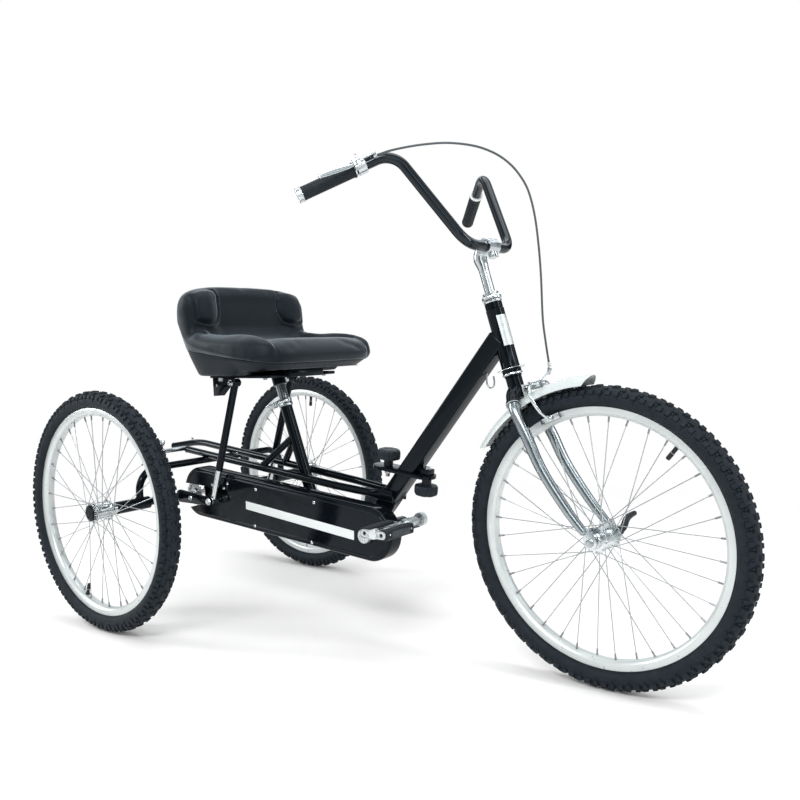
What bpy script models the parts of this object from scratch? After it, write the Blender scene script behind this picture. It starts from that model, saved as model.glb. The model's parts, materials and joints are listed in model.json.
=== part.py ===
"""Adaptive tricycle for an upright rider: one steered front wheel, two rear wheels, a bench seat.

Metres. X runs forward, Y to the rider's left, Z up. The origin is on the ground, midway along
the length. Places on the frame are measured forward from the rear axle, and places on the
steered parts are measured in the steering frame: forward of the steering axis, to the left,
and up along it from the foot of the axle's offset.
"""

import math

import bmesh
import bpy
from mathutils import Matrix, Vector

# Overall sizes
WHEELBASE = 1.174
REAR_TRACK = 0.724
GAP = 0.0003
ROUND_SIDES = 12

# Wheels, 24 inch
WHEEL_SIDES = 36
TYRE_RADIUS = 0.3035
TYRE_HALF_WIDTH = 0.025
TREAD_HALF_WIDTH = 0.009
BEAD_RADIUS = 0.2535
RIM_HALF_WIDTH = 0.0135
RIM_WALL = 0.002
RIM_HOOK = 0.006
RIM_DEPTH = 0.013
SPOKE_COUNT = 36
SPOKE_RADIUS = 0.001
SPOKE_CROSS_ANGLE = math.radians(60)
FLANGE_RADIUS = 0.026
FLANGE_HALF_THICKNESS = 0.002
FRONT_FLANGE = 0.030
FRONT_HUB_HALF = 0.0495
FRONT_AXLE_RADIUS = 0.0045
REAR_FLANGE_OUT = 0.023
REAR_FLANGE_IN = -0.017
REAR_HUB_OUT = 0.033
REAR_HUB_IN = -0.040
REAR_CAP_RADIUS = 0.025
REAR_SHAFT_RADIUS = 0.007
SHAFT_IN_HUB = 0.021
AXLE_Z = TYRE_RADIUS * math.cos(math.pi / WHEEL_SIDES)

# Steering
HEAD_ANGLE = math.radians(73.75)
FORK_OFFSET = 0.097
HEAD_TUBE_RADIUS = 0.0195
HEAD_TUBE_LOW = 0.3756
HEAD_TUBE_HIGH = 0.519
STEERER_RADIUS = 0.0127
STEERER_TOP = 0.5415
CROWN_RADIUS = 0.0135
CROWN_LOW = 0.3105
SLEEVE_WALL = 0.003
CUP_RADIUS = 0.020
FLANGE_DISC_RADIUS = 0.030
CUP_HEIGHT = 0.018
LEG_RADIUS = 0.0125
LEG_TIP_RADIUS = 0.0085
DROPOUT_Y = 0.0525
DROPOUT_THICKNESS = 0.005
QUILL_RADIUS = 0.0111
QUILL_DEPTH = 0.070
STEM_RISE = 0.0927
STEM_REACH = 0.0277
STEM_CLAMP_RADIUS = 0.0170
STEM_CLAMP_HALF = 0.020

# Handlebar and what is on it
BAR_RADIUS = 0.0111
BAR_BASE_HALF = 0.083
BAR_RISE = 0.214
BAR_TOP_HALF = 0.166
BAR_TOP_BACK = 0.060
BAR_SWEEP_BACK = 0.155
BAR_SWEEP_OUT = 0.135
BAR_SWEEP_DROP = 0.042
BAR_BEND = 0.048
GRIP_RADIUS = 0.0155
GRIP_LENGTH = 0.123
GRIP_END_WALL = 0.004
LEVER_PIVOT_REACH = 0.022
LEVER_LENGTH = 0.078
LEVER_REST_ANGLE = math.radians(13.5)
LEVER_SIDE = Vector((0.63, -0.777, 0.05))
LOCK_HEIGHT = 0.0105

# Front brake
BRAKE_PIVOT_RISE = 0.3265
BRAKE_PIVOT_FORWARD = 0.050
BRAKE_BOLT_RADIUS = 0.003
BRAKE_ARM_RADIUS = 0.004
PAD_GAP = 0.002
PAD_THICKNESS = 0.008
PAD_LENGTH = 0.046
PAD_HEIGHT = 0.010
PAD_ANGLE = math.radians(96.5)

# Mudguard
MUDGUARD_RADIUS = 0.3198
MUDGUARD_DROP = 0.012
MUDGUARD_HALF_WIDTH = 0.027
MUDGUARD_SHEET = 0.0015
MUDGUARD_FROM = math.radians(92.5)
MUDGUARD_TO = math.radians(149)

# Quick release of the front axle
RELEASE_LEVER_LENGTH = 0.070
RELEASE_LEVER_RADIUS = 0.0058

# Frame
FRONT_CENTRE = 0.526
BRACKET_X = WHEELBASE - FRONT_CENTRE
BRACKET_Z = 0.265
BRACKET_RADIUS = 0.020
BRACKET_HALF = 0.034
STAY_RADIUS = 0.015
DOWN_TUBE_SIDE = 0.040
DOWN_TUBE_CORNER = 0.005
DOWN_TUBE_FOOT_X = BRACKET_X - 0.0627
DOWN_TUBE_JOIN = 0.4476
DOWN_TUBE_INSET = 0.006
SEAT_TUBE_FOOT_X = BRACKET_X - 0.256
SEAT_TUBE_ANGLE = math.radians(70.5)
SEAT_TUBE_TOP_Z = 0.552
SEAT_TUBE_RADIUS = 0.015
GUSSET_RADIUS = 0.009
GUSSET_TOP_Z = 0.467
GUSSET_FOOT_X = SEAT_TUBE_FOOT_X - 0.147
RAIL_RADIUS = 0.0095
RAIL_HALF_SPACING = 0.040
RAIL_SLOPE = 0.102
RAIL_FRONT_X = BRACKET_X + 0.017
RAIL_BEND_X = RAIL_FRONT_X - 0.165
RAIL_GUSSET_THICKNESS = 0.004
RIGHT_RAIL_END_X = -0.070
LEFT_RAIL_END_X = -0.241
HOOP_TOP_Z = 0.3895
HOOP_HALF_WIDTH = 0.250
HOOP_BEND = 0.055
HOOP_RADIUS = 0.0095
SLEEVE_RADIUS = 0.016
SLEEVE_OUT = 0.320
SLEEVE_IN = 0.225
AXLE_HOUSING_RADIUS = 0.0095
AXLE_BEARING_HALF = 0.030
HOUSING_END_Y = 0.0985
STUB_INNER_Y = 0.15
STRUT_STRAP_THICKNESS = 0.006
STRUT_STRAP_RADIUS = 0.017
ACCESSORY_BAR_Z = 0.4185
ACCESSORY_BAR_OUT = 0.135
ACCESSORY_BAR_WIDTH = 0.020
ACCESSORY_BAR_THICKNESS = 0.010
WING_BOLT_RADIUS = 0.003
WING_BOLT_Y = -0.120
WING_BOLT_HEIGHT = 0.032

# Knob plate under the seat
KNOB_PLATE_X = BRACKET_X + 0.0345
KNOB_PLATE_Z = 0.4005
KNOB_PLATE_LENGTH = 0.171
KNOB_PLATE_WIDTH = 0.056
KNOB_PLATE_THICKNESS = 0.008
KNOB_PLATE_SLOPE = math.radians(7)
KNOB_RADIUS = 0.027
KNOB_HEIGHT = 0.024
KNOB_LOBES = 8
KNOB_LOBE_DEPTH = 0.0022
KNOB_STEM_RADIUS = 0.011
KNOB_STEM_HEIGHT = 0.015
KNOB_BOLT_RADIUS = 0.005
REAR_KNOB_OFFSET = -0.048
FRONT_KNOB_OFFSET = 0.066

# Drive
CHAIN_PITCH = 0.0127
CHAINRING_TEETH = 26
SPROCKET_TEETH = 14
CHAIN_LINE_Y = -0.072
CHAIN_HALF_HEIGHT = 0.004
CHAIN_WIDTH = 0.0065
PLATE_THICKNESS = 0.003
CRANK_LENGTH = 0.140
CRANK_ANGLE = math.radians(18.3)
CRANK_THICKNESS = 0.014
CRANK_WIDTH = 0.022
SPINDLE_RADIUS = 0.008
RIGHT_CRANK_Y = -0.0995
LEFT_CRANK_Y = 0.0950
PEDAL_SPINDLE_RADIUS = 0.006
PEDAL_BARREL_RADIUS = 0.0105
PEDAL_INNER = 0.014
PEDAL_LENGTH = 0.108
PEDAL_BLOCK_OFFSET = 0.0295
PEDAL_BLOCK_DEPTH = 0.024
PEDAL_BLOCK_HEIGHT = 0.0225
PEDAL_PLATE_THICKNESS = 0.004

# Chain case
CASE_OUTER_Y = -0.092
CASE_INNER_Y = -0.052
CASE_WALL = 0.0015
CASE_BACK_THICKNESS = 0.0035
CASE_CHAIN_ROOM = 0.0098
CASE_REAR_EXTRA = 0.0045
CASE_REAR_X = 0.045
CASE_REAR_RISE = 0.0095
HOOD_X = 0.170
CASE_BOSS_RADIUS = 0.008

# Seat
SEAT_LENGTH = 0.345
SEAT_WIDTH = 0.425
SEAT_CENTRE = 0.010
SEAT_BASE_Z = 0.630
SHELL_FRONT_Z = 0.657
SHELL_REAR_Z = 0.703
CUSHION_TOP_Z = 0.713
BACKREST_TOP_Z = 0.861
BACKREST_HALF_WIDTH = 0.200
SEAT_POST_RADIUS = 0.0125
SEAT_POST_LENGTH = 0.230
SEAT_PLATE_THICKNESS = 0.008
SEAT_PLATE_Y = 0.104
SEAT_BLOCK_DEPTH = 0.024
COLLAR_HEIGHT = 0.020
COLLAR_WALL = 0.0035
SEAT_RELEASE_LENGTH = 0.048

# Struts
RIGHT_STRUT_Y = 0.108
LEFT_STRUT_Y = 0.085
STRUT_PLATE_GAP = 0.0102
STRUT_TOP_BACK = 0.0385
STRUT_TOP_Z = 0.610
STRUT_FOOT_X = 0.1197
STRUT_FOOT_Z = 0.297
STRUT_OUTER_RADIUS = 0.0095
STRUT_INNER_RADIUS = 0.0075
STRUT_OUTER_LENGTH = 0.243
STRUT_OVERLAP = 0.115
STRUT_BORE_TOP = 0.080

REAR_X = -WHEELBASE / 2
FRONT_X = WHEELBASE / 2
STRUT_Y = {-1: RIGHT_STRUT_Y, 1: LEFT_STRUT_Y}
SIDEWAYS = Vector((0, 1, 0))
UPWARD = Vector((0, 0, 1))
HEAD_UP = Vector((-math.cos(HEAD_ANGLE), 0, math.sin(HEAD_ANGLE)))
HEAD_FORWARD = Vector((math.sin(HEAD_ANGLE), 0, math.cos(HEAD_ANGLE)))
FRONT_AXLE = Vector((FRONT_X, 0, AXLE_Z))
STEERING_FOOT = FRONT_AXLE - FORK_OFFSET * HEAD_FORWARD
RIM_RADIUS = BEAD_RADIUS + RIM_HOOK
RIM_INNER_RADIUS = BEAD_RADIUS - RIM_DEPTH


def from_rear(x, y, z):
    """A point of the frame, x forward of the rear axle."""
    return Vector((REAR_X + x, y, z))


def steered(forward, y, up):
    """A point of the steered parts, in the steering frame."""
    return STEERING_FOOT + forward * HEAD_FORWARD + y * SIDEWAYS + up * HEAD_UP


def clear_scene():
    for obj in list(bpy.data.objects):
        bpy.data.objects.remove(obj, do_unlink=True)


clear_scene()
PARTS = bpy.data.collections.new("adaptive_tricycle")
CUTTERS = bpy.data.collections.new("cutters")
bpy.context.scene.collection.children.link(PARTS)
bpy.context.scene.collection.children.link(CUTTERS)


def material(name, color, roughness, metallic):
    made = bpy.data.materials.new(name)
    made.use_nodes = True
    shader = made.node_tree.nodes["Principled BSDF"]
    shader.inputs["Base Color"].default_value = (*color, 1)
    shader.inputs["Roughness"].default_value = roughness
    shader.inputs["Metallic"].default_value = metallic
    return made


BLACK_PAINT = material("black_paint", (0.012, 0.013, 0.015), 0.22, 0.0)
CHROME = material("chrome", (0.72, 0.74, 0.75), 0.12, 1.0)
ALLOY = material("alloy_rim", (0.80, 0.82, 0.82), 0.38, 0.6)
STEEL = material("steel", (0.50, 0.51, 0.52), 0.35, 1.0)
TYRE_RUBBER = material("tyre_rubber", (0.030, 0.034, 0.040), 0.75, 0.0)
GRIP_RUBBER = material("grip_rubber", (0.020, 0.022, 0.026), 0.70, 0.0)
BLOCK_RUBBER = material("brake_block_rubber", (0.20, 0.20, 0.20), 0.70, 0.0)
KNOB_PLASTIC = material("knob_plastic", (0.045, 0.048, 0.055), 0.45, 0.0)
SHELL_PLASTIC = material("shell_plastic", (0.055, 0.068, 0.080), 0.50, 0.0)
VINYL = material("vinyl", (0.022, 0.025, 0.029), 0.42, 0.0)
GUARD_PLASTIC = material("guard_plastic", (0.78, 0.81, 0.80), 0.35, 0.0)
CABLE_SHEATH = material("cable_sheath", (0.050, 0.055, 0.060), 0.45, 0.0)


def link(mesh, name="piece"):
    obj = bpy.data.objects.new(name, mesh)
    PARTS.objects.link(obj)
    return obj


def mesh_of(bm):
    mesh = bpy.data.meshes.new("mesh")
    bm.to_mesh(mesh)
    bm.free()
    return mesh


def box(centre, size, forward=Vector((1, 0, 0)), up=UPWARD):
    """A block: size runs along forward, then across, then along up."""
    bm = bmesh.new()
    bmesh.ops.create_cube(bm, size=1)
    bmesh.ops.scale(bm, vec=size, verts=bm.verts)
    obj = link(mesh_of(bm))
    x_axis = forward.normalized()
    y_axis = up.cross(x_axis).normalized()
    turn = Matrix((x_axis, y_axis, x_axis.cross(y_axis))).transposed()
    obj.matrix_world = Matrix.Translation(centre) @ turn.to_4x4()
    return obj


def rod(start, end, radius, end_radius=None, sides=ROUND_SIDES):
    """A round bar or cone between two points."""
    run = end - start
    bm = bmesh.new()
    bmesh.ops.create_cone(
        bm,
        cap_ends=True,
        segments=sides,
        radius1=radius,
        radius2=radius if end_radius is None else end_radius,
        depth=run.length,
    )
    obj = link(mesh_of(bm))
    turn = run.to_track_quat("Z", "Y").to_matrix().to_4x4()
    obj.matrix_world = Matrix.Translation((start + end) / 2) @ turn
    return obj


def bore(radius, sides=ROUND_SIDES):
    """The radius of a hole whose flats clear a bar of this radius by the running gap."""
    return (radius + GAP) / math.cos(math.pi / sides)


def meshed(curve_object):
    """The curve as a mesh with its caps welded on."""
    bpy.context.view_layer.update()
    graph = bpy.context.evaluated_depsgraph_get()
    mesh = bpy.data.meshes.new_from_object(curve_object.evaluated_get(graph))
    bm = bmesh.new()
    bm.from_mesh(mesh)
    bmesh.ops.remove_doubles(bm, verts=bm.verts, dist=1e-5)
    bm.to_mesh(mesh)
    bm.free()
    obj = link(mesh)
    obj.matrix_world = curve_object.matrix_world.copy()
    bpy.data.objects.remove(curve_object, do_unlink=True)
    return obj


def tube(points, radius, end_radius=None, sides=12):
    """A round bar along points, its radius running evenly to end_radius if that is given."""
    curve = bpy.data.curves.new("tube", "CURVE")
    curve.dimensions = "3D"
    curve.bevel_depth = radius
    curve.bevel_resolution = (sides - 4) // 2
    curve.use_fill_caps = True
    spline = curve.splines.new("POLY")
    spline.points.add(len(points) - 1)
    for index, (knot, place) in enumerate(zip(spline.points, points)):
        share = index / (len(points) - 1)
        knot.co = (*place, 1)
        if end_radius is not None:
            knot.radius = 1 + share * (end_radius / radius - 1)
    return meshed(link(curve))


def slab(outlines, thickness, matrix):
    """A flat piece from closed outlines, later ones being holes, centred on the matrix's plane."""
    curve = bpy.data.curves.new("slab", "CURVE")
    curve.dimensions = "2D"
    curve.fill_mode = "BOTH"
    curve.extrude = thickness / 2
    for outline in outlines:
        spline = curve.splines.new("POLY")
        spline.points.add(len(outline) - 1)
        spline.use_cyclic_u = True
        for knot, (across, along) in zip(spline.points, outline):
            knot.co = (across, along, 0, 1)
    obj = link(curve)
    obj.matrix_world = matrix
    return meshed(obj)


def side_slab(outlines, y_from, y_to):
    """A flat piece lying in a plane of X and Z, its outlines measured from the rear axle."""
    centre = from_rear(0, (y_from + y_to) / 2, 0)
    upright = Matrix.Rotation(math.pi / 2, 4, "X")
    return slab(outlines, abs(y_to - y_from), Matrix.Translation(centre) @ upright)


def screw(profile, matrix, closed, steps, angle=math.tau):
    """A turned shape: (radius, height) points round the matrix's Z axis, top to bottom outside."""
    mesh = bpy.data.meshes.new("profile")
    count = len(profile)
    pairs = [(index, index + 1) for index in range(count - 1)]
    if closed:
        pairs.append((count - 1, 0))
    mesh.from_pydata([(radius, 0, height) for radius, height in profile], pairs, [])
    obj = link(mesh)
    obj.matrix_world = matrix
    turned = obj.modifiers.new("turn", "SCREW")
    turned.angle = angle
    turned.steps = steps
    turned.render_steps = steps
    turned.use_merge_vertices = True
    turned.merge_threshold = 1e-5
    turned.use_smooth_shade = True
    return obj


def along_axis(centre, axis, spin=0.0):
    """The matrix that stands a turned shape's Z axis along axis."""
    turn = axis.to_track_quat("Z", "Y").to_matrix().to_4x4()
    return Matrix.Translation(centre) @ turn @ Matrix.Rotation(spin, 4, "Z")


def as_helper(obj):
    PARTS.objects.unlink(obj)
    CUTTERS.objects.link(obj)
    obj.hide_render = True
    obj.display_type = "WIRE"


def boolean(target, other, operation):
    modifier = target.modifiers.new(operation.lower(), "BOOLEAN")
    modifier.operation = operation
    modifier.object = other
    if other.name in PARTS.objects:
        as_helper(other)


def unite(target, *others):
    for other in others:
        boolean(target, other, "UNION")
    return target


def cut(target, *others):
    for other in others:
        boolean(target, other, "DIFFERENCE")
    return target


def bevel(obj, width, segments=1):
    modifier = obj.modifiers.new("bevel", "BEVEL")
    modifier.width = width
    modifier.segments = segments
    modifier.limit_method = "ANGLE"
    modifier.angle_limit = math.radians(40)
    return obj


def node(obj, name, paint, pivot=None):
    """Makes the shape a named sub-part, carried by the empty at its joint."""
    obj.name = name
    obj.data.name = name
    obj.data.materials.clear()
    obj.data.materials.append(paint)
    if obj.data.polygons:
        obj.data.shade_smooth()
        obj.data.set_sharp_from_angle(angle=math.radians(35))
    if pivot is not None:
        obj.parent = pivot
        obj.matrix_parent_inverse = pivot.matrix_world.inverted()
    return obj


def pivot(name, place, parent=None):
    """The empty on a joint's axis, which carries what moves there."""
    empty = bpy.data.objects.new(name, None)
    empty.empty_display_size = 0.03
    empty.location = place
    PARTS.objects.link(empty)
    if parent is not None:
        empty.parent = parent
        empty.matrix_parent_inverse = parent.matrix_world.inverted()
    bpy.context.view_layer.update()
    return empty


def bent(corners, radius, steps=5):
    """The corners as a path whose inner corners are arcs of this radius."""
    path = [corners[0]]
    for before, corner, after in zip(corners, corners[1:], corners[2:]):
        arriving = (corner - before).normalized()
        leaving = (after - corner).normalized()
        turn = arriving.angle(leaving)
        reach = radius * math.tan(turn / 2)
        centre = corner + (leaving - arriving).normalized() * radius / math.cos(turn / 2)
        first = corner - arriving * reach - centre
        last = corner + leaving * reach - centre
        for step in range(steps + 1):
            share = step / steps
            weights = math.sin((1 - share) * turn), math.sin(share * turn)
            path.append(centre + (weights[0] * first + weights[1] * last) / math.sin(turn))
    return path + [corners[-1]]


def flowing(knots, steps):
    """A smooth path through every knot."""
    padded = [2 * knots[0] - knots[1], *knots, 2 * knots[-1] - knots[-2]]
    path = [knots[0]]
    for a, b, c, d in zip(padded, padded[1:], padded[2:], padded[3:]):
        for step in range(1, steps + 1):
            t = step / steps
            bend = (2 * a - 5 * b + 4 * c - d) * t * t + (3 * b - a - 3 * c + d) * t * t * t
            path.append(b + ((c - a) * t + bend) / 2)
    return path


def arc(centre_x, centre_z, radius, start, end, steps):
    places = [start + (end - start) * step / steps for step in range(steps + 1)]
    return [(centre_x + radius * math.cos(a), centre_z + radius * math.sin(a)) for a in places]


def belt(front, front_radius, rear, rear_radius, steps=10):
    """The outline round two circles and the two tangents between them."""
    run_x = front[0] - rear[0]
    run_z = front[1] - rear[1]
    tilt = math.atan2(run_z, run_x)
    lean = math.asin((front_radius - rear_radius) / math.hypot(run_x, run_z))
    quarter = math.pi / 2 + lean
    outline = arc(*front, front_radius, tilt - quarter, tilt + quarter, steps)
    rear_turn = tilt + math.tau - quarter
    return outline + arc(*rear, rear_radius, tilt + quarter, rear_turn, steps)


# Wheels

def tyre_profile():
    seat = BEAD_RADIUS + GAP
    bead = RIM_HALF_WIDTH - RIM_WALL - 2 * GAP
    side = [
        (TYRE_RADIUS, TREAD_HALF_WIDTH),
        (TYRE_RADIUS - 0.0105, TYRE_HALF_WIDTH),
        (RIM_RADIUS + 0.0145, TYRE_HALF_WIDTH),
        (RIM_RADIUS + 0.0005, RIM_HALF_WIDTH - 0.0007),
        (seat, bead),
    ]
    lower = [(radius, -width) for radius, width in side]
    return lower + side[::-1]


def rim_profile():
    inner = RIM_HALF_WIDTH - RIM_WALL
    floor = RIM_HALF_WIDTH - RIM_WALL * 0.8
    half = [(RIM_RADIUS, RIM_HALF_WIDTH), (BEAD_RADIUS, inner)]
    lower = [(radius, -width) for radius, width in reversed(half)]
    return half + lower + [(RIM_INNER_RADIUS, -floor), (RIM_INNER_RADIUS, floor)]


def front_hub_profile():
    hole = bore(FRONT_AXLE_RADIUS)
    flange_out = FRONT_FLANGE + FLANGE_HALF_THICKNESS
    flange_in = FRONT_FLANGE - FLANGE_HALF_THICKNESS
    half = [
        (0.0092, FRONT_HUB_HALF),
        (0.0145, flange_out + 0.0005),
        (FLANGE_RADIUS, flange_out),
        (FLANGE_RADIUS, flange_in),
        (0.0140, flange_in - 0.001),
    ]
    lower = [(radius, -height) for radius, height in reversed(half)]
    return half + lower + [(hole, -FRONT_HUB_HALF), (hole, FRONT_HUB_HALF)]


def rear_hub_profile():
    hole = bore(REAR_SHAFT_RADIUS)
    half = FLANGE_HALF_THICKNESS
    return [
        (0, REAR_HUB_OUT),
        (REAR_CAP_RADIUS, REAR_HUB_OUT),
        (FLANGE_RADIUS, REAR_FLANGE_OUT + half),
        (FLANGE_RADIUS, REAR_FLANGE_OUT - half),
        (0.0185, REAR_FLANGE_OUT - half - 0.001),
        (0.0185, REAR_FLANGE_IN + half + 0.001),
        (FLANGE_RADIUS, REAR_FLANGE_IN + half),
        (FLANGE_RADIUS, REAR_FLANGE_IN - half),
        (0.0130, REAR_HUB_IN),
        (hole, REAR_HUB_IN),
        (hole, SHAFT_IN_HUB + GAP),
        (0, SHAFT_IN_HUB + GAP),
    ]


def spokes(flange_heights, matrix):
    """Spokes laced over three crossings, leaning in and out in turn from each flange."""
    hub_ring = FLANGE_RADIUS - 0.0035
    rim_ring = RIM_INNER_RADIUS * math.cos(math.pi / WHEEL_SIDES) - 1.3 * GAP
    head_side = FLANGE_HALF_THICKNESS - SPOKE_RADIUS * 1.2
    bm = bmesh.new()
    for index in range(SPOKE_COUNT):
        flange = flange_heights[index % 2]
        lead = 1 if (index // 2) % 2 else -1
        rim_turn = math.tau * (index + 0.5) / SPOKE_COUNT
        hub_turn = rim_turn + lead * SPOKE_CROSS_ANGLE
        hub_end = Vector((math.cos(hub_turn), math.sin(hub_turn), 0)) * hub_ring
        hub_end.z = flange + lead * head_side
        rim_end = Vector((math.cos(rim_turn), math.sin(rim_turn), 0)) * rim_ring
        rim_end.z = math.copysign(0.003, flange) + lead * 0.003
        run = rim_end - hub_end
        turn = run.to_track_quat("Z", "Y").to_matrix().to_4x4()
        bmesh.ops.create_cone(
            bm,
            cap_ends=True,
            segments=3,
            radius1=SPOKE_RADIUS,
            radius2=SPOKE_RADIUS,
            depth=run.length,
            matrix=Matrix.Translation((hub_end + rim_end) / 2) @ turn,
        )
    obj = link(mesh_of(bm))
    obj.matrix_world = matrix
    return obj


def wheel(name, centre, outward, hub_profile, hub_closed, flanges, carrier):
    """Tyre, rim, and hub with its spokes. The lowest facet of the tyre lies flat on the ground."""
    quarter = Matrix.Rotation(-outward * math.pi / 2, 4, "X")
    flat_down = Matrix.Rotation(math.pi / WHEEL_SIDES, 4, "Y")
    place = Matrix.Translation(centre) @ flat_down @ quarter
    tyre = screw(tyre_profile(), place, True, WHEEL_SIDES)
    rim = screw(rim_profile(), place, True, WHEEL_SIDES)
    hub = screw(hub_profile, place, hub_closed, ROUND_SIDES)
    unite(hub, spokes(flanges, place))
    node(tyre, name + "_tyre", TYRE_RUBBER, carrier)
    node(rim, name + "_rim", ALLOY, carrier)
    node(hub, name + "_hub", CHROME, carrier)


# Frame

BRACKET = from_rear(BRACKET_X, 0, BRACKET_Z)
REAR_AXLE = from_rear(0, 0, AXLE_Z)


def stay_z(x):
    return AXLE_Z + (BRACKET_Z - AXLE_Z) * x / BRACKET_X


def across(centre, y_from, y_to):
    """The two points of a sideways bar through centre."""
    return (
        Vector((centre.x, y_from, centre.z)),
        Vector((centre.x, y_to, centre.z)),
    )


def down_tube(extra=0.0):
    foot = from_rear(DOWN_TUBE_FOOT_X, 0, stay_z(DOWN_TUBE_FOOT_X))
    top = steered(0, 0, DOWN_TUBE_JOIN)
    run = (top - foot).normalized()
    top = top - run * DOWN_TUBE_INSET
    side = DOWN_TUBE_SIDE + 2 * extra
    square = box((foot + top) / 2, ((top - foot).length, side, side), run)
    return bevel(square, DOWN_TUBE_CORNER + extra, 2)


def main_frame():
    frame = down_tube()
    head = rod(steered(0, 0, HEAD_TUBE_LOW), steered(0, 0, HEAD_TUBE_HIGH), HEAD_TUBE_RADIUS, sides=16)
    shell = rod(*across(BRACKET, -BRACKET_HALF, BRACKET_HALF), BRACKET_RADIUS)
    stay = rod(REAR_AXLE, BRACKET, STAY_RADIUS)
    bearing = rod(*across(REAR_AXLE, -AXLE_BEARING_HALF, AXLE_BEARING_HALF), BRACKET_RADIUS)
    unite(frame, head, shell, stay, bearing)
    for boss_x in (HOOD_X - 0.02, BRACKET_X - 0.148):
        on_stay = from_rear(boss_x, 0, stay_z(boss_x))
        unite(frame, rod(*across(on_stay, 0, CASE_INNER_Y + GAP), CASE_BOSS_RADIUS, sides=12))
    head_bore = STEERER_RADIUS + 0.0035
    head_hole = rod(steered(0, 0, HEAD_TUBE_LOW - 0.01), steered(0, 0, HEAD_TUBE_HIGH + 0.01), head_bore)
    spindle_hole = rod(*across(BRACKET, -0.05, 0.05), bore(SPINDLE_RADIUS))
    shaft_hole = rod(*across(REAR_AXLE, -0.05, 0.05), bore(REAR_SHAFT_RADIUS))
    cut(frame, head_hole, spindle_hole, shaft_hole)
    node(frame, "main_frame", BLACK_PAINT)


RAIL_LIFT = (RAIL_RADIUS + HOOP_RADIUS + GAP) * math.hypot(1, RAIL_SLOPE)
RAIL_Z = HOOP_TOP_Z + RAIL_LIFT
RAIL_BESIDE_TUBE = DOWN_TUBE_SIDE / 2 + RAIL_RADIUS + GAP


def rail_z(x):
    return RAIL_Z - RAIL_SLOPE * x


def rail_path(side):
    """Along one seat rail, front to back. The left one runs on behind the axle and dips."""
    front = [
        (RAIL_FRONT_X, RAIL_BESIDE_TUBE),
        (RAIL_FRONT_X - 0.065, RAIL_BESIDE_TUBE),
        (RAIL_BEND_X, RAIL_HALF_SPACING),
    ]
    corners = [from_rear(x, side * y, rail_z(x)) for x, y in front]
    if side < 0:
        corners.append(from_rear(RIGHT_RAIL_END_X, -RAIL_HALF_SPACING, rail_z(RIGHT_RAIL_END_X)))
        return bent(corners, 0.10, 2)
    crest_x = -0.115
    corners.append(from_rear(crest_x, RAIL_HALF_SPACING, rail_z(crest_x) + 0.006))
    corners.append(from_rear(LEFT_RAIL_END_X, RAIL_HALF_SPACING, rail_z(0) - 0.001))
    return bent(corners, 0.30, 3)


def rail(side, name):
    piece = tube(rail_path(side), RAIL_RADIUS)
    plate_y = side * (DOWN_TUBE_SIDE / 2 + GAP + RAIL_GUSSET_THICKNESS / 2)
    plate_x = RAIL_FRONT_X - 0.035
    centre = from_rear(plate_x, plate_y, rail_z(plate_x) - 0.008)
    gusset = box(centre, (0.052, RAIL_GUSSET_THICKNESS, 0.030))
    unite(piece, gusset)
    node(piece, name, BLACK_PAINT)


def seat_axis(z):
    """The point of the seat tube's axis at this height."""
    foot_z = stay_z(SEAT_TUBE_FOOT_X)
    return from_rear(SEAT_TUBE_FOOT_X - (z - foot_z) / math.tan(SEAT_TUBE_ANGLE), 0, z)


SEAT_UP = Vector((-math.cos(SEAT_TUBE_ANGLE), 0, math.sin(SEAT_TUBE_ANGLE)))
SEAT_X = seat_axis(SEAT_BASE_Z).x - REAR_X


def seat_tube():
    top = seat_axis(SEAT_TUBE_TOP_Z)
    piece = rod(seat_axis(stay_z(SEAT_TUBE_FOOT_X)), top, SEAT_TUBE_RADIUS)
    for side in (-1, 1):
        foot = from_rear(GUSSET_FOOT_X, side * RAIL_HALF_SPACING, rail_z(GUSSET_FOOT_X))
        top_end = seat_axis(GUSSET_TOP_Z + side * 0.0007) + side * 0.004 * SIDEWAYS
        foot += (top_end - foot).normalized() * 0.003
        unite(piece, rod(top_end, foot, GUSSET_RADIUS, sides=12))
    bore_foot = top - SEAT_UP * (SEAT_POST_LENGTH + 0.02)
    hole = rod(bore_foot, top + SEAT_UP * 0.01, bore(SEAT_POST_RADIUS))
    cut(piece, hole, rod(REAR_AXLE, BRACKET, STAY_RADIUS + 2 * GAP))
    for side in (-1, 1):
        cut(piece, tube(rail_path(side), bore(RAIL_RADIUS, 12)))
    node(piece, "seat_tube", BLACK_PAINT)


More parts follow.
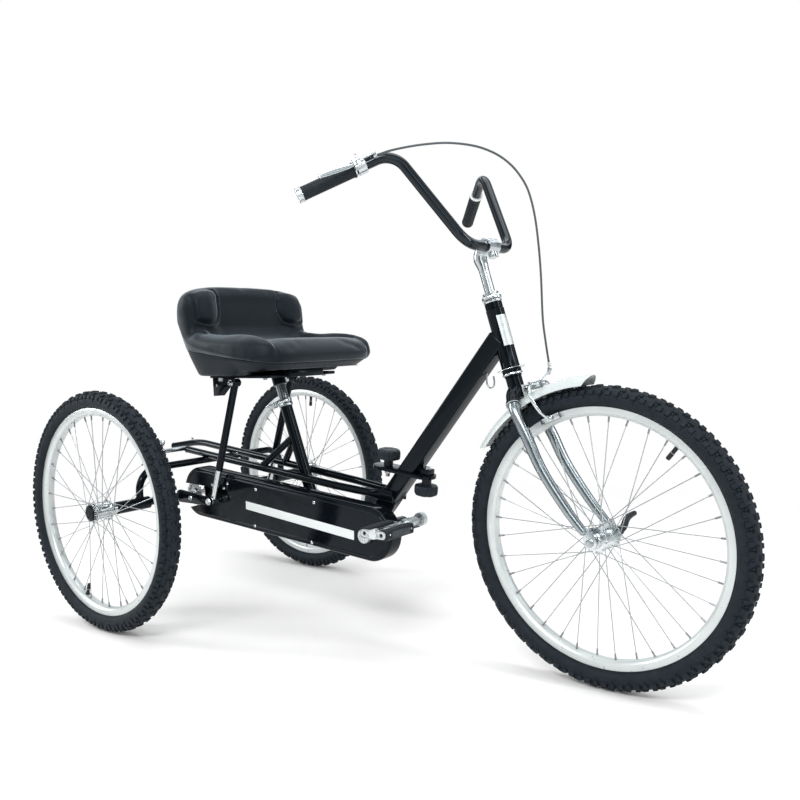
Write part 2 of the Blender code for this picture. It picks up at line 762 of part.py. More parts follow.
def rear_frame():
    sleeves = []
    for side in (-1, 1):
        sleeves.append(rod(*across(REAR_AXLE, side * SLEEVE_IN, side * SLEEVE_OUT), SLEEVE_RADIUS))
    corners = [
        from_rear(0, -HOOP_HALF_WIDTH, AXLE_Z),
        from_rear(0, -HOOP_HALF_WIDTH, HOOP_TOP_Z),
        from_rear(0, HOOP_HALF_WIDTH, HOOP_TOP_Z),
        from_rear(0, HOOP_HALF_WIDTH, AXLE_Z),
    ]
    piece = tube(bent(corners, HOOP_BEND, 3), HOOP_RADIUS)
    unite(piece, *sleeves)
    strut_foot = from_rear(STRUT_FOOT_X, 0, STRUT_FOOT_Z)
    strap_ends = (STRUT_FOOT_X, STRUT_FOOT_Z), (0, AXLE_Z)
    outline = belt(strap_ends[0], STRUT_STRAP_RADIUS * 0.65, strap_ends[1], STRUT_STRAP_RADIUS, 4)
    inner_ends = {-1: HOUSING_END_Y, 1: AXLE_BEARING_HALF + GAP}
    for side, inner in inner_ends.items():
        housing = rod(*across(REAR_AXLE, side * inner, side * (SLEEVE_IN + 0.02)), AXLE_HOUSING_RADIUS)
        strap_in = STRUT_Y[side] + STRUT_PLATE_GAP
        strap_out = strap_in + STRUT_STRAP_THICKNESS
        strap = side_slab([outline], side * strap_in, side * strap_out)
        bolt = rod(*across(strut_foot, side * (strap_out - 0.001), side * (strap_out + 0.007)), 0.0075, 0.006)
        unite(piece, housing, strap, bolt)
    cut(piece, rod(*across(REAR_AXLE, -SLEEVE_OUT - 0.01, SLEEVE_OUT + 0.01), bore(REAR_SHAFT_RADIUS)))
    node(piece, "rear_axle_frame", BLACK_PAINT)


def accessory_bar():
    """A flat bar across the end of the right rail, with a wing bolt through it."""
    inner_y = -RAIL_HALF_SPACING + RAIL_RADIUS
    centre_x = RIGHT_RAIL_END_X - 0.001 - ACCESSORY_BAR_WIDTH / 2
    centre = from_rear(centre_x, (inner_y - ACCESSORY_BAR_OUT) / 2, ACCESSORY_BAR_Z)
    size = (ACCESSORY_BAR_WIDTH, ACCESSORY_BAR_OUT + inner_y, ACCESSORY_BAR_THICKNESS)
    bar = box(centre, size)
    bolt = from_rear(centre_x, WING_BOLT_Y, ACCESSORY_BAR_Z)
    low = bolt - UPWARD * (ACCESSORY_BAR_THICKNESS / 2 + 0.006)
    high = bolt + UPWARD * WING_BOLT_HEIGHT
    cut(bar, rod(low - UPWARD * 0.02, high, bore(WING_BOLT_RADIUS, 12), sides=12))
    node(bar, "accessory_bar", CHROME)
    carrier = pivot("wing_bolt_axis", bolt)
    screw_piece = rod(low, high, WING_BOLT_RADIUS, sides=12)
    boss_low = bolt + UPWARD * (ACCESSORY_BAR_THICKNESS / 2 + GAP)
    boss = rod(boss_low, boss_low + UPWARD * 0.010, 0.007, 0.005, sides=12)
    wing = box(high - UPWARD * 0.010, (0.004, 0.028, 0.016))
    unite(screw_piece, boss, wing)
    node(screw_piece, "bar_clamp_bolt", CHROME, carrier)


# Knob plate

PLATE_FORWARD = Vector((math.cos(KNOB_PLATE_SLOPE), 0, -math.sin(KNOB_PLATE_SLOPE)))
PLATE_UP = Vector((math.sin(KNOB_PLATE_SLOPE), 0, math.cos(KNOB_PLATE_SLOPE)))
PLATE_CENTRE = from_rear(KNOB_PLATE_X, 0, KNOB_PLATE_Z)


def knob_plate():
    half = KNOB_PLATE_WIDTH / 2
    reach = KNOB_PLATE_LENGTH / 2 - half
    outline = arc(reach, 0, half, -math.pi / 2, math.pi / 2, 6)
    outline += arc(-reach, 0, half, math.pi / 2, math.pi * 1.5, 6)
    turn = Matrix((PLATE_FORWARD, SIDEWAYS, PLATE_UP)).transposed().to_4x4()
    plate = slab([outline], KNOB_PLATE_THICKNESS, Matrix.Translation(PLATE_CENTRE) @ turn)
    lift = KNOB_PLATE_THICKNESS / 2 + 0.006
    block = box(
        PLATE_CENTRE + PLATE_FORWARD * FRONT_KNOB_OFFSET + PLATE_UP * lift,
        (0.022, 0.026, 0.014),
        PLATE_FORWARD,
        PLATE_UP,
    )
    unite(plate, block)
    cut(plate, down_tube(2 * GAP))
    for offset in (REAR_KNOB_OFFSET, FRONT_KNOB_OFFSET):
        place = PLATE_CENTRE + PLATE_FORWARD * offset
        reach = PLATE_UP * 0.04
        cut(plate, rod(place - reach, place + reach, bore(KNOB_BOLT_RADIUS, 12), sides=12))
    node(plate, "knob_plate", BLACK_PAINT)


def star_knob(name, offset, up):
    """A lobed hand wheel on a stem, with its bolt through the plate. up is 1 above it, -1 below."""
    place = PLATE_CENTRE + PLATE_FORWARD * offset
    outward = PLATE_UP * up
    outline = []
    points = KNOB_LOBES * 3
    for index in range(points):
        turn = math.tau * (index + 0.5) / points
        radius = KNOB_RADIUS - KNOB_LOBE_DEPTH * (1 - math.cos(KNOB_LOBES * turn)) / 2
        outline.append((radius * math.cos(turn), radius * math.sin(turn)))
    face = place + outward * (KNOB_PLATE_THICKNESS / 2 + GAP)
    head_low = face + outward * KNOB_STEM_HEIGHT
    turn = Matrix((PLATE_FORWARD, SIDEWAYS, PLATE_UP)).transposed().to_4x4()
    head = slab([outline], KNOB_HEIGHT, Matrix.Translation(head_low + outward * KNOB_HEIGHT / 2) @ turn)
    stem = rod(face, head_low + outward * 0.002, KNOB_STEM_RADIUS)
    bolt = rod(place - outward * 0.022, face + outward * 0.01, KNOB_BOLT_RADIUS, sides=12)
    unite(head, stem, bolt)
    carrier = pivot(name + "_axis", place)
    node(head, name, KNOB_PLASTIC, carrier)


# Chain case

CHAINRING_RADIUS = CHAIN_PITCH / (2 * math.sin(math.pi / CHAINRING_TEETH))
SPROCKET_RADIUS = CHAIN_PITCH / (2 * math.sin(math.pi / SPROCKET_TEETH))
CASE_FRONT_RADIUS = CHAINRING_RADIUS + CASE_CHAIN_ROOM
CASE_REAR_RADIUS = CASE_FRONT_RADIUS + CASE_REAR_EXTRA
CASE_FRONT = (BRACKET_X, BRACKET_Z)
CASE_REAR = (CASE_REAR_X, AXLE_Z + CASE_REAR_RISE)


def case_outline(inset, steps=10):
    return belt(CASE_FRONT, CASE_FRONT_RADIUS - inset, CASE_REAR, CASE_REAR_RADIUS - inset, steps)


def case_dish():
    """The hollow case, open towards the frame."""
    rim_y = CASE_INNER_Y - CASE_BACK_THICKNESS - GAP
    dish = side_slab([case_outline(0)], CASE_OUTER_Y, rim_y)
    hollow = side_slab([case_outline(CASE_WALL)], CASE_OUTER_Y + CASE_WALL, rim_y + 0.01)
    return cut(dish, hollow)


def chain_case():
    tail = CASE_REAR_X - CASE_REAR_RADIUS
    nose = BRACKET_X + CASE_FRONT_RADIUS
    depth_y = (CASE_OUTER_Y + CASE_INNER_Y) / 2
    cover = case_dish()
    tail_run = HOOD_X + GAP / 2 - (tail - 0.02)
    cut(cover, box(from_rear(HOOD_X + GAP / 2 - tail_run / 2, depth_y, AXLE_Z), (tail_run, 0.08, 0.3)))
    cut(cover, rod(*across(BRACKET, CASE_OUTER_Y - 0.02, CASE_OUTER_Y + 0.01), 0.018))
    node(cover, "chain_case_cover", BLACK_PAINT)

    hood = case_dish()
    nose_run = nose + 0.02 - (HOOD_X - GAP / 2)
    cut(hood, box(from_rear(HOOD_X - GAP / 2 + nose_run / 2, depth_y, AXLE_Z), (nose_run, 0.08, 0.3)))
    slot_end = HOOD_X - 0.012
    slot = [
        (tail - 0.03, AXLE_Z - 0.041),
        (0.02, AXLE_Z - 0.034),
        (slot_end, AXLE_Z + 0.010),
        (slot_end, AXLE_Z + 0.023),
        (tail - 0.03, AXLE_Z + 0.031),
    ]
    cut(hood, side_slab([slot], CASE_OUTER_Y - 0.01, CASE_INNER_Y + 0.01))
    node(hood, "chain_case_hood", BLACK_PAINT)

    back = side_slab([case_outline(0)], CASE_INNER_Y - CASE_BACK_THICKNESS, CASE_INNER_Y)
    open_tail = [(x, z) for x, z in slot if x < 0.05]
    open_tail = [open_tail[0], open_tail[1], (0.02, AXLE_Z + 0.0285), open_tail[-1]]
    cut(back, side_slab([open_tail], CASE_OUTER_Y, CASE_INNER_Y + 0.01))
    cut(back, rod(*across(BRACKET, CASE_OUTER_Y, 0), 0.012))
    node(back, "chain_case_back", BLACK_PAINT)


# Drive

TOOTH_ROOM = 0.975


def chain():
    axles = (BRACKET_X, BRACKET_Z), (0, AXLE_Z)
    outlines = []
    for height in (CHAIN_HALF_HEIGHT, -CHAIN_HALF_HEIGHT):
        outlines.append(belt(axles[0], CHAINRING_RADIUS + height, axles[1], SPROCKET_RADIUS + height, 12))
    half = CHAIN_WIDTH / 2
    loop = side_slab(outlines, CHAIN_LINE_Y - half, CHAIN_LINE_Y + half)
    node(loop, "chain", STEEL)


def crank_direction(side):
    """From the spindle to the pedal. The right crank points forward and the left one back."""
    return Vector((math.cos(CRANK_ANGLE), 0, math.sin(CRANK_ANGLE))) * -side


def crank_arm(side, inner_y):
    direction = crank_direction(side)
    thickness = side * CRANK_THICKNESS
    middle = Vector((BRACKET.x, inner_y + thickness / 2, BRACKET.z))
    size = (CRANK_LENGTH, CRANK_THICKNESS - 0.002, CRANK_WIDTH)
    arm = bevel(box(middle + direction * CRANK_LENGTH / 2, size, direction), 0.003)
    tip = BRACKET + direction * CRANK_LENGTH
    spindle_boss = rod(*across(BRACKET, inner_y, inner_y + thickness), 0.0165)
    pedal_boss = rod(*across(tip, inner_y, inner_y + thickness), 0.0130)
    return unite(arm, spindle_boss, pedal_boss)


def drive():
    carrier = pivot("crank_axis", BRACKET)
    right = crank_arm(-1, RIGHT_CRANK_Y)
    left_end = LEFT_CRANK_Y + CRANK_THICKNESS - 0.002
    spindle = rod(*across(BRACKET, RIGHT_CRANK_Y - 0.005, left_end), SPINDLE_RADIUS)
    ring_half = PLATE_THICKNESS / 2
    ring_radius = (CHAINRING_RADIUS - CHAIN_HALF_HEIGHT) * TOOTH_ROOM - GAP
    ring = rod(*across(BRACKET, CHAIN_LINE_Y - ring_half, CHAIN_LINE_Y + ring_half), ring_radius, sides=20)
    unite(right, spindle, ring)
    node(right, "crankset", STEEL, carrier)
    left = crank_arm(1, LEFT_CRANK_Y)
    cut(left, rod(*across(BRACKET, LEFT_CRANK_Y - 0.01, left_end + 0.01), bore(SPINDLE_RADIUS)))
    node(left, "left_crank", STEEL, carrier)
    pedal("right_pedal", -1, RIGHT_CRANK_Y - CRANK_THICKNESS, carrier)
    pedal("left_pedal", 1, LEFT_CRANK_Y + CRANK_THICKNESS, carrier)


def pedal(name, side, arm_face, crank_carrier):
    """Two rubber blocks between end plates, on a barrel round the spindle."""
    centre = BRACKET + crank_direction(side) * CRANK_LENGTH
    inner = arm_face + side * PEDAL_INNER
    outer = inner + side * PEDAL_LENGTH
    piece = rod(*across(centre, arm_face + side * GAP, inner + side * 0.01), PEDAL_SPINDLE_RADIUS, sides=12)
    barrel = rod(*across(centre, inner - side * 0.003, outer), PEDAL_BARREL_RADIUS)
    unite(piece, barrel)
    plate_half = PEDAL_PLATE_THICKNESS / 2
    plate_size = (2 * PEDAL_BLOCK_OFFSET + PEDAL_BLOCK_DEPTH * 0.6, PEDAL_PLATE_THICKNESS, 0.016)
    for plate_y in (inner + side * plate_half, outer - side * (plate_half + 0.001)):
        unite(piece, box(Vector((centre.x, plate_y, centre.z)), plate_size))
    block_from = inner + side * plate_half
    block_to = outer - side * (plate_half + 0.001)
    size = (PEDAL_BLOCK_DEPTH, abs(block_to - block_from), PEDAL_BLOCK_HEIGHT)
    for offset in (-PEDAL_BLOCK_OFFSET, PEDAL_BLOCK_OFFSET):
        middle = Vector((centre.x + offset, (block_from + block_to) / 2, centre.z))
        unite(piece, bevel(box(middle, size), 0.003))
    node(piece, name, GRIP_RUBBER, pivot(name + "_axis", centre, crank_carrier))


def rear_wheels():
    half_track = REAR_TRACK / 2
    shaft_out = half_track + SHAFT_IN_HUB
    flanges = (REAR_FLANGE_OUT, REAR_FLANGE_IN)
    right_place = from_rear(0, -half_track, AXLE_Z)
    right = pivot("right_wheel_axis", right_place)
    wheel("right", right_place, -1, rear_hub_profile(), False, flanges, right)
    shaft = rod(*across(REAR_AXLE, -shaft_out, 0.05), REAR_SHAFT_RADIUS)
    node(shaft, "axle_shaft", STEEL, right)
    half = PLATE_THICKNESS / 2
    hole = bore(REAR_SHAFT_RADIUS)
    tooth_root = (SPROCKET_RADIUS - CHAIN_HALF_HEIGHT) * TOOTH_ROOM - GAP
    profile = [
        (0.014, 0.008),
        (0.014, half),
        (tooth_root, half),
        (tooth_root, -half),
        (0.014, -half),
        (0.014, -0.008),
        (hole, -0.008),
        (hole, 0.008),
    ]
    sprocket_place = along_axis(from_rear(0, CHAIN_LINE_Y, AXLE_Z), SIDEWAYS)
    sprocket = screw(profile, sprocket_place, True, ROUND_SIDES)
    node(sprocket, "rear_sprocket", STEEL, right)
    left_place = from_rear(0, half_track, AXLE_Z)
    left = pivot("left_wheel_axis", left_place)
    wheel("left", left_place, 1, rear_hub_profile(), False, flanges, left)
    stub = rod(*across(REAR_AXLE, STUB_INNER_Y, shaft_out), REAR_SHAFT_RADIUS)
    node(stub, "left_stub_axle", STEEL)


# Steering

def headset():
    hole = bore(STEERER_RADIUS, 16)
    upper = HEAD_TUBE_HIGH + GAP
    profile = [
        (0.0190, STEERER_TOP),
        (0.0215, STEERER_TOP - 0.002),
        (0.0215, upper + 0.0150),
        (0.0235, upper + 0.0145),
        (0.0235, upper + 0.0070),
        (0.0205, upper + 0.0065),
        (0.0205, upper),
        (hole, upper),
        (hole, STEERER_TOP),
    ]
    node(screw(profile, along_axis(STEERING_FOOT, HEAD_UP), True, 16), "headset_upper", CHROME)
    lower = HEAD_TUBE_LOW - GAP
    profile = [
        (FLANGE_DISC_RADIUS, lower),
        (FLANGE_DISC_RADIUS, lower - 0.0015),
        (CUP_RADIUS, lower - 0.0025),
        (CUP_RADIUS, lower - CUP_HEIGHT + 0.005),
        (CUP_RADIUS - 0.002, lower - CUP_HEIGHT),
        (hole, lower - CUP_HEIGHT),
        (hole, lower),
    ]
    node(screw(profile, along_axis(STEERING_FOOT, HEAD_UP), True, 16), "headset_lower", CHROME)


def leg_path(side):
    """From the crown down to the dropout, sweeping out round the tyre and forward to the axle."""
    knots = [
        (0.000, 0.0015, 0.3335),
        (0.001, 0.026, 0.3130),
        (0.009, 0.0435, 0.2850),
        (0.023, 0.0505, 0.2260),
        (0.036, 0.0520, 0.1570),
        (FORK_OFFSET - 0.030, DROPOUT_Y, 0.0690),
        (FORK_OFFSET - 0.006, DROPOUT_Y, 0.0180),
    ]
    return flowing([steered(n, side * y, u) for n, y, u in knots], 2)


def fork_shape(extra=0.0):
    """Crown, legs and steerer. extra fattens it to cut what it passes through."""
    crown_top = HEAD_TUBE_LOW - CUP_HEIGHT - 2 * GAP
    crown = rod(steered(0, 0, CROWN_LOW - extra), steered(0, 0, crown_top - GAP), CROWN_RADIUS + extra)
    for side in (-1, 1):
        leg = tube(leg_path(side), LEG_RADIUS + extra, LEG_TIP_RADIUS + extra, sides=10)
        unite(crown, leg)
    return crown


def fork(carrier):
    piece = fork_shape()
    steerer = rod(steered(0, 0, CROWN_LOW + 0.01), steered(0, 0, STEERER_TOP), STEERER_RADIUS)
    unite(piece, steerer)
    for side in (-1, 1):
        inner = side * (DROPOUT_Y - DROPOUT_THICKNESS / 2)
        outer = side * (DROPOUT_Y + DROPOUT_THICKNESS / 2)
        eye = rod(*across(FRONT_AXLE, inner, outer), 0.013)
        neck_place = steered(FORK_OFFSET - 0.004, side * DROPOUT_Y, 0.012)
        neck = box(neck_place, (0.014, DROPOUT_THICKNESS - 0.001, 0.026), HEAD_FORWARD, HEAD_UP)
        unite(piece, eye, neck)
    reach = DROPOUT_Y + 0.02
    quill_foot = STEERER_TOP - QUILL_DEPTH - 0.002
    cut(
        piece,
        rod(*across(FRONT_AXLE, -reach, reach), bore(FRONT_AXLE_RADIUS)),
        rod(steered(0, 0, quill_foot), steered(0, 0, STEERER_TOP + 0.01), bore(QUILL_RADIUS)),
    )
    node(piece, "fork", CHROME, carrier)


def crown_sleeve(carrier):
    """The black sleeve over the crown and the tops of the legs."""
    top = HEAD_TUBE_LOW - CUP_HEIGHT - 2 * GAP
    piece = rod(steered(0, 0, CROWN_LOW + 0.0015), steered(0, 0, top), CROWN_RADIUS + SLEEVE_WALL)
    for side in (-1, 1):
        start = steered(0.000, side * 0.004, CROWN_LOW + 0.0215)
        end = steered(0.0035, side * 0.0340, CROWN_LOW - 0.0085)
        unite(piece, rod(start, end, LEG_RADIUS + SLEEVE_WALL))
    guard_space = rod(*across(FRONT_AXLE, -0.0285, 0.0285), MUDGUARD_RADIUS + 0.0025, sides=96)
    cut(piece, fork_shape(2 * GAP), guard_space)
    bore_top = rod(steered(0, 0, CROWN_LOW), steered(0, 0, top + 0.01), CROWN_RADIUS + 2 * GAP)
    cut(piece, bore_top)
    node(piece, "crown_sleeve", BLACK_PAINT, carrier)


def mudguard_shape():
    """A curved sheet over the tyre."""
    edge = MUDGUARD_RADIUS - MUDGUARD_DROP
    profile = [
        (edge, MUDGUARD_HALF_WIDTH),
        (MUDGUARD_RADIUS - 0.0035, MUDGUARD_HALF_WIDTH * 0.65),
        (MUDGUARD_RADIUS, 0),
        (MUDGUARD_RADIUS - 0.0035, -MUDGUARD_HALF_WIDTH * 0.65),
        (edge, -MUDGUARD_HALF_WIDTH),
    ]
    upright = Matrix.Rotation(math.pi / 2, 4, "X")
    start = Matrix.Rotation(-MUDGUARD_FROM, 4, "Y")
    place = Matrix.Translation(FRONT_AXLE) @ start @ upright
    sheet = screw(profile, place, False, 10, MUDGUARD_TO - MUDGUARD_FROM)
    shell = sheet.modifiers.new("sheet", "SOLIDIFY")
    shell.thickness = MUDGUARD_SHEET
    shell.offset = 0
    return sheet


def mudguard(carrier):
    guard = mudguard_shape()
    sheet_top = BRAKE_PIVOT_RISE - 0.0175
    tab_n = CROWN_RADIUS + SLEEVE_WALL + GAP + MUDGUARD_SHEET / 2
    centre = steered(tab_n, 0, (sheet_top + BRAKE_PIVOT_RISE + 0.009) / 2)
    tab = box(centre, (MUDGUARD_SHEET, 0.016, BRAKE_PIVOT_RISE + 0.009 - sheet_top), HEAD_FORWARD, HEAD_UP)
    unite(guard, tab)
    hole = rod(
        steered(0.01, 0, BRAKE_PIVOT_RISE),
        steered(0.03, 0, BRAKE_PIVOT_RISE),
        bore(BRAKE_BOLT_RADIUS, 12),
        sides=12,
    )
    cut(guard, hole, fork_shape(0.001))
    node(guard, "front_mudguard", GUARD_PLASTIC, carrier)


def stem(carrier):
    clamp_up = STEERER_TOP + STEM_RISE
    foot = STEERER_TOP - QUILL_DEPTH
    quill = rod(steered(0, 0, foot), steered(0, 0, clamp_up - 0.016), QUILL_RADIUS)
    elbow = rod(steered(0, 0, clamp_up - 0.030), steered(STEM_REACH, 0, clamp_up), 0.0125, sides=12)
    clamp = rod(
        steered(STEM_REACH, -STEM_CLAMP_HALF, clamp_up),
        steered(STEM_REACH, STEM_CLAMP_HALF, clamp_up),
        STEM_CLAMP_RADIUS,
    )
    lug = box(steered(STEM_REACH + 0.002, 0, clamp_up - 0.020), (0.016, 0.018, 0.014), HEAD_FORWARD, HEAD_UP)
    unite(quill, elbow, clamp, lug)
    through = rod(
        steered(STEM_REACH, -0.04, clamp_up),
        steered(STEM_REACH, 0.04, clamp_up),
        bore(BAR_RADIUS),
    )
    cut(quill, through)
    node(quill, "stem", CHROME, carrier)


BAR_UP = STEERER_TOP + STEM_RISE


def bar_corners(side):
    """Steering frame places of the clamp, the outer base, the top and the end of the bar."""
    return [
        Vector((STEM_REACH, 0, BAR_UP)),
        Vector((STEM_REACH, side * BAR_BASE_HALF, BAR_UP)),
        Vector((STEM_REACH - BAR_TOP_BACK, side * BAR_TOP_HALF, BAR_UP + BAR_RISE)),
        Vector(
            (
                STEM_REACH - BAR_TOP_BACK - BAR_SWEEP_BACK,
                side * (BAR_TOP_HALF + BAR_SWEEP_OUT),
                BAR_UP + BAR_RISE - BAR_SWEEP_DROP,
            )
        ),
    ]


def grip_line(side):
    """Where the grip starts and ends, and its direction outwards, in world places."""
    *_, top, end = bar_corners(side)
    outward = (end - top).normalized()
    start = end - outward * GRIP_LENGTH
    return steered(*start), steered(*end), (steered(*end) - steered(*start)).normalized()


def handlebar(carrier):
    right = bar_corners(-1)
    left = bar_corners(1)
    for corners, side in ((right, -1), (left, 1)):
        _, end, outward = grip_line(side)
        corners[-1] = end - outward * GRIP_END_WALL
        corners[:-1] = [steered(*corner) for corner in corners[:-1]]
    corners = right[:0:-1] + left[1:]
    node(tube(bent(corners, BAR_BEND, 3), BAR_RADIUS), "handlebar", BLACK_PAINT, carrier)
    for name, side in (("right_grip", -1), ("left_grip", 1)):
        start, end, outward = grip_line(side)
        grip = bevel(rod(start, end, GRIP_RADIUS), 0.002)
        hole_end = end - outward * (GRIP_END_WALL - GAP)
        cut(grip, rod(start - outward * 0.01, hole_end, bore(BAR_RADIUS)))
        node(grip, name, GRIP_RUBBER, carrier)


def brake_lever(carrier):
    """Bracket on the bar inside the right grip, the lever on its pivot, and the parking lock."""
    start, _, outward = grip_line(-1)
    side = LEVER_SIDE.x * HEAD_FORWARD + LEVER_SIDE.y * SIDEWAYS + LEVER_SIDE.z * HEAD_UP
    upright = outward.cross(side).normalized()
    side = upright.cross(outward).normalized()
    ring_centre = start - outward * 0.0155
    pivot_place = start - outward * 0.004 + side * LEVER_PIVOT_REACH

    bracket = rod(ring_centre - outward * 0.010, ring_centre + outward * 0.010, 0.0155)
    arm_centre = start - outward * 0.0085 + side * 0.0185
    cheek = box(arm_centre, (0.014, 0.016, 0.018), outward, upright)
    barrel_start = ring_centre - outward * 0.008 + side * 0.008 + upright * 0.012
    barrel_end = barrel_start - outward * 0.028
    barrel = rod(barrel_start, barrel_end, 0.0045, sides=12)
    unite(bracket, cheek, barrel)
    knuckle_slot = rod(pivot_place - upright * 0.0039, pivot_place + upright * 0.0039, 0.0088)
    bar_hole = rod(ring_centre - outward * 0.04, ring_centre + outward * 0.04, bore(BAR_RADIUS))
    cut(bracket, knuckle_slot, bar_hole)
    node(bracket, "brake_lever_bracket", CHROME, carrier)

    lever_pivot = pivot("brake_lever_axis", pivot_place, carrier)
    blade_way = outward * math.cos(LEVER_REST_ANGLE) + side * math.sin(LEVER_REST_ANGLE)
    blade_up = upright
    knuckle = rod(pivot_place - upright * 0.0035, pivot_place + upright * 0.0035, 0.0070)
    blade_centre = pivot_place + blade_way * LEVER_LENGTH / 2
    blade = bevel(box(blade_centre, (LEVER_LENGTH, 0.0045, 0.0105), blade_way, blade_up), 0.0015)
    root = box(pivot_place + blade_way * 0.009, (0.014, 0.0050, 0.0066), blade_way, blade_up)
    tip = rod(
        pivot_place + blade_way * LEVER_LENGTH - upright * 0.006,
        pivot_place + blade_way * LEVER_LENGTH + upright * 0.006,
        0.0040,
        sides=12,
    )
    blade_start = box(pivot_place, (0.026, 0.012, 0.030), blade_way, blade_up)
    cut(blade, blade_start)
    unite(knuckle, root, blade, tip)
    node(knuckle, "brake_lever", CHROME, lever_pivot)

    lock_base = ring_centre + upright * (0.0155 + GAP) + side * 0.002
    lock_pivot = pivot("brake_lock_axis", lock_base, carrier)
    lock = rod(lock_base, lock_base + upright * LOCK_HEIGHT, 0.0022, sides=12)
    foot = rod(lock_base, lock_base + upright * 0.003, 0.0042, sides=12)
    tab = box(lock_base + upright * LOCK_HEIGHT, (0.0035, 0.009, 0.006), outward, upright)
    unite(lock, foot, tab)
    node(lock, "brake_lock", CHROME, lock_pivot)


def brake_cable(carrier):
    """From the lever's barrel, out in front of the head tube, and down to the left of the caliper."""
    knots = [
        (-0.0500, -0.2075, 0.8408),
        (-0.0147, -0.2080, 0.8345),
        (0.0210, -0.2000, 0.8270),
        (0.0592, -0.1840, 0.8179),
        (0.0959, -0.1620, 0.8065),
        (0.1270, -0.1280, 0.7915),
        (0.1449, -0.0950, 0.7751),
        (0.1550, -0.0680, 0.7560),
        (0.1601, -0.0450, 0.7320),
        (0.1590, -0.0220, 0.7000),
        (0.1482, -0.0020, 0.6546),
        (0.1311, 0.0130, 0.5985),
        (0.1123, 0.0220, 0.5371),
        (0.0872, 0.0290, 0.4577),
        (0.0768, 0.0325, 0.4092),
        (0.0700, 0.0350, 0.3699),
        (0.0672, 0.0360, 0.3544),
    ]
    path = flowing([steered(*knot) for knot in knots], 2)
    node(tube(path, 0.0025, sides=6), "brake_cable", CABLE_SHEATH, carrier)


# Front brake

PAD_RADIUS = BEAD_RADIUS - 0.0005
PAD_FORWARD = FORK_OFFSET + PAD_RADIUS * math.cos(PAD_ANGLE)
PAD_UP = PAD_RADIUS * math.sin(PAD_ANGLE)
PAD_INNER_Y = RIM_HALF_WIDTH + PAD_GAP


def caliper_arm(name, side, boss_forward, tail, carrier):
    """A curved arm from the centre bolt round the tyre to its brake block, with a cable tail."""
    pad_out = PAD_INNER_Y + PAD_THICKNESS + GAP
    knots = [
        (boss_forward, 0.000, BRAKE_PIVOT_RISE),
        (boss_forward + 0.0010, 0.0260, BRAKE_PIVOT_RISE + 0.0015),
        (0.0545, 0.0480, BRAKE_PIVOT_RISE - 0.0230),
        (0.0600, 0.0440, BRAKE_PIVOT_RISE - 0.0520),
        (PAD_FORWARD - 0.001, 0.0300, PAD_UP + 0.0020),
    ]
    path = flowing([steered(n, side * y, u) for n, y, u in knots], 2)
    arm = tube(path, BRAKE_ARM_RADIUS, sides=8)
    boss = rod(
        steered(boss_forward - BRAKE_ARM_RADIUS, 0, BRAKE_PIVOT_RISE),
        steered(boss_forward + BRAKE_ARM_RADIUS, 0, BRAKE_PIVOT_RISE),
        0.0078,
    )
    holder = rod(
        steered(PAD_FORWARD, side * pad_out, PAD_UP),
        steered(PAD_FORWARD, side * 0.0345, PAD_UP),
        0.0055,
        sides=12,
    )
    tail_piece = tube(flowing([steered(*knot) for knot in tail], 2), BRAKE_ARM_RADIUS * 0.85, sides=8)
    unite(arm, boss, holder, tail_piece)
    if side > 0:
        foot = steered(0.0620, 0.0330, BRAKE_PIVOT_RISE + 0.0160)
        top = steered(0.0668, 0.0357, BRAKE_PIVOT_RISE + 0.0260)
        unite(arm, rod(foot, top, 0.0040, sides=12))
    bolt_hole = rod(
        steered(boss_forward - 0.02, 0, BRAKE_PIVOT_RISE),
        steered(boss_forward + 0.02, 0, BRAKE_PIVOT_RISE),
        bore(BRAKE_BOLT_RADIUS, 12),
        sides=12,
    )
    cut(arm, bolt_hole)
    arm_pivot = pivot(name + "_axis", steered(boss_forward, 0, BRAKE_PIVOT_RISE), carrier)
    node(arm, name, CHROME, arm_pivot)
    tangent = HEAD_FORWARD * math.sin(PAD_ANGLE) - HEAD_UP * math.cos(PAD_ANGLE)
    pad_y = side * (PAD_INNER_Y + PAD_THICKNESS / 2)
    centre = steered(PAD_FORWARD, pad_y, PAD_UP)
    pad = bevel(box(centre, (PAD_LENGTH, PAD_THICKNESS, PAD_HEIGHT), tangent), 0.0012)
    node(pad, name.replace("caliper_arm", "brake_pad"), BLOCK_RUBBER, arm_pivot)


def front_brake(carrier):
    step = BRAKE_ARM_RADIUS + GAP / 2
    right_forward = BRAKE_PIVOT_FORWARD - step
    left_forward = BRAKE_PIVOT_FORWARD + step
    right_tail = [
        (right_forward, 0.000, BRAKE_PIVOT_RISE),
        (right_forward, 0.018, BRAKE_PIVOT_RISE + 0.0010),
        (right_forward, 0.035, BRAKE_PIVOT_RISE + 0.0040),
    ]
    left_tail = [
        (left_forward, 0.000, BRAKE_PIVOT_RISE),
        (left_forward + 0.003, 0.015, BRAKE_PIVOT_RISE + 0.0130),
        (left_forward + 0.009, 0.034, BRAKE_PIVOT_RISE + 0.0200),
    ]
    caliper_arm("caliper_arm_right", -1, right_forward, right_tail, carrier)
    caliper_arm("caliper_arm_left", 1, left_forward, left_tail, carrier)
    crown_face = CROWN_RADIUS + SLEEVE_WALL + GAP
    arms_back = right_forward - BRAKE_ARM_RADIUS - GAP
    arms_front = left_forward + BRAKE_ARM_RADIUS + GAP
    up = BRAKE_PIVOT_RISE
    bolt = rod(steered(crown_face, 0, up), steered(arms_front + 0.002, 0, up), BRAKE_BOLT_RADIUS, sides=12)
    spacer_start = crown_face + MUDGUARD_SHEET + GAP
    spacer = rod(steered(spacer_start, 0, up), steered(arms_back, 0, up), 0.0060, sides=12)
    nut = rod(steered(arms_front, 0, up), steered(arms_front + 0.006, 0, up), 0.0060, sides=6)
    unite(bolt, spacer, nut)
    node(bolt, "caliper_bolt", STEEL, carrier)


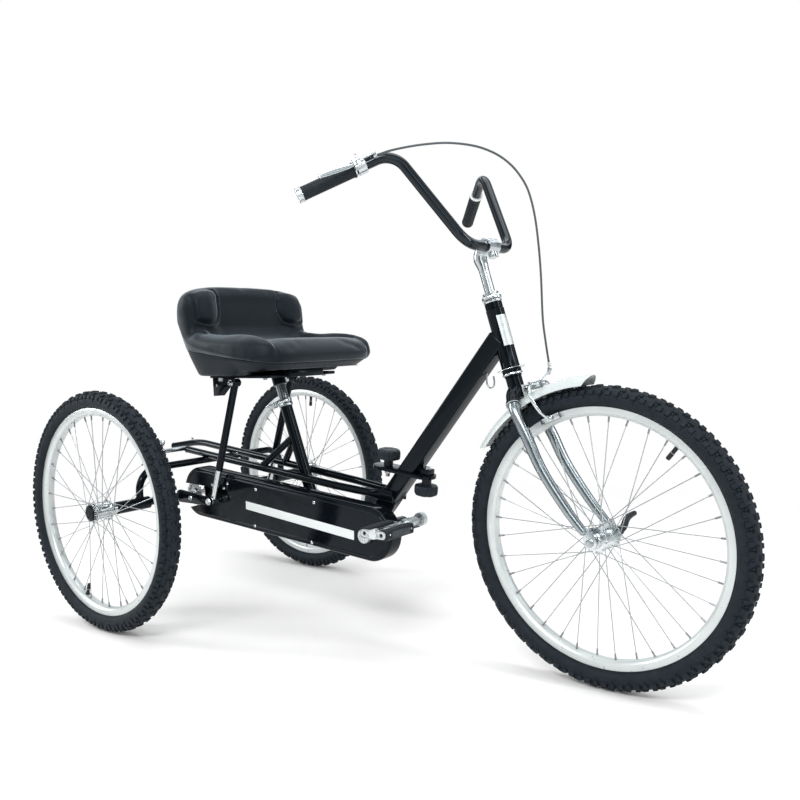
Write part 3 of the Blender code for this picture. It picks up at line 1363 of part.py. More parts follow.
def front_axle(carrier):
    outer = DROPOUT_Y + DROPOUT_THICKNESS / 2
    axle = rod(*across(FRONT_AXLE, -(outer + 0.004), outer + 0.006), FRONT_AXLE_RADIUS)
    nut = rod(*across(FRONT_AXLE, -(outer + GAP), -(outer + 0.007)), 0.0095)
    washer = rod(*across(FRONT_AXLE, outer + GAP, outer + 0.006), 0.0095)
    unite(axle, nut, washer)
    node(axle, "front_axle", STEEL, carrier)
    hinge_y = outer + 0.006 + GAP + 0.0095
    place = Vector((FRONT_AXLE.x, hinge_y, FRONT_AXLE.z))
    release = pivot("front_release_axis", place, carrier)
    cam = rod(place - HEAD_FORWARD * 0.009, place + HEAD_FORWARD * 0.009, 0.0095)
    lever = rod(place, place + SIDEWAYS * RELEASE_LEVER_LENGTH, RELEASE_LEVER_RADIUS)
    unite(cam, lever)
    node(cam, "front_release_lever", KNOB_PLASTIC, release)


def front_end():
    steering = pivot("steering_axis", STEERING_FOOT)
    fork(steering)
    crown_sleeve(steering)
    stem(steering)
    handlebar(steering)
    brake_lever(steering)
    brake_cable(steering)
    front_brake(steering)
    mudguard(steering)
    front_axle(steering)
    spin = pivot("front_wheel_axis", FRONT_AXLE, steering)
    wheel("front", FRONT_AXLE, 1, front_hub_profile(), True, (FRONT_FLANGE, -FRONT_FLANGE), spin)


# Seat

def seat_collar():
    low = seat_axis(SEAT_TUBE_TOP_Z) - SEAT_UP * (COLLAR_HEIGHT - 0.010)
    high = low + SEAT_UP * COLLAR_HEIGHT
    outer = SEAT_TUBE_RADIUS + COLLAR_WALL
    collar = rod(low, high, outer)
    middle = (low + high) / 2
    lug_y = -(outer + 0.004)
    skewer = Vector((middle.x, lug_y, middle.z))
    forward = SIDEWAYS.cross(SEAT_UP)
    lug = box(middle + SIDEWAYS * (-outer + 0.0005), (0.016, 0.016, COLLAR_HEIGHT - 0.004), forward, SEAT_UP)
    nut = rod(skewer, skewer + forward * 0.034, 0.0045, sides=12)
    unite(collar, lug, nut)
    joint = seat_axis(SEAT_TUBE_TOP_Z)
    tube_hole = rod(low - SEAT_UP * 0.01, joint + SEAT_UP * GAP, bore(SEAT_TUBE_RADIUS))
    post_hole = rod(low, high + SEAT_UP * 0.01, bore(SEAT_POST_RADIUS))
    cut(collar, tube_hole, post_hole)
    node(collar, "seat_clamp_collar", CHROME)
    hinge = skewer - forward * (0.008 + GAP + 0.006)
    carrier = pivot("seat_release_axis", hinge)
    cam = rod(hinge - SEAT_UP * 0.007, hinge + SEAT_UP * 0.007, 0.006, sides=12)
    way = (-forward * 0.97 - SIDEWAYS * 0.18 + SEAT_UP * 0.16).normalized()
    blade_up = way.cross(SEAT_UP).cross(way)
    size = (SEAT_RELEASE_LENGTH, 0.005, 0.009)
    lever = bevel(box(hinge + way * SEAT_RELEASE_LENGTH / 2, size, way, blade_up), 0.0015)
    unite(cam, lever)
    node(cam, "seat_release_lever", CHROME, carrier)


def seat_point(x, y, z):
    """A point of the seat, x forward of its middle."""
    return from_rear(SEAT_X + x, y, z)


def drop_bracket(side, top):
    """The plate that hangs from the seat frame outside a strut, with the head of the strut's bolt."""
    pivot_x = SEAT_X - STRUT_TOP_BACK
    outline = [
        (pivot_x - 0.070, top + 0.001),
        (pivot_x - 0.069, STRUT_TOP_Z - 0.034),
        (pivot_x - 0.030, STRUT_TOP_Z - 0.032),
        (pivot_x - 0.006, STRUT_TOP_Z - 0.011),
        (pivot_x + 0.008, STRUT_TOP_Z - 0.010),
        (pivot_x + 0.014, top + 0.001),
    ]
    inner = STRUT_Y[side] + STRUT_PLATE_GAP
    plate = side_slab([outline], side * inner, side * (inner + 0.005))
    place = from_rear(pivot_x, 0, STRUT_TOP_Z)
    head = rod(*across(place, side * (inner + 0.004), side * (inner + 0.012)), 0.0075, 0.0060)
    return unite(plate, head)


def seat_frame(carrier):
    low = SEAT_BASE_Z - GAP - SEAT_PLATE_THICKNESS
    middle_z = low + SEAT_PLATE_THICKNESS / 2
    cross = box(seat_point(0.025, 0, middle_z), (0.120, 2 * SEAT_PLATE_Y, SEAT_PLATE_THICKNESS - 0.001))
    for side in (-1, 1):
        plate = box(seat_point(-0.014, side * SEAT_PLATE_Y, middle_z), (0.220, 0.030, SEAT_PLATE_THICKNESS))
        unite(cross, plate, drop_bracket(side, low))
    block_z = low + SEAT_PLATE_THICKNESS - SEAT_BLOCK_DEPTH / 2 - 0.0005
    block = box(seat_point(0.090, 0, block_z), (0.036, 0.086, SEAT_BLOCK_DEPTH))
    socket_top = seat_axis(low + 0.001)
    socket = rod(socket_top - SEAT_UP * 0.026, socket_top - SEAT_UP * 0.002, SEAT_POST_RADIUS + 0.005)
    unite(cross, block, socket)
    post_top = seat_axis(low + 0.001)
    cut(cross, rod(post_top - SEAT_UP * 0.06, post_top, bore(SEAT_POST_RADIUS)))
    node(cross, "seat_frame", BLACK_PAINT, carrier)
    post = rod(post_top - SEAT_UP * SEAT_POST_LENGTH, post_top - SEAT_UP * GAP, SEAT_POST_RADIUS)
    node(post, "seat_post", CHROME, carrier)


def seam_z(x):
    """Height of the flat seam between shell and cushion."""
    share = (x + SEAT_LENGTH / 2) / SEAT_LENGTH
    return SHELL_REAR_Z + (SHELL_FRONT_Z - SHELL_REAR_Z) * share


def seat_shell(carrier):
    """A dish under the cushion, higher at the back, drawn in towards its floor."""
    half_length = SEAT_LENGTH / 2
    half_width = SEAT_WIDTH / 2
    bm = bmesh.new()
    bmesh.ops.create_cube(bm, size=2)
    for corner in bm.verts:
        upper = corner.co.z > 0
        shrink = 0.965 if upper else 0.86
        x = corner.co.x * half_length * shrink
        y = corner.co.y * half_width * shrink
        z = seam_z(x) - GAP if upper else SEAT_BASE_Z
        corner.co = seat_point(SEAT_CENTRE + x, y, z)
    vertical = [edge for edge in bm.edges if abs(edge.verts[0].co.z - edge.verts[1].co.z) > 0.02]
    vertical = [edge for edge in vertical if abs(edge.verts[0].co.x - edge.verts[1].co.x) < 0.03]
    bmesh.ops.bevel(bm, geom=vertical, offset=0.055, segments=4, profile=0.5, affect="EDGES")
    floor = [edge for edge in bm.edges if max(v.co.z for v in edge.verts) < SEAT_BASE_Z + 1e-6]
    bmesh.ops.bevel(bm, geom=floor, offset=0.008, segments=1, affect="EDGES")
    bmesh.ops.recalc_face_normals(bm, faces=bm.faces)
    node(link(mesh_of(bm)), "seat_shell", SHELL_PLASTIC, carrier)


def cushion_place(column, row, layer):
    """Where a corner of the cushion's cage goes: columns run forward, rows left, layers up."""
    half_length = SEAT_LENGTH / 2
    half_width = SEAT_WIDTH / 2
    outer = abs(row) == 2
    forward = (-1.04, -0.50, 0.16, 1.06)[round(column)] * half_length
    y = row / 2 * half_width * 1.04
    if layer <= 1:
        z = 0
        if layer > 0.5:
            crown = 0.012 if not outer and 0 < column < 3 else 0.002
            z = CUSHION_TOP_Z + crown
            if column == 3:
                z = CUSHION_TOP_Z - (0.004 if row else 0.016)
                forward -= 0.0 if row else 0.014
            if column == 2 and row == 0:
                z = CUSHION_TOP_Z - 0.010
        if outer and column in (0, 3):
            y *= 0.93
            forward *= 0.95
        return forward, y, z or seam_z(forward)
    rise = (layer - 1) / 2
    lean = -0.004 * rise
    z = CUSHION_TOP_Z + (BACKREST_TOP_Z + 0.004 - CUSHION_TOP_Z) * rise
    forward += lean + (0.012 if column == 1 else 0.0) * -rise
    y = row / 2 * BACKREST_HALF_WIDTH * (1.06 - 0.02 * rise)
    if outer:
        z -= 0.030 * rise
        forward += 0.012 * rise if column == 0 else 0.020 * rise
    return forward, y, z


def seat_cushion(carrier):
    """A crowned pad that turns up into a low backrest, dished at the front, soft all round."""
    bm = bmesh.new()
    cage = Matrix.Translation((1.5, 0, 0.5)) @ Matrix.Diagonal((3, 4, 1, 1))
    bmesh.ops.create_cube(bm, size=1, matrix=cage)
    cuts = [(Vector((x, 0, 0)), Vector((1, 0, 0))) for x in (1, 2)]
    cuts += [(Vector((0, y, 0)), Vector((0, 1, 0))) for y in (-1, 0, 1)]
    for place, normal in cuts:
        everything = [*bm.verts, *bm.edges, *bm.faces]
        bmesh.ops.bisect_plane(bm, geom=everything, plane_co=place, plane_no=normal)
    for level in (1, 2):
        back = []
        for face in bm.faces:
            middle = face.calc_center_median()
            if abs(middle.z - level) < 1e-4 and middle.x < 1:
                back.append(face)
        grown = bmesh.ops.extrude_face_region(bm, geom=back)["geom"]
        risen = [item for item in grown if isinstance(item, bmesh.types.BMVert)]
        bmesh.ops.translate(bm, verts=risen, vec=(0, 0, 1))
        bmesh.ops.delete(bm, geom=[face for face in back if face.is_valid], context="FACES")
    crease = bm.edges.layers.float.new("crease_edge")
    for edge in bm.edges:
        at_floor = all(abs(vert.co.z) < 1e-4 for vert in edge.verts)
        if at_floor and any(abs(face.normal.z) < 0.5 for face in edge.link_faces):
            edge[crease] = 0.55
    for corner in bm.verts:
        forward, y, z = cushion_place(*corner.co)
        corner.co = seat_point(SEAT_CENTRE + forward, y, z)
    bmesh.ops.recalc_face_normals(bm, faces=bm.faces)
    obj = link(mesh_of(bm))
    soft = obj.modifiers.new("soft", "SUBSURF")
    soft.levels = 2
    soft.render_levels = 2
    node(obj, "seat_cushion", VINYL, carrier)


STRUT_TOP_X = SEAT_X - STRUT_TOP_BACK


def struts(seat_carrier):
    """On each side a tube hung from the seat, and a bar that slides in it down to the axle strap."""
    top = from_rear(STRUT_TOP_X, 0, STRUT_TOP_Z)
    foot = from_rear(STRUT_FOOT_X, 0, STRUT_FOOT_Z)
    way = (foot - top).normalized()
    tilt = pivot("strut_tilt_axis", top, seat_carrier)
    slide = pivot("strut_slide_axis", foot, tilt)
    for name, side in (("right", -1), ("left", 1)):
        beside = side * STRUT_Y[side] * SIDEWAYS
        beside_plate = STRUT_Y[side] + STRUT_PLATE_GAP - GAP
        outer = rod(top + beside, top + beside + way * STRUT_OUTER_LENGTH, STRUT_OUTER_RADIUS)
        boss = rod(*across(top, side * (STRUT_Y[side] - 0.0115), side * beside_plate), 0.0105)
        unite(outer, boss)
        bore_start = top + beside + way * STRUT_BORE_TOP
        bore_end = top + beside + way * (STRUT_OUTER_LENGTH + 0.01)
        cut(outer, rod(bore_start, bore_end, bore(STRUT_INNER_RADIUS)))
        node(outer, "strut_outer_" + name, BLACK_PAINT, tilt)
        inner_top = top + beside + way * (STRUT_OUTER_LENGTH - STRUT_OVERLAP)
        inner = rod(inner_top, foot + beside, STRUT_INNER_RADIUS)
        eye = rod(*across(foot, side * (STRUT_Y[side] - 0.0080), side * beside_plate), 0.0100)
        unite(inner, eye)
        node(inner, "strut_inner_" + name, CHROME, slide)


def seat():
    carrier = pivot("seat_slide_axis", seat_axis(SEAT_TUBE_TOP_Z))
    seat_collar()
    seat_frame(carrier)
    seat_shell(carrier)
    seat_cushion(carrier)
    struts(carrier)


main_frame()
rail(-1, "right_rail")
rail(1, "left_rail")
seat_tube()
rear_frame()
accessory_bar()
knob_plate()
star_knob("rear_knob", REAR_KNOB_OFFSET, 1)
star_knob("front_knob", FRONT_KNOB_OFFSET, -1)
chain_case()
chain()
drive()
rear_wheels()
headset()
front_end()
seat()
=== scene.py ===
"""The adaptive tricycle dressed for its pictures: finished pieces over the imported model, light and camera.

Metres, in the model's frame: X forward, Y to the rider's left, Z up. Places on the frame are measured
forward from the rear axle, and places on the steered parts in the steering frame: forward of the
steering axis, to the left, and up along it from the foot of the axle's offset.
"""

import json
import math

import bmesh
import bpy
from mathutils import Matrix, Vector, noise

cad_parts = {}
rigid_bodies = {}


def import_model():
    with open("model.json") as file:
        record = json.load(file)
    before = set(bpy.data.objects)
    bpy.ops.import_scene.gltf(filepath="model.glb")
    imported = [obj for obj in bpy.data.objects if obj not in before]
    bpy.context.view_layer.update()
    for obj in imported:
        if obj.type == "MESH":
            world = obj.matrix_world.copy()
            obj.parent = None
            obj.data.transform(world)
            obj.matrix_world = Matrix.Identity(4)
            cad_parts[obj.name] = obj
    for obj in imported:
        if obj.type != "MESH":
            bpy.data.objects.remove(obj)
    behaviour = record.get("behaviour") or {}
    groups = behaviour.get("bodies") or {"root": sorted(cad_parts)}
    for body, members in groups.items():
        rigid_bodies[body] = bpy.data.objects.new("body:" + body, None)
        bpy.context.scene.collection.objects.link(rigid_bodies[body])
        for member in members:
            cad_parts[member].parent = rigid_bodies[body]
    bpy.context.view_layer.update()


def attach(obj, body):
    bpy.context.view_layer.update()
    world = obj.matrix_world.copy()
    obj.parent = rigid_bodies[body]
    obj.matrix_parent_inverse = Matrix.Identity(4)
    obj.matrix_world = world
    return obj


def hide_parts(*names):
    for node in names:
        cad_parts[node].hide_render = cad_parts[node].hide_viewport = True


for leftover in list(bpy.data.objects):
    bpy.data.objects.remove(leftover, do_unlink=True)
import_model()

TAU = math.tau
SIDEWAYS = Vector((0, 1, 0))
UPWARD = Vector((0, 0, 1))
FORWARD = Vector((1, 0, 0))
WHEELBASE = 1.174
REAR_X = -WHEELBASE / 2
AXLE_Z = 0.302345
GAP = 0.0003
UPRIGHT = Matrix.Rotation(math.pi / 2, 4, "X")

HEAD_ANGLE = math.radians(73.75)
FORK_OFFSET = 0.097
HEAD_UP = Vector((-math.cos(HEAD_ANGLE), 0, math.sin(HEAD_ANGLE)))
HEAD_FORWARD = Vector((math.sin(HEAD_ANGLE), 0, math.cos(HEAD_ANGLE)))
FRONT_AXLE = Vector((WHEELBASE / 2, 0, AXLE_Z))
REAR_AXLE = Vector((REAR_X, 0, AXLE_Z))
STEERING_FOOT = FRONT_AXLE - FORK_OFFSET * HEAD_FORWARD


def from_rear(x, y, z):
    """A point of the frame, x forward of the rear axle."""
    return Vector((REAR_X + x, y, z))


def steered(forward, y, up):
    """A point of the steered parts, in the steering frame."""
    return STEERING_FOOT + forward * HEAD_FORWARD + y * SIDEWAYS + up * HEAD_UP


def across(centre, y_from, y_to):
    """The two points of a sideways bar through centre."""
    return beside(centre, y_from), beside(centre, y_to)


def ease(value):
    """A smooth step from 0 to 1."""
    value = max(0, min(1, value))
    return value * value * (3 - 2 * value)


# Finishes

def feed(tree, made, inputs):
    """Sets a node's inputs to values, or joins them to the outputs of other nodes."""
    for socket, value in inputs.items():
        if isinstance(value, bpy.types.NodeSocket):
            tree.links.new(value, made.inputs[socket])
        else:
            made.inputs[socket].default_value = value


def add_node(tree, kind, inputs=None, **settings):
    made = tree.nodes.new("ShaderNode" + kind)
    for key, value in settings.items():
        setattr(made, key, value)
    feed(tree, made, inputs or {})
    return made


# A cool blue cast painted into the reflections and the sheen of the non-metal finishes: painted light
# colour.
COOL_REFLECTION_TINT = (0.8, 0.92, 1.0, 1)
COOL_SHEEN_TINT = (0.78, 0.92, 1.0, 1)
MIST_PER_PATCH = 4.3


def surface(name, color, roughness, metallic=0.0, vary=0.12, patch=0.05, haze=0.04, grain=0.0,
            grain_size=0.001, cells=False, specular=0.5, sheen=0.0):
    """A finish whose colour and gloss drift softly, with a fine grain in its relief."""
    made = bpy.data.materials.new(name)
    made.use_nodes = True
    tree = made.node_tree
    shader = tree.nodes["Principled BSDF"]
    place = add_node(tree, "TexCoord").outputs["Object"]
    cloud = add_node(tree, "TexNoise", {"Scale": 1 / patch, "Detail": 5, "Vector": place})
    tint = add_node(tree, "ValToRGB", {"Fac": cloud.outputs["Fac"]})
    for element, position, change in zip(tint.color_ramp.elements, (0.3, 0.7), (1 - vary, 1 + vary)):
        element.position = position
        element.color = (*[min(1, part * change) for part in color], 1)
    mist = add_node(tree, "TexNoise", {"Scale": MIST_PER_PATCH / patch, "Detail": 3, "Vector": place})
    gloss = add_node(tree, "MapRange", {
        "Value": mist.outputs["Fac"], "From Min": 0.3, "From Max": 0.7,
        "To Min": max(0.02, roughness - haze), "To Max": roughness + haze,
    })
    feed(tree, shader, {
        "Base Color": tint.outputs["Color"], "Metallic": metallic, "Roughness": gloss.outputs["Result"],
        "Specular IOR Level": specular, "Sheen Weight": sheen, "Sheen Roughness": 0.35,
        "Sheen Tint": COOL_SHEEN_TINT,
    })
    if metallic < 0.3:
        feed(tree, shader, {"Specular Tint": COOL_REFLECTION_TINT})
    if grain:
        pattern = "TexVoronoi" if cells else "TexNoise"
        relief = add_node(tree, pattern, {"Scale": 1 / grain_size, "Vector": place})
        height = relief.outputs["Distance" if cells else "Fac"]
        bump = add_node(tree, "Bump", {"Distance": grain, "Strength": 0.8, "Height": height})
        feed(tree, shader, {"Normal": bump.outputs["Normal"]})
    return made


PAINT = surface("black_gloss_paint", (0.003, 0.0044, 0.0064), 0.09, haze=0.03, specular=0.16)
# The black paint made a little lighter and more reflective for the handlebar alone: painted highlight.
LIT_BAR_PAINT = surface("bar_paint_painted_highlight", (0.0034, 0.005, 0.0074), 0.1, haze=0.03, specular=0.42)
CHROME = surface("bright_chrome", (0.62, 0.66, 0.67), 0.21, 1.0, vary=0.05, haze=0.02)
# Chrome painted darker for the fork legs and the seat post: painted shade standing for the darker
# surroundings they reflect.
DARKENED_CHROME = surface("chrome_painted_darker", (0.32, 0.36, 0.375), 0.22, 1.0, vary=0.1, patch=0.03, haze=0.04)
ALLOY = surface("pale_alloy", (0.6, 0.64, 0.635), 0.32, 0.4, vary=0.05, haze=0.05, grain=0.00002,
                grain_size=0.0009)
STEEL = surface("zinc_steel", (0.42, 0.44, 0.45), 0.28, 1.0, vary=0.15, patch=0.01, haze=0.08)
FORGED = surface("forged_alloy", (0.52, 0.56, 0.56), 0.3, 0.7, vary=0.08, patch=0.01, haze=0.06)
SPOKE = surface("drawn_steel", (0.36, 0.38, 0.39), 0.4, 0.7, vary=0.06, haze=0.04)
NIPPLE = surface("dull_brass", (0.26, 0.27, 0.28), 0.35, 0.7, vary=0.1)
TYRE = surface("tyre_black", (0.007, 0.01, 0.014), 0.62, vary=0.3, patch=0.02, haze=0.08,
               grain=0.00025, grain_size=0.0022, specular=0.26)
GRIP = surface("grip_black", (0.008, 0.01, 0.013), 0.6, vary=0.15, haze=0.06, grain=0.00008,
               grain_size=0.0012, specular=0.3)
BLOCK = surface("pedal_black", (0.008, 0.009, 0.011), 0.5, vary=0.2, haze=0.06, grain=0.00008,
                grain_size=0.0012, specular=0.35)
SHOE = surface("shoe_grey", (0.12, 0.13, 0.13), 0.65, vary=0.12, haze=0.06, grain=0.0001,
               grain_size=0.001)
KNOB = surface("knob_grey", (0.011, 0.0145, 0.019), 0.42, vary=0.12, haze=0.05, grain=0.00006,
               grain_size=0.0008, specular=0.28)
SHELL = surface("shell_slate", (0.0085, 0.0122, 0.017), 0.46, vary=0.1, haze=0.05, grain=0.0001,
                grain_size=0.0011, cells=True, specular=0.2)
VINYL = surface("seat_vinyl", (0.0036, 0.0058, 0.0086), 0.45, vary=0.12, patch=0.09, haze=0.03,
                grain=0.0001, grain_size=0.0014, cells=True, specular=0.18, sheen=0.6)
# Near-black for the seam bead round the seat, and painted shade where slots, grooves and hollows are drawn
# as thin dark blocks.
SEAM_AND_SHADE = surface("dark_seam_and_painted_shade", (0.003, 0.003, 0.0035), 0.7, specular=0.15)
GUARD = surface("guard_pale", (0.56, 0.605, 0.6), 0.28, vary=0.03, haze=0.04)
SHEATH = surface("sheath_grey", (0.06, 0.068, 0.073), 0.38, vary=0.1, haze=0.05)
LENS = surface("smoky_reflector", (0.045, 0.052, 0.06), 0.22, vary=0.15, patch=0.004, haze=0.05,
               grain=0.0003, grain_size=0.0022, cells=True, specular=0.3)
STRIPE = surface("stripe_white", (0.72, 0.76, 0.75), 0.32, vary=0.03, haze=0.04)
LABEL = surface("plate_silver", (0.58, 0.63, 0.625), 0.3, 0.35, vary=0.08, patch=0.012, haze=0.05)


# Shapes

def stand(name, data, matrix=None):
    """Puts new data in the scene as an object."""
    obj = bpy.data.objects.new(name, data)
    bpy.context.scene.collection.objects.link(obj)
    if matrix is not None:
        obj.matrix_world = matrix
    return obj


def modified(obj):
    """The object's mesh as its modifiers make it."""
    bpy.context.view_layer.update()
    return bpy.data.meshes.new_from_object(obj.evaluated_get(bpy.context.evaluated_depsgraph_get()))


def modify(obj, kind, **settings):
    modifier = obj.modifiers.new("shape", kind)
    for key, value in settings.items():
        setattr(modifier, key, value)
    return obj


def apply_all(obj):
    """Turns the object's mesh into what its modifiers make of it."""
    mesh = modified(obj)
    obj.modifiers.clear()
    obj.data = mesh


def built(bm, paint, matrix=None):
    bmesh.ops.recalc_face_normals(bm, faces=bm.faces)
    mesh = bpy.data.meshes.new("shape")
    bm.to_mesh(mesh)
    bm.free()
    mesh.materials.append(paint)
    return stand("shape", mesh, matrix)


def beside(centre, y):
    """The point level with centre at this distance to the left."""
    return Vector((centre.x, y, centre.z))


def mirrored(half):
    """A turned profile made whole from one half of it."""
    return half + [(radius, -height) for radius, height in reversed(half) if height]


def squared(value, power):
    """A sine or cosine drawn out towards a rounded square's, for a power under 1."""
    return math.copysign(abs(value) ** power, value)


def oval(centre, first, second, sides, power=1.0):
    """A ring of points with the half axes first and second, squared off where power is under 1."""
    turns = [TAU * step / sides for step in range(sides)]
    return [centre + first * squared(math.cos(turn), power) + second * squared(math.sin(turn), power)
            for turn in turns]


def turned_to(forward, up):
    x_axis = forward.normalized()
    y_axis = up.cross(x_axis).normalized()
    return Matrix((x_axis, y_axis, x_axis.cross(y_axis))).transposed().to_4x4()


def along(centre, axis):
    """The matrix that stands a turned shape's Z axis along axis."""
    return Matrix.Translation(centre) @ axis.to_track_quat("Z", "Y").to_matrix().to_4x4()


def box(paint, centre, size, forward=FORWARD, up=UPWARD, soft=0.0008, segments=2):
    """A block with softened edges: size runs along forward, then across, then along up."""
    bm = bmesh.new()
    bmesh.ops.create_cube(bm, size=1)
    bmesh.ops.scale(bm, vec=size, verts=bm.verts)
    bmesh.ops.bevel(bm, geom=bm.edges[:], offset=soft, segments=segments, profile=0.5, affect="EDGES")
    return built(bm, paint, Matrix.Translation(centre) @ turned_to(forward, up))


def lathe(paint, profile, matrix, sides=40, closed=False):
    """A turned shape: (radius, height) points round the matrix's Z axis."""
    bm = bmesh.new()
    rings = []
    for step in range(sides):
        turn = TAU * step / sides
        rings.append([bm.verts.new((r * math.cos(turn), r * math.sin(turn), h)) for r, h in profile])
    count = len(profile)
    pairs = [(index, index + 1) for index in range(count - 1)]
    if closed:
        pairs.append((count - 1, 0))
    for ring, after in zip(rings, rings[1:] + rings[:1]):
        for low, high in pairs:
            bm.faces.new((ring[low], after[low], after[high], ring[high]))
    bmesh.ops.remove_doubles(bm, verts=bm.verts, dist=1e-6)
    return built(bm, paint, matrix)


def rod(paint, start, end, radius, end_radius=None, sides=28, soft=0.0005):
    """A round bar or cone with softened ends."""
    run = end - start
    last = radius if end_radius is None else end_radius
    length = run.length
    profile = [
        (0, 0),
        (max(radius - soft, 0), 0),
        (radius, soft),
        (last, length - soft),
        (max(last - soft, 0), length),
        (0, length),
    ]
    return lathe(paint, profile, along(start, run), sides)


def ball(paint, centre, radius):
    profile = [(radius * math.sin(math.pi * k / 10),
                -radius * math.cos(math.pi * k / 10)) for k in range(11)]
    return lathe(paint, profile, Matrix.Translation(centre), 20)


def sweep(paint, points, radius, end_radius=None, sides=20, wide=1.0, side=None, radii=None, closed=False):
    """A bar along points. wide stretches its section along the direction called side."""
    bm = bmesh.new()
    count = len(points)
    normal = side
    rings = []
    for index, place in enumerate(points):
        before = points[max(index - 1, 0)] if not closed else points[index - 1]
        after = points[min(index + 1, count - 1)] if not closed else points[(index + 1) % count]
        tangent = (after - before).normalized()
        if normal is None:
            normal = tangent.orthogonal()
        normal = (normal - tangent * normal.dot(tangent)).normalized()
        other = tangent.cross(normal)
        share = index / (count - 1)
        size = radius if end_radius is None else radius + (end_radius - radius) * share
        size = radii[index] if radii else size
        ring = []
        for step in range(sides):
            turn = TAU * step / sides
            way = wide * math.cos(turn) * normal + math.sin(turn) * other
            ring.append(bm.verts.new(place + size * way))
        rings.append(ring)
    following = rings[1:] + rings[:1] if closed else rings[1:]
    for ring, after in zip(rings, following):
        for k in range(sides):
            bm.faces.new((ring[k], ring[k - 1], after[k - 1], after[k]))
    if not closed:
        bm.faces.new(rings[0])
        bm.faces.new(rings[-1])
    return built(bm, paint)


def slab(paint, outlines, thickness, matrix, soft=0.0005):
    """A flat piece from closed outlines, later ones being holes, centred on the matrix's plane."""
    curve = bpy.data.curves.new("slab", "CURVE")
    curve.dimensions = "2D"
    curve.fill_mode = "BOTH"
    curve.extrude = thickness / 2
    for outline in outlines:
        spline = curve.splines.new("POLY")
        spline.points.add(len(outline) - 1)
        spline.use_cyclic_u = True
        for knot, (first, second) in zip(spline.points, outline):
            knot.co = (first, second, 0, 1)
    holder = stand("slab", curve)
    bm = bmesh.new()
    bm.from_mesh(modified(holder))
    bpy.data.objects.remove(holder, do_unlink=True)
    bmesh.ops.remove_doubles(bm, verts=bm.verts, dist=1e-5)
    bmesh.ops.dissolve_limit(bm, angle_limit=0.01, verts=bm.verts, edges=bm.edges)
    return soften(built(bm, paint, matrix), soft)


def side_slab(paint, outlines, y_from, y_to, soft=0.0005):
    """A flat piece lying in a plane of X and Z, its outlines measured from the rear axle."""
    centre = from_rear(0, (y_from + y_to) / 2, 0)
    return slab(paint, outlines, abs(y_to - y_from), Matrix.Translation(centre) @ UPRIGHT, soft)


def soften(obj, width):
    if width:
        modify(obj, "BEVEL", width=width, segments=2, limit_method="ANGLE", angle_limit=math.radians(35))
    return obj


def thickened(obj, thickness, offset=-1):
    return modify(obj, "SOLIDIFY", thickness=thickness, offset=offset)


def cut(target, tool):
    """Takes one shape out of another."""
    modify(target, "BOOLEAN", operation="DIFFERENCE", object=tool)
    apply_all(target)
    bpy.data.objects.remove(tool, do_unlink=True)


def smooth(mesh, angle=32):
    mesh.shade_smooth()
    mesh.set_sharp_from_angle(angle=math.radians(angle))


def joined(parts, angle=32):
    """One mesh of all the parts in their places, each keeping its own paint."""
    bpy.context.view_layer.update()
    graph = bpy.context.evaluated_depsgraph_get()
    bm = bmesh.new()
    paints = []
    for part in parts:
        mesh = bpy.data.meshes.new_from_object(part.evaluated_get(graph))
        mesh.transform(part.matrix_world)
        paint = part.data.materials[0]
        if paint not in paints:
            paints.append(paint)
        mesh.polygons.foreach_set("material_index", [paints.index(paint)] * len(mesh.polygons))
        smooth(mesh, angle)
        bm.from_mesh(mesh)
    for part in parts:
        bpy.data.objects.remove(part, do_unlink=True)
    whole = bpy.data.meshes.new("piece")
    bm.to_mesh(whole)
    bm.free()
    for paint in paints:
        whole.materials.append(paint)
    return whole


def dress(node, body, mesh, place=None):
    """Shows the mesh as a named piece that stands for the node and moves with the body."""
    name = "dressed_" + node
    mesh.name = name
    obj = stand(name, mesh, place)
    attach(obj, body)
    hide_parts(node)
    return obj


def piece(node, body, parts, angle=32):
    dress(node, body, joined(parts, angle))


def bent(corners, radius, steps=12):
    """The corners as a path whose inner corners are arcs of this radius."""
    path = [corners[0]]
    for before, corner, after in zip(corners, corners[1:], corners[2:]):
        arriving = (corner - before).normalized()
        leaving = (after - corner).normalized()
        turn = arriving.angle(leaving)
        reach = radius * math.tan(turn / 2)
        centre = corner + (leaving - arriving).normalized() * radius / math.cos(turn / 2)
        first = corner - arriving * reach - centre
        last = corner + leaving * reach - centre
        for step in range(steps + 1):
            share = step / steps
            weights = math.sin((1 - share) * turn), math.sin(share * turn)
            path.append(centre + (weights[0] * first + weights[1] * last) / math.sin(turn))
    return path + [corners[-1]]


def flowing(knots, steps):
    """A smooth path through every knot."""
    padded = [2 * knots[0] - knots[1], *knots, 2 * knots[-1] - knots[-2]]
    path = [knots[0]]
    for a, b, c, d in zip(padded, padded[1:], padded[2:], padded[3:]):
        for step in range(1, steps + 1):
            t = step / steps
            bend = (2 * a - 5 * b + 4 * c - d) * t * t + (3 * b - a - 3 * c + d) * t * t * t
            path.append(b + ((c - a) * t + bend) / 2)
    return path


def arc(centre_x, centre_z, radius, start, end, steps):
    places = [start + (end - start) * step / steps for step in range(steps + 1)]
    return [(centre_x + radius * math.cos(a), centre_z + radius * math.sin(a)) for a in places]


def circle(centre_x, centre_z, radius, steps):
    """The outline of a round hole."""
    return arc(centre_x, centre_z, radius, TAU, 0, steps)[:-1]


def belt(front, front_radius, rear, rear_radius, steps=24):
    """The outline round two circles and the two tangents between them."""
    run_x = front[0] - rear[0]
    run_z = front[1] - rear[1]
    tilt = math.atan2(run_z, run_x)
    lean = math.asin((front_radius - rear_radius) / math.hypot(run_x, run_z))
    quarter = math.pi / 2 + lean
    outline = arc(*front, front_radius, tilt - quarter, tilt + quarter, steps)
    return outline + arc(*rear, rear_radius, tilt + quarter, tilt + TAU - quarter, steps)


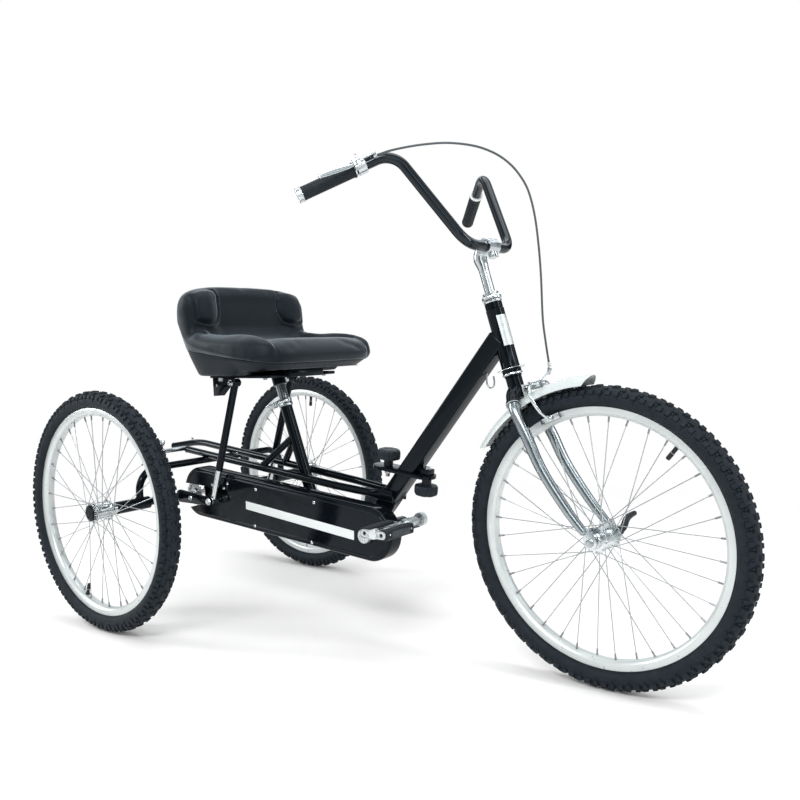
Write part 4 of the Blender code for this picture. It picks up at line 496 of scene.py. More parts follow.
def loft(paint, rings, cap_last=True, cap_first=False):
    """A skin through rings of as many points each."""
    bm = bmesh.new()
    made = [[bm.verts.new(place) for place in ring] for ring in rings]
    for ring, after in zip(made, made[1:]):
        for k in range(len(ring)):
            bm.faces.new((ring[k - 1], ring[k], after[k], after[k - 1]))
    if cap_last:
        bm.faces.new(made[-1])
    if cap_first:
        bm.faces.new(made[0])
    return built(bm, paint)


def bolt_head(paint, centre, axis, radius, height=0.004, washer=True):
    """A hexagon head on its washer, with the dished top of a pressed head."""
    axis = axis.normalized()
    parts = []
    low = centre
    if washer:
        parts.append(rod(paint, centre, centre + axis * 0.0012, radius * 1.35, sides=28, soft=0.0003))
        low = centre + axis * 0.001
    profile = [(0, 0), (radius, 0), (radius, height * 0.85), (radius * 0.86, height),
               (radius * 0.5, height), (radius * 0.42, height * 0.85), (0, height * 0.85)]
    parts.append(lathe(paint, profile, along(low, axis), 6))
    return parts


# Wheels

RIM_INNER = 0.2405
SPOKE_COUNT = 36
SPOKE_SPREAD = 0.003
HOLE_RING = 0.0225
TREAD_PITCHES = 52
CROWN_CENTRE = 0.2752
CROWN_RADIUS = 0.0232
FRONT_FLANGES = (0.03, -0.03)
REAR_FLANGES = (0.023, -0.017)
REAR_WHEEL_Y = 0.362
# World angles of the valves about the axles, in degrees from forward towards up.
FRONT_VALVE = 51
RIGHT_VALVE = -111
LEFT_VALVE = 82.4
WHOLE = Matrix.Identity(4)


def tyre_mesh():
    """A round casing with a low bead rib, and rows of small tapered knobs."""
    half = [
        (0.2985, 0), (0.298, 0.0055), (0.2958, 0.011), (0.2922, 0.016), (0.287, 0.0205), (0.281, 0.0232),
        (0.2755, 0.0238), (0.27, 0.0228), (0.2655, 0.02), (0.2628, 0.0166), (0.2618, 0.015),
        (0.2606, 0.015), (0.2598, 0.0136), (0.257, 0.0113), (0.254, 0.011),
    ]
    casing = lathe(TYRE, mirrored(half), WHOLE, 156, closed=True)
    bm = bmesh.new()

    def knob(turn, lean, length, width, height, skew=0.0):
        lean = math.radians(lean)
        spot_r = CROWN_CENTRE + CROWN_RADIUS * math.cos(lean)
        spot_w = 0.0236 * math.sin(lean)
        out_r = math.cos(lean)
        out_w = math.sin(lean)
        corners = []
        for rise, shrink in ((-0.0012, 1.12), (height, 0.84)):
            for a, b in ((-1, -1), (1, -1), (1, 1), (-1, 1)):
                side = b * width / 2 * shrink
                r = spot_r + rise * out_r - side * out_w
                w = spot_w + rise * out_w + side * out_r
                at = turn + (a * length / 2 * shrink + skew * b) / 0.3
                corners.append(bm.verts.new((r * math.cos(at), r * math.sin(at), w)))
        for face in ((4, 5, 6, 7), (0, 1, 5, 4), (1, 2, 6, 5), (2, 3, 7, 6), (3, 0, 4, 7)):
            bm.faces.new([corners[k] for k in face])

    steps = TREAD_PITCHES * 2
    for step in range(steps):
        turn = TAU * step / steps
        later = TAU * (step + 0.5) / steps
        for side in (-1, 1):
            if step % 2:
                knob(turn, side * 33, 0.0105, 0.0085, 0.0036, side * 0.0012)
            else:
                knob(turn, side * 12, 0.011, 0.007, 0.0034, -side * 0.001)
            knob(later, side * 60, 0.01 + 0.002 * (step % 2), 0.01, 0.0042)
            if step % 2:
                knob(turn, side * 50, 0.005, 0.006, 0.0022)
            else:
                knob(later, side * 80, 0.0045, 0.006, 0.0016)
    return joined([casing, built(bm, TYRE)])


def rim_mesh():
    """A box rim with flat brake walls and a rolled lip, its eyelets and its valve."""
    half = [
        (0.24, 0), (0.2403, 0.005), (0.2416, 0.0092), (0.244, 0.0118), (0.2466, 0.013), (0.247, 0.0134),
        (0.2588, 0.0135), (0.2598, 0.0131), (0.2601, 0.0122), (0.2594, 0.0115), (0.256, 0.0114),
        (0.2535, 0.0105), (0.252, 0.006),
    ]
    parts = [lathe(ALLOY, mirrored(half), WHOLE, 156, closed=True)]
    eyelet = [(0.0021, 0), (0.0036, 0.0002), (0.0036, 0.0012), (0.002, 0.0016)]
    for index in range(SPOKE_COUNT):
        turn = TAU * (index + 0.5) / SPOKE_COUNT
        out = Vector((math.cos(turn), math.sin(turn), 0))
        spot = out * (RIM_INNER + 0.001)
        spot.z = -SPOKE_SPREAD if index % 2 else SPOKE_SPREAD
        parts.append(lathe(STEEL, eyelet, along(spot, -out), 12))
    root = along(FORWARD * RIM_INNER, -FORWARD)
    valve = [(0, -0.002), (0.0062, -0.0015), (0.0058, 0.0015), (0.0042, 0.0035), (0.0041, 0.014),
             (0.0033, 0.015), (0.0033, 0.0165), (0.0046, 0.017), (0.0046, 0.029), (0.0038, 0.0305),
             (0, 0.031)]
    parts.append(lathe(BLOCK, valve, root, 20))
    nut = [(0.0043, 0.0142), (0.005, 0.0146), (0.005, 0.0156), (0.0043, 0.016)]
    parts.append(lathe(STEEL, nut, root, 6))
    return joined(parts)


def spokes(flanges):
    """Spokes crossed three times, each with its head in the flange and its nipple at the rim."""
    parts = []
    for index in range(SPOKE_COUNT):
        flange = flanges[index % 2]
        lead = 1 if (index // 2) % 2 else -1
        inward = UPWARD * -lead
        rim_turn = TAU * (index + 0.5) / SPOKE_COUNT
        hub_turn = rim_turn + lead * math.radians(60)
        foot = Vector((math.cos(hub_turn), math.sin(hub_turn), 0)) * HOLE_RING
        foot.z = flange + lead * 0.0029
        head = foot + inward * 0.0058
        end = Vector((math.cos(rim_turn), math.sin(rim_turn), 0)) * (RIM_INNER + 0.001)
        end.z = math.copysign(SPOKE_SPREAD, flange - sum(flanges) / 2)
        way = (end - foot).normalized()
        elbow = [head, foot + inward * 0.0012, foot + way * 0.0018, end]
        parts.append(sweep(SPOKE, elbow, 0.00095, sides=8))
        parts.append(rod(SPOKE, head - inward * 0.0006, head + inward * 0.0006, 0.0018, sides=10,
                         soft=0.0003))
        parts.append(rod(NIPPLE, end - way * 0.0135, end, 0.0019, 0.0021, sides=10, soft=0.0004))
    return parts


def flange_rings(flanges):
    outer = 0.026
    half = 0.0019
    profile = mirrored([(0.012, half * 1.4), (HOLE_RING - 0.004, half), (outer - 0.0008, half),
                        (outer, half - 0.0008)])
    return [lathe(CHROME, profile, Matrix.Translation((0, 0, height)), 40) for height in flanges]


def front_hub_mesh():
    barrel = [
        (0.0048, 0.05), (0.0088, 0.05), (0.0093, 0.0492), (0.0098, 0.044), (0.014, 0.042), (0.015, 0.04),
        (0.0152, 0.033), (0.0148, 0.0318), (0.0145, 0.029), (0.013, 0.025), (0.0118, 0.018),
        (0.0115, 0.009),
    ]
    parts = [lathe(CHROME, mirrored(barrel), WHOLE, 40)]
    for side in (-1, 1):
        cone = [(0.0098, 0.0452 * side), (0.0122, 0.0445 * side), (0.0124, 0.0425 * side)]
        parts.append(lathe(STEEL, cone, WHOLE, 32))
    return joined(parts + flange_rings(FRONT_FLANGES) + spokes(FRONT_FLANGES))


def rear_hub_mesh():
    """A wide shell with two flanges, a toothed dark cap outside and a collar inside."""
    shell = [(0.0075, -0.0395), (0.0125, -0.0395), (0.0135, -0.0385), (0.014, -0.03), (0.0182, -0.0275),
             (0.019, -0.026), (0.019, -0.02), (0.018, -0.015), (0.0172, 0), (0.018, 0.018),
             (0.019, 0.021), (0.0195, 0.0265), (0.018, 0.03)]
    parts = [lathe(CHROME, shell, WHOLE, 44)]
    outline = []
    for step in range(96):
        turn = TAU * step / 96
        radius = 0.0188 + 0.0011 * (1 if step % 4 < 2 else -1)
        outline.append((radius * math.cos(turn), radius * math.sin(turn)))
    parts.append(slab(PAINT, [outline], 0.0075, Matrix.Translation((0, 0, 0.0292)), 0.0004))
    cap = [(0.0168, 0.0325), (0.016, 0.0338), (0.0125, 0.0342), (0.0118, 0.0332), (0.006, 0.0332),
           (0.0054, 0.0342), (0, 0.0345)]
    parts.append(lathe(PAINT, cap, WHOLE, 40))
    return joined(parts + flange_rings(REAR_FLANGES) + spokes(REAR_FLANGES))


def wheels():
    """The three wheels share their tyre and rim. Each is spun so that its valve is where it is seen."""
    tyre = tyre_mesh()
    rim = rim_mesh()
    front_hub = front_hub_mesh()
    rear_hub = rear_hub_mesh()
    places = [
        ("front", FRONT_AXLE, 1, front_hub, "front_wheel", FRONT_VALVE),
        ("right", beside(REAR_AXLE, -REAR_WHEEL_Y), -1, rear_hub, "right_wheel", RIGHT_VALVE),
        ("left", beside(REAR_AXLE, REAR_WHEEL_Y), 1, rear_hub, "left_wheel", LEFT_VALVE),
    ]
    for name, centre, outward, hub, body, valve in places:
        quarter = Matrix.Rotation(-outward * math.pi / 2, 4, "X")
        spin = Matrix.Rotation(math.radians(-valve), 4, "Y")
        layers = (("tyre", tyre, "tyre_rubber"), ("rim", rim, "alloy_rim"), ("hub", hub, "chrome"))
        for part, mesh, slot in layers:
            if part != "tyre":
                mesh = mesh.copy()
                mesh.transform(quarter.inverted() @ spin @ quarter)
            dress(name + "_" + part, body, mesh, Matrix.Translation(centre) @ quarter)


# Frame

BRACKET_X = 0.648
BRACKET_Z = 0.265
BRACKET = from_rear(BRACKET_X, 0, BRACKET_Z)
STAY_RADIUS = 0.015
HOOP_TOP = 0.3895
HEAD_LOW = 0.3756
HEAD_HIGH = 0.519
LABEL_RADIUS = 0.0197
LABEL_MIDDLE = 0.4556
STRUT_FOOT = (0.1197, 0.297)
STRUT_Y = {-1: 0.108, 1: 0.085}
STRUT_EYE = 0.0102


def stay_z(x):
    """Height of the stay's axis, which runs from the rear axle to the bottom bracket."""
    return AXLE_Z + (BRACKET_Z - AXLE_Z) * x / BRACKET_X


def weld(place, axis, radius, bead=0.0022, sides=36):
    """A low rippled bead of weld round a joint."""
    matrix = along(place, axis)
    ring = oval(Vector((0, 0, 0)), FORWARD * radius, SIDEWAYS * radius, sides)
    sizes = [bead * (1 + 0.18 * math.sin(step * 2.1)) for step in range(sides)]
    return sweep(PAINT, [matrix @ point for point in ring], bead, sides=8, radii=sizes, closed=True)


def head_label():
    """The plain plate bent round the front of the head tube, with its two rivets."""
    bm = bmesh.new()
    columns = []
    for step in range(13):
        turn = math.radians(-62 + 124 * step / 12)
        forward, left = LABEL_RADIUS * math.cos(turn), LABEL_RADIUS * math.sin(turn)
        columns.append([bm.verts.new(steered(forward, left, height)) for height in (0.4227, 0.4885)])
    for a, b in zip(columns, columns[1:]):
        bm.faces.new((a[0], b[0], b[1], a[1]))
    parts = [thickened(built(bm, LABEL), 0.0004, 0)]
    for height in (LABEL_MIDDLE - 0.029, LABEL_MIDDLE + 0.029):
        parts.append(rod(STEEL, steered(0.019, 0, height), steered(0.0204, 0, height), 0.0018, sides=12,
                         soft=0.0004))
    return parts


def main_frame():
    foot = from_rear(0.5853, 0, stay_z(0.5853))
    top = steered(0, 0, 0.4476)
    run = (top - foot).normalized()
    top = top - run * 0.004
    parts = [box(PAINT, (foot + top) / 2, ((top - foot).length, 0.04, 0.04), run, soft=0.005, segments=5)]
    low, high, seam = HEAD_LOW, HEAD_HIGH, 0.5045
    head = [
        (0.0162, low), (0.0188, low), (0.0196, low + 0.0008), (0.0196, low + 0.0045),
        (0.0193, low + 0.0055), (0.0193, seam - 0.003), (0.0197, seam - 0.0022), (0.0197, seam - 0.0008),
        (0.019, seam), (0.018, seam + 0.0006), (0.018, seam + 0.0013), (0.0187, seam + 0.002),
        (0.0187, high - 0.001), (0.018, high), (0.016, high),
    ]
    parts.append(lathe(PAINT, head, along(STEERING_FOOT, HEAD_UP), 56))
    parts += head_label()
    shell = mirrored([(0.0165, -0.034), (0.0192, -0.034), (0.02, -0.0332)])
    parts.append(lathe(PAINT, shell, along(BRACKET, SIDEWAYS), 44))
    for side in (-1, 1):
        cup = [(0.0085, 0.0345), (0.016, 0.0345), (0.0165, 0.034), (0.0165, 0.0325)]
        parts.append(lathe(STEEL, cup, along(BRACKET, SIDEWAYS * side), 30))
    parts.append(rod(PAINT, REAR_AXLE, BRACKET, STAY_RADIUS, sides=32))
    bearing = mirrored([(0.0075, -0.03), (0.019, -0.03), (0.02, -0.029)])
    parts.append(lathe(PAINT, bearing, along(REAR_AXLE, SIDEWAYS), 40))
    for joint in (BRACKET - FORWARD * 0.019, REAR_AXLE + FORWARD * 0.019):
        parts.append(weld(joint, BRACKET - REAR_AXLE, STAY_RADIUS + 0.0002))
    for boss_x in CASE_BOSSES:
        spot = from_rear(boss_x, 0, stay_z(boss_x))
        parts.append(rod(PAINT, *across(spot, 0, -0.0517), 0.008, sides=20))
    hook = [
        (0.9165, 0.6265), (0.915, 0.612), (0.9165, 0.602), (0.923, 0.595), (0.931, 0.5975),
        (0.934, 0.606), (0.9325, 0.62),
    ]
    parts.append(sweep(STEEL, flowing([from_rear(x, 0, z) for x, z in hook], 5), 0.0019, sides=12))
    piece("main_frame", "frame", parts)


RAIL_RADIUS = 0.0095
RAIL_SLOPE = 0.102
RAIL_Y = 0.04
RAIL_Z = HOOP_TOP + (2 * RAIL_RADIUS + GAP) * math.hypot(1, RAIL_SLOPE)
RAIL_BESIDE = 0.02 + RAIL_RADIUS + GAP


def rail_z(x):
    return RAIL_Z - RAIL_SLOPE * x


def rail_path(side):
    """Along one seat rail, front to back. The left one runs on behind the axle and dips."""
    front = [(0.665, RAIL_BESIDE), (0.6, RAIL_BESIDE), (0.5, RAIL_Y)]
    corners = [from_rear(x, side * y, rail_z(x)) for x, y in front]
    if side < 0:
        corners.append(from_rear(-0.07, -RAIL_Y, rail_z(-0.07)))
        return bent(corners, 0.1, 6)
    corners.append(from_rear(-0.115, RAIL_Y, rail_z(-0.115) + 0.006))
    corners.append(from_rear(-0.241, RAIL_Y, rail_z(0) - 0.001))
    return bent(corners, 0.3, 10)


def rails():
    """Two round rails, each pressed flat at its nose, with an end cap, cross bolts and a weld."""
    for side, name in ((-1, "right_rail"), (1, "left_rail")):
        path = rail_path(side)
        straight = path[0].lerp(path[1], 0.9)
        nose = [path[0].lerp(straight, k / 14) for k in range(15)]
        rings = []
        for place in nose + path[1:]:
            flat = ease((place.x - REAR_X - 0.598) / 0.034)
            wide = RAIL_RADIUS + (0.0034 - RAIL_RADIUS) * flat
            tall = RAIL_RADIUS + (0.0135 - RAIL_RADIUS) * flat
            step_in = SIDEWAYS * side * (wide - RAIL_RADIUS)
            rings.append(oval(place + step_in, SIDEWAYS * wide, UPWARD * tall, 28))
        parts = [loft(PAINT, rings, True, True)]
        end = path[-1]
        tail = (path[-1] - path[-2]).normalized()
        parts.append(rod(KNOB, end - tail * 0.001, end + tail * 0.0006, 0.01, sides=28, soft=0.0006))
        if side > 0:
            spot = from_rear(-0.15, RAIL_Y, rail_z(-0.15) + 0.0115)
            parts.append(ball(CHROME, spot, 0.004))
        for x in (0.06, 0.33):
            head = from_rear(x, side * (RAIL_Y - RAIL_RADIUS + 0.0006), rail_z(x))
            parts += bolt_head(STEEL, head, -side * SIDEWAYS, 0.0042, 0.003, washer=False)
        parts.append(weld(from_rear(0.6, side * 0.0245, rail_z(0.6) - 0.001), FORWARD, 0.007, 0.0014, 20))
        piece(name, "frame", parts)


SEAT_ANGLE = math.radians(70.5)
SEAT_UP = Vector((-math.cos(SEAT_ANGLE), 0, math.sin(SEAT_ANGLE)))
SEAT_FORWARD = SIDEWAYS.cross(SEAT_UP)


def seat_axis(z):
    """The point of the seat tube's axis at this height."""
    return from_rear(0.392 - (z - stay_z(0.392)) / math.tan(SEAT_ANGLE), 0, z)


SEAT_FLOOR = 0.63
SEAT_TUBE_TOP = 0.552
SEAT_X = seat_axis(SEAT_FLOOR).x - REAR_X


def seat_tube():
    top = seat_axis(SEAT_TUBE_TOP)
    foot = seat_axis(stay_z(0.392) + STAY_RADIUS + 0.0005)
    parts = [rod(PAINT, foot, top, 0.015, sides=36, soft=0.001)]
    parts.append(weld(foot + SEAT_UP * 0.001, SEAT_UP, 0.0152, 0.0022))
    for side in (-1, 1):
        low = from_rear(0.245, side * RAIL_Y, rail_z(0.245) + 0.0065)
        high = seat_axis(0.467 + side * 0.0007) + side * 0.004 * SIDEWAYS
        way = (high - low).normalized()
        parts.append(rod(PAINT, low, high, 0.009, sides=26))
        parts.append(weld(low + way * 0.002, way, 0.0088, 0.0016, 24))
        parts.append(weld(high - way * 0.02, way, 0.0086, 0.0015, 24))
    # The tube's clamp slit is a thin dark block on its side: painted shade, not a cut.
    slot = top - SEAT_UP * 0.0135 - SEAT_FORWARD * 0.0148
    parts.append(box(SEAM_AND_SHADE, slot, (0.001, 0.0022, 0.024), SEAT_FORWARD, SEAT_UP, soft=0.0002, segments=1))
    piece("seat_tube", "frame", parts)


def rear_frame():
    hoop_y = 0.25
    hoop = [(-hoop_y, AXLE_Z), (-hoop_y, HOOP_TOP), (hoop_y, HOOP_TOP), (hoop_y, AXLE_Z)]
    parts = [sweep(PAINT, bent([from_rear(0, y, z) for y, z in hoop], 0.055, 14), 0.0095, sides=28)]
    sleeve = [(0.008, 0.224), (0.0152, 0.224), (0.016, 0.225), (0.016, 0.3188), (0.015, 0.32),
              (0.008, 0.32)]
    for side, inner in ((-1, 0.0985), (1, 0.0303)):
        outward = SIDEWAYS * side
        parts.append(lathe(PAINT, sleeve, along(REAR_AXLE, outward), 40))
        housing = [(0.0075, inner), (0.009, inner), (0.0095, inner + 0.0006), (0.0095, 0.2255)]
        parts.append(lathe(PAINT, housing, along(REAR_AXLE, outward), 32))
        parts.append(weld(REAR_AXLE + outward * 0.2245, SIDEWAYS, 0.0112, 0.002, 32))
        parts.append(weld(REAR_AXLE + outward * hoop_y + UPWARD * 0.0152, UPWARD, 0.0098, 0.002, 28))
        inside = STRUT_Y[side] + STRUT_EYE
        outside = inside + 0.006
        strap = belt(STRUT_FOOT, 0.011, (0, AXLE_Z), 0.017, 14)
        parts.append(side_slab(PAINT, [strap], side * inside, side * outside, 0.0008))
        for (x, z), radius, height in ((STRUT_FOOT, 0.0065, 0.0048), ((0.045, 0.3005), 0.0048, 0.0036)):
            parts += bolt_head(CHROME, from_rear(x, side * (outside - 0.0002), z), outward, radius, height)
    oil_cap = from_rear(0, -0.18, AXLE_Z + 0.009)
    parts.append(rod(PAINT, oil_cap, oil_cap + UPWARD * 0.007, 0.0062, sides=20, soft=0.001))
    piece("rear_axle_frame", "frame", parts)


BAR_BOLT_Y = -0.12
BAR_BOLT = from_rear(-0.081, BAR_BOLT_Y, 0.4185)
BAR_INNER_Y = -0.0305
BAR_OUTER_Y = -0.135


def accessory_bar():
    half_x = 0.01
    half_y = (BAR_INNER_Y - BAR_OUTER_Y) / 2
    middle_y = (BAR_INNER_Y + BAR_OUTER_Y) / 2
    outline = [(half_x, -half_y), (half_x, half_y), (-half_x, half_y), (-half_x, -half_y)]
    hole = circle(0, BAR_BOLT_Y - middle_y, 0.0034, 16)
    place = Matrix.Translation(beside(BAR_BOLT, middle_y))
    bar = slab(CHROME, [outline, hole], 0.01, place, 0.0009)
    piece("accessory_bar", "frame", [bar])


def bar_clamp():
    """The bar's bolt with its boss, hexagon head and two wings."""
    high = BAR_BOLT + UPWARD * 0.032
    boss = BAR_BOLT + UPWARD * 0.0053
    parts = [rod(CHROME, BAR_BOLT - UPWARD * 0.011, high, 0.003, sides=20)]
    parts.append(rod(CHROME, boss, boss + UPWARD * 0.01, 0.007, 0.005, sides=28, soft=0.0008))
    parts += bolt_head(STEEL, BAR_BOLT - UPWARD * 0.0053, -UPWARD, 0.005, 0.0035, washer=False)
    wing = [
        (0, 0), (0.007, 0), (0.012, 0.006), (0.014, 0.013), (0.012, 0.0172), (0.0085, 0.0165),
        (0.005, 0.01), (0, 0.009),
    ]
    turn = Matrix((SIDEWAYS, UPWARD, FORWARD)).transposed().to_4x4()
    place = Matrix.Translation(high - UPWARD * 0.018) @ turn
    for outline in (wing, [(-u, v) for u, v in reversed(wing)]):
        parts.append(slab(CHROME, [outline], 0.0032, place, 0.001))
    piece("bar_clamp_bolt", "bar_clamp_bolt", parts)


PLATE_SLOPE = math.radians(7)
PLATE_FORWARD = Vector((math.cos(PLATE_SLOPE), 0, -math.sin(PLATE_SLOPE)))
PLATE_UP = Vector((math.sin(PLATE_SLOPE), 0, math.cos(PLATE_SLOPE)))
PLATE_CENTRE = from_rear(0.6825, 0, 0.4005)
REAR_KNOB = -0.048
FRONT_KNOB = 0.066
PLATE_TURN = Matrix((PLATE_FORWARD, SIDEWAYS, PLATE_UP)).transposed().to_4x4()


def knob_plate():
    half = 0.028
    reach = 0.171 / 2 - half
    outline = arc(reach, 0, half, -math.pi / 2, math.pi / 2, 16)
    outline += arc(-reach, 0, half, math.pi / 2, math.pi * 1.5, 16)
    parts = [slab(PAINT, [outline], 0.008, Matrix.Translation(PLATE_CENTRE) @ PLATE_TURN, 0.001)]
    block = PLATE_CENTRE + PLATE_FORWARD * FRONT_KNOB + PLATE_UP * 0.0105
    parts.append(box(PAINT, block, (0.022, 0.026, 0.014), PLATE_FORWARD, PLATE_UP, 0.0012))
    parts += bolt_head(STEEL, block + PLATE_UP * 0.0067, PLATE_UP, 0.0065, 0.0045)
    piece("knob_plate", "frame", parts)


def knob_head(matrix):
    """A ribbed star with four lobes on a round neck."""
    neck = [(0.01, 0), (0.011, 0.0006), (0.011, 0.013), (0.0135, 0.0148)]
    star = [
        (0.0225, 0.0152), (0.0258, 0.0165), (0.0268, 0.019), (0.027, 0.027), (0.0266, 0.034),
        (0.025, 0.0375), (0.0215, 0.0392), (0.012, 0.0396), (0.01, 0.039),
    ]
    outlines = []
    for radius, height in neck + star:
        depth = 0.0022 if radius > 0.02 else 0.0
        ring = []
        for step in range(144):
            turn = TAU * step / 144
            wave = abs(math.sin(4 * turn)) ** 0.5
            rib = 0.00035 * math.cos(72 * turn) if depth and 0.018 < height < 0.036 else 0
            size = radius - depth * (1 - wave) + rib
            ring.append(matrix @ Vector((size * math.cos(turn), size * math.sin(turn), height)))
        outlines.append(ring)
    return loft(KNOB, outlines, True, True)


def star_knobs():
    """The rear knob stands on the plate, and the front one hangs below it."""
    thread = [(0.0048, 0), (0.0054, 0.0003), (0.0048, 0.0006)]
    for name, offset, outward in (("rear_knob", REAR_KNOB, PLATE_UP),
                                  ("front_knob", FRONT_KNOB, -PLATE_UP)):
        place = PLATE_CENTRE + PLATE_FORWARD * offset
        face = place + outward * 0.0043
        parts = [knob_head(along(face, outward))]
        parts.append(rod(STEEL, place - outward * 0.022, face + outward * 0.004, 0.005, sides=20))
        if name == "rear_knob":
            parts += bolt_head(STEEL, place - outward * 0.014, outward, 0.0078, 0.007, washer=False)
        for k in range(7):
            spot = place - outward * (0.015 + 0.001 * k)
            parts.append(lathe(STEEL, thread, along(spot, outward), 20))
        piece(name, name, parts, 40)


# Chain case

PITCH = 0.0127
RING_TEETH = 26
SPROCKET_TEETH = 14
RING_RADIUS = PITCH / (2 * math.sin(math.pi / RING_TEETH))
SPROCKET_RADIUS = PITCH / (2 * math.sin(math.pi / SPROCKET_TEETH))
BRACKET_SPOT = (BRACKET_X, BRACKET_Z)
CASE_FRONT_RADIUS = RING_RADIUS + 0.0098
CASE_REAR_RADIUS = CASE_FRONT_RADIUS + 0.0045
CASE_FACE = -0.092
CASE_SHEET = 0.0015
CASE_TAIL = 0.045 - CASE_REAR_RADIUS - 0.03
CASE_BOSSES = (0.15, 0.5)
COVER_SCREWS = [(0.2706, 0.337), (0.4755, 0.3226), (0.2618, 0.2421), (0.4637, 0.2237)]
HOOD_SCREWS = [(0.0985, 0.3345), (0.145, 0.33), (0.1605, 0.343)]
HOOD_X = 0.17


def case_outline(inset):
    """The case's outline with extra points along its straight runs."""
    rear = (0.045, AXLE_Z + 0.0095)
    raw = belt(BRACKET_SPOT, CASE_FRONT_RADIUS - inset, rear, CASE_REAR_RADIUS - inset, 30)
    outline = []
    for (x, z), (next_x, next_z) in zip(raw, raw[1:] + raw[:1]):
        outline.append((x, z))
        if math.hypot(next_x - x, next_z - z) > 0.1:
            for k in range(1, 12):
                outline.append((x + (next_x - x) * k / 12, z + (next_z - z) * k / 12))
    return outline


def case_skin():
    face = CASE_FACE
    levels = [
        (0, -0.056), (0, -0.0855), (0.0004, -0.0885), (0.0016, -0.0905), (0.0036, -0.0916), (0.006, face),
        (0.0085, face), (0.0095, face - 0.0009), (0.0104, face - 0.0011), (0.0113, face - 0.0009),
        (0.0123, face), (0.015, face), (0.04, face),
    ]
    return loft(PAINT, [[from_rear(x, y, z) for x, z in case_outline(inset)] for inset, y in levels])


def halved(obj, x, keep_front):
    """Keeps the part of a skin in front of x, or behind it."""
    bm = bmesh.new()
    bm.from_mesh(obj.data)
    everything = [*bm.verts, *bm.edges, *bm.faces]
    bmesh.ops.bisect_plane(bm, geom=everything, plane_co=from_rear(x, 0, 0), plane_no=FORWARD,
                           clear_inner=keep_front, clear_outer=not keep_front)
    bm.to_mesh(obj.data)
    bm.free()
    return obj


def screws(spots, dome, sides):
    """Domed screw heads on the case's face."""
    return [lathe(CHROME, dome, along(from_rear(x, CASE_FACE, z), -SIDEWAYS), sides) for x, z in spots]


def case_cover():
    cover = thickened(halved(case_skin(), HOOD_X + 0.0002, True), CASE_SHEET)
    cut(cover, side_slab(PAINT, [arc(*BRACKET_SPOT, 0.0175, 0, TAU, 40)[:-1]], -0.12, -0.07, 0))
    collar = [(0.0176, -0.0006), (0.02, -0.0006), (0.0207, 0.0002), (0.02, 0.001), (0.0176, 0.0012)]
    place = along(beside(BRACKET, CASE_FACE - 0.0001), -SIDEWAYS)
    parts = [cover, lathe(PAINT, collar, place, 40, closed=True)]
    dome = [(0, 0.0022), (0.0016, 0.0021), (0.0034, 0.0014), (0.0043, 0.0003), (0.0044, 0)]
    parts += screws(COVER_SCREWS, dome, 24)
    # Each screw's slot is a thin dark bar on its dome: painted shade, not a cut.
    for x, z in COVER_SCREWS:
        slot = from_rear(x, CASE_FACE - 0.0021, z)
        parts.append(box(SEAM_AND_SHADE, slot, (0.0042, 0.0005, 0.0007), soft=0.0001, segments=1))
    stripe = [(0.2306, 0.2828), (0.601, 0.2466), (0.602, 0.2679), (0.231, 0.3038)]
    parts.append(side_slab(STRIPE, [stripe], CASE_FACE, CASE_FACE - 0.0005, 0.0001))
    piece("chain_case_cover", "frame", parts)


def case_hood():
    """The rear end of the case, open behind so that the chain shows."""
    hood = thickened(halved(case_skin(), HOOD_X - 0.0002, False), CASE_SHEET)
    slot = [(CASE_TAIL, AXLE_Z - 0.041), (0.02, AXLE_Z - 0.034), (0.1, AXLE_Z - 0.01)]
    slot += arc(HOOD_X - 0.02, AXLE_Z + 0.0165, 0.0085, -math.pi / 2, math.pi / 2, 8)
    slot += [(CASE_TAIL, AXLE_Z + 0.031)]
    cut(hood, side_slab(PAINT, [slot], -0.12, -0.03, 0))
    dome = [(0, 0.002), (0.0018, 0.0018), (0.0034, 0.001), (0.004, 0)]
    parts = [hood, *screws(HOOD_SCREWS, dome, 20)]
    piece("chain_case_hood", "frame", parts)


def case_back():
    hole = circle(*BRACKET_SPOT, 0.012, 30)
    back = side_slab(PAINT, [case_outline(0.0002), hole], -0.0555, -0.052, 0.0004)
    open_tail = [(CASE_TAIL, AXLE_Z - 0.041), (0.02, AXLE_Z - 0.034), (0.02, AXLE_Z + 0.0285),
                 (CASE_TAIL, AXLE_Z + 0.031)]
    cut(back, side_slab(PAINT, [open_tail], -0.12, -0.03, 0))
    parts = [back]
    for x in CASE_BOSSES:
        parts += bolt_head(STEEL, from_rear(x, -0.0556, stay_z(x)), -SIDEWAYS, 0.005, 0.0035)
    piece("chain_case_back", "frame", parts)


# Drive

CHAIN_Y = -0.072
ROLLER_RADIUS = 0.0036
TOOTH = [(0, -0.0052), (0.16, -0.0046), (0.3, -0.0022), (0.42, 0.0006), (0.58, 0.0006), (0.7, -0.0022),
         (0.84, -0.0046)]
LINK_PLATE = [
    (-0.26, 0.0018), (-0.1, 0.0036), (0.15, 0.0036), (0.5, 0.0024), (0.85, 0.0036), (1.1, 0.0036),
    (1.26, 0.0018),
]


def sprocket(centre, teeth, pitch_radius, holes=()):
    """A flat wheel whose teeth stand between the chain's rollers."""
    outline = []
    for tooth in range(teeth):
        for share, rise in TOOTH:
            turn = TAU * (tooth + share) / teeth
            radius = pitch_radius + rise
            outline.append((radius * math.cos(turn), radius * math.sin(turn)))
    place = Matrix.Translation(beside(centre, CHAIN_Y)) @ UPRIGHT
    return slab(STEEL, [outline, *holes], 0.0024, place, 0.0003)


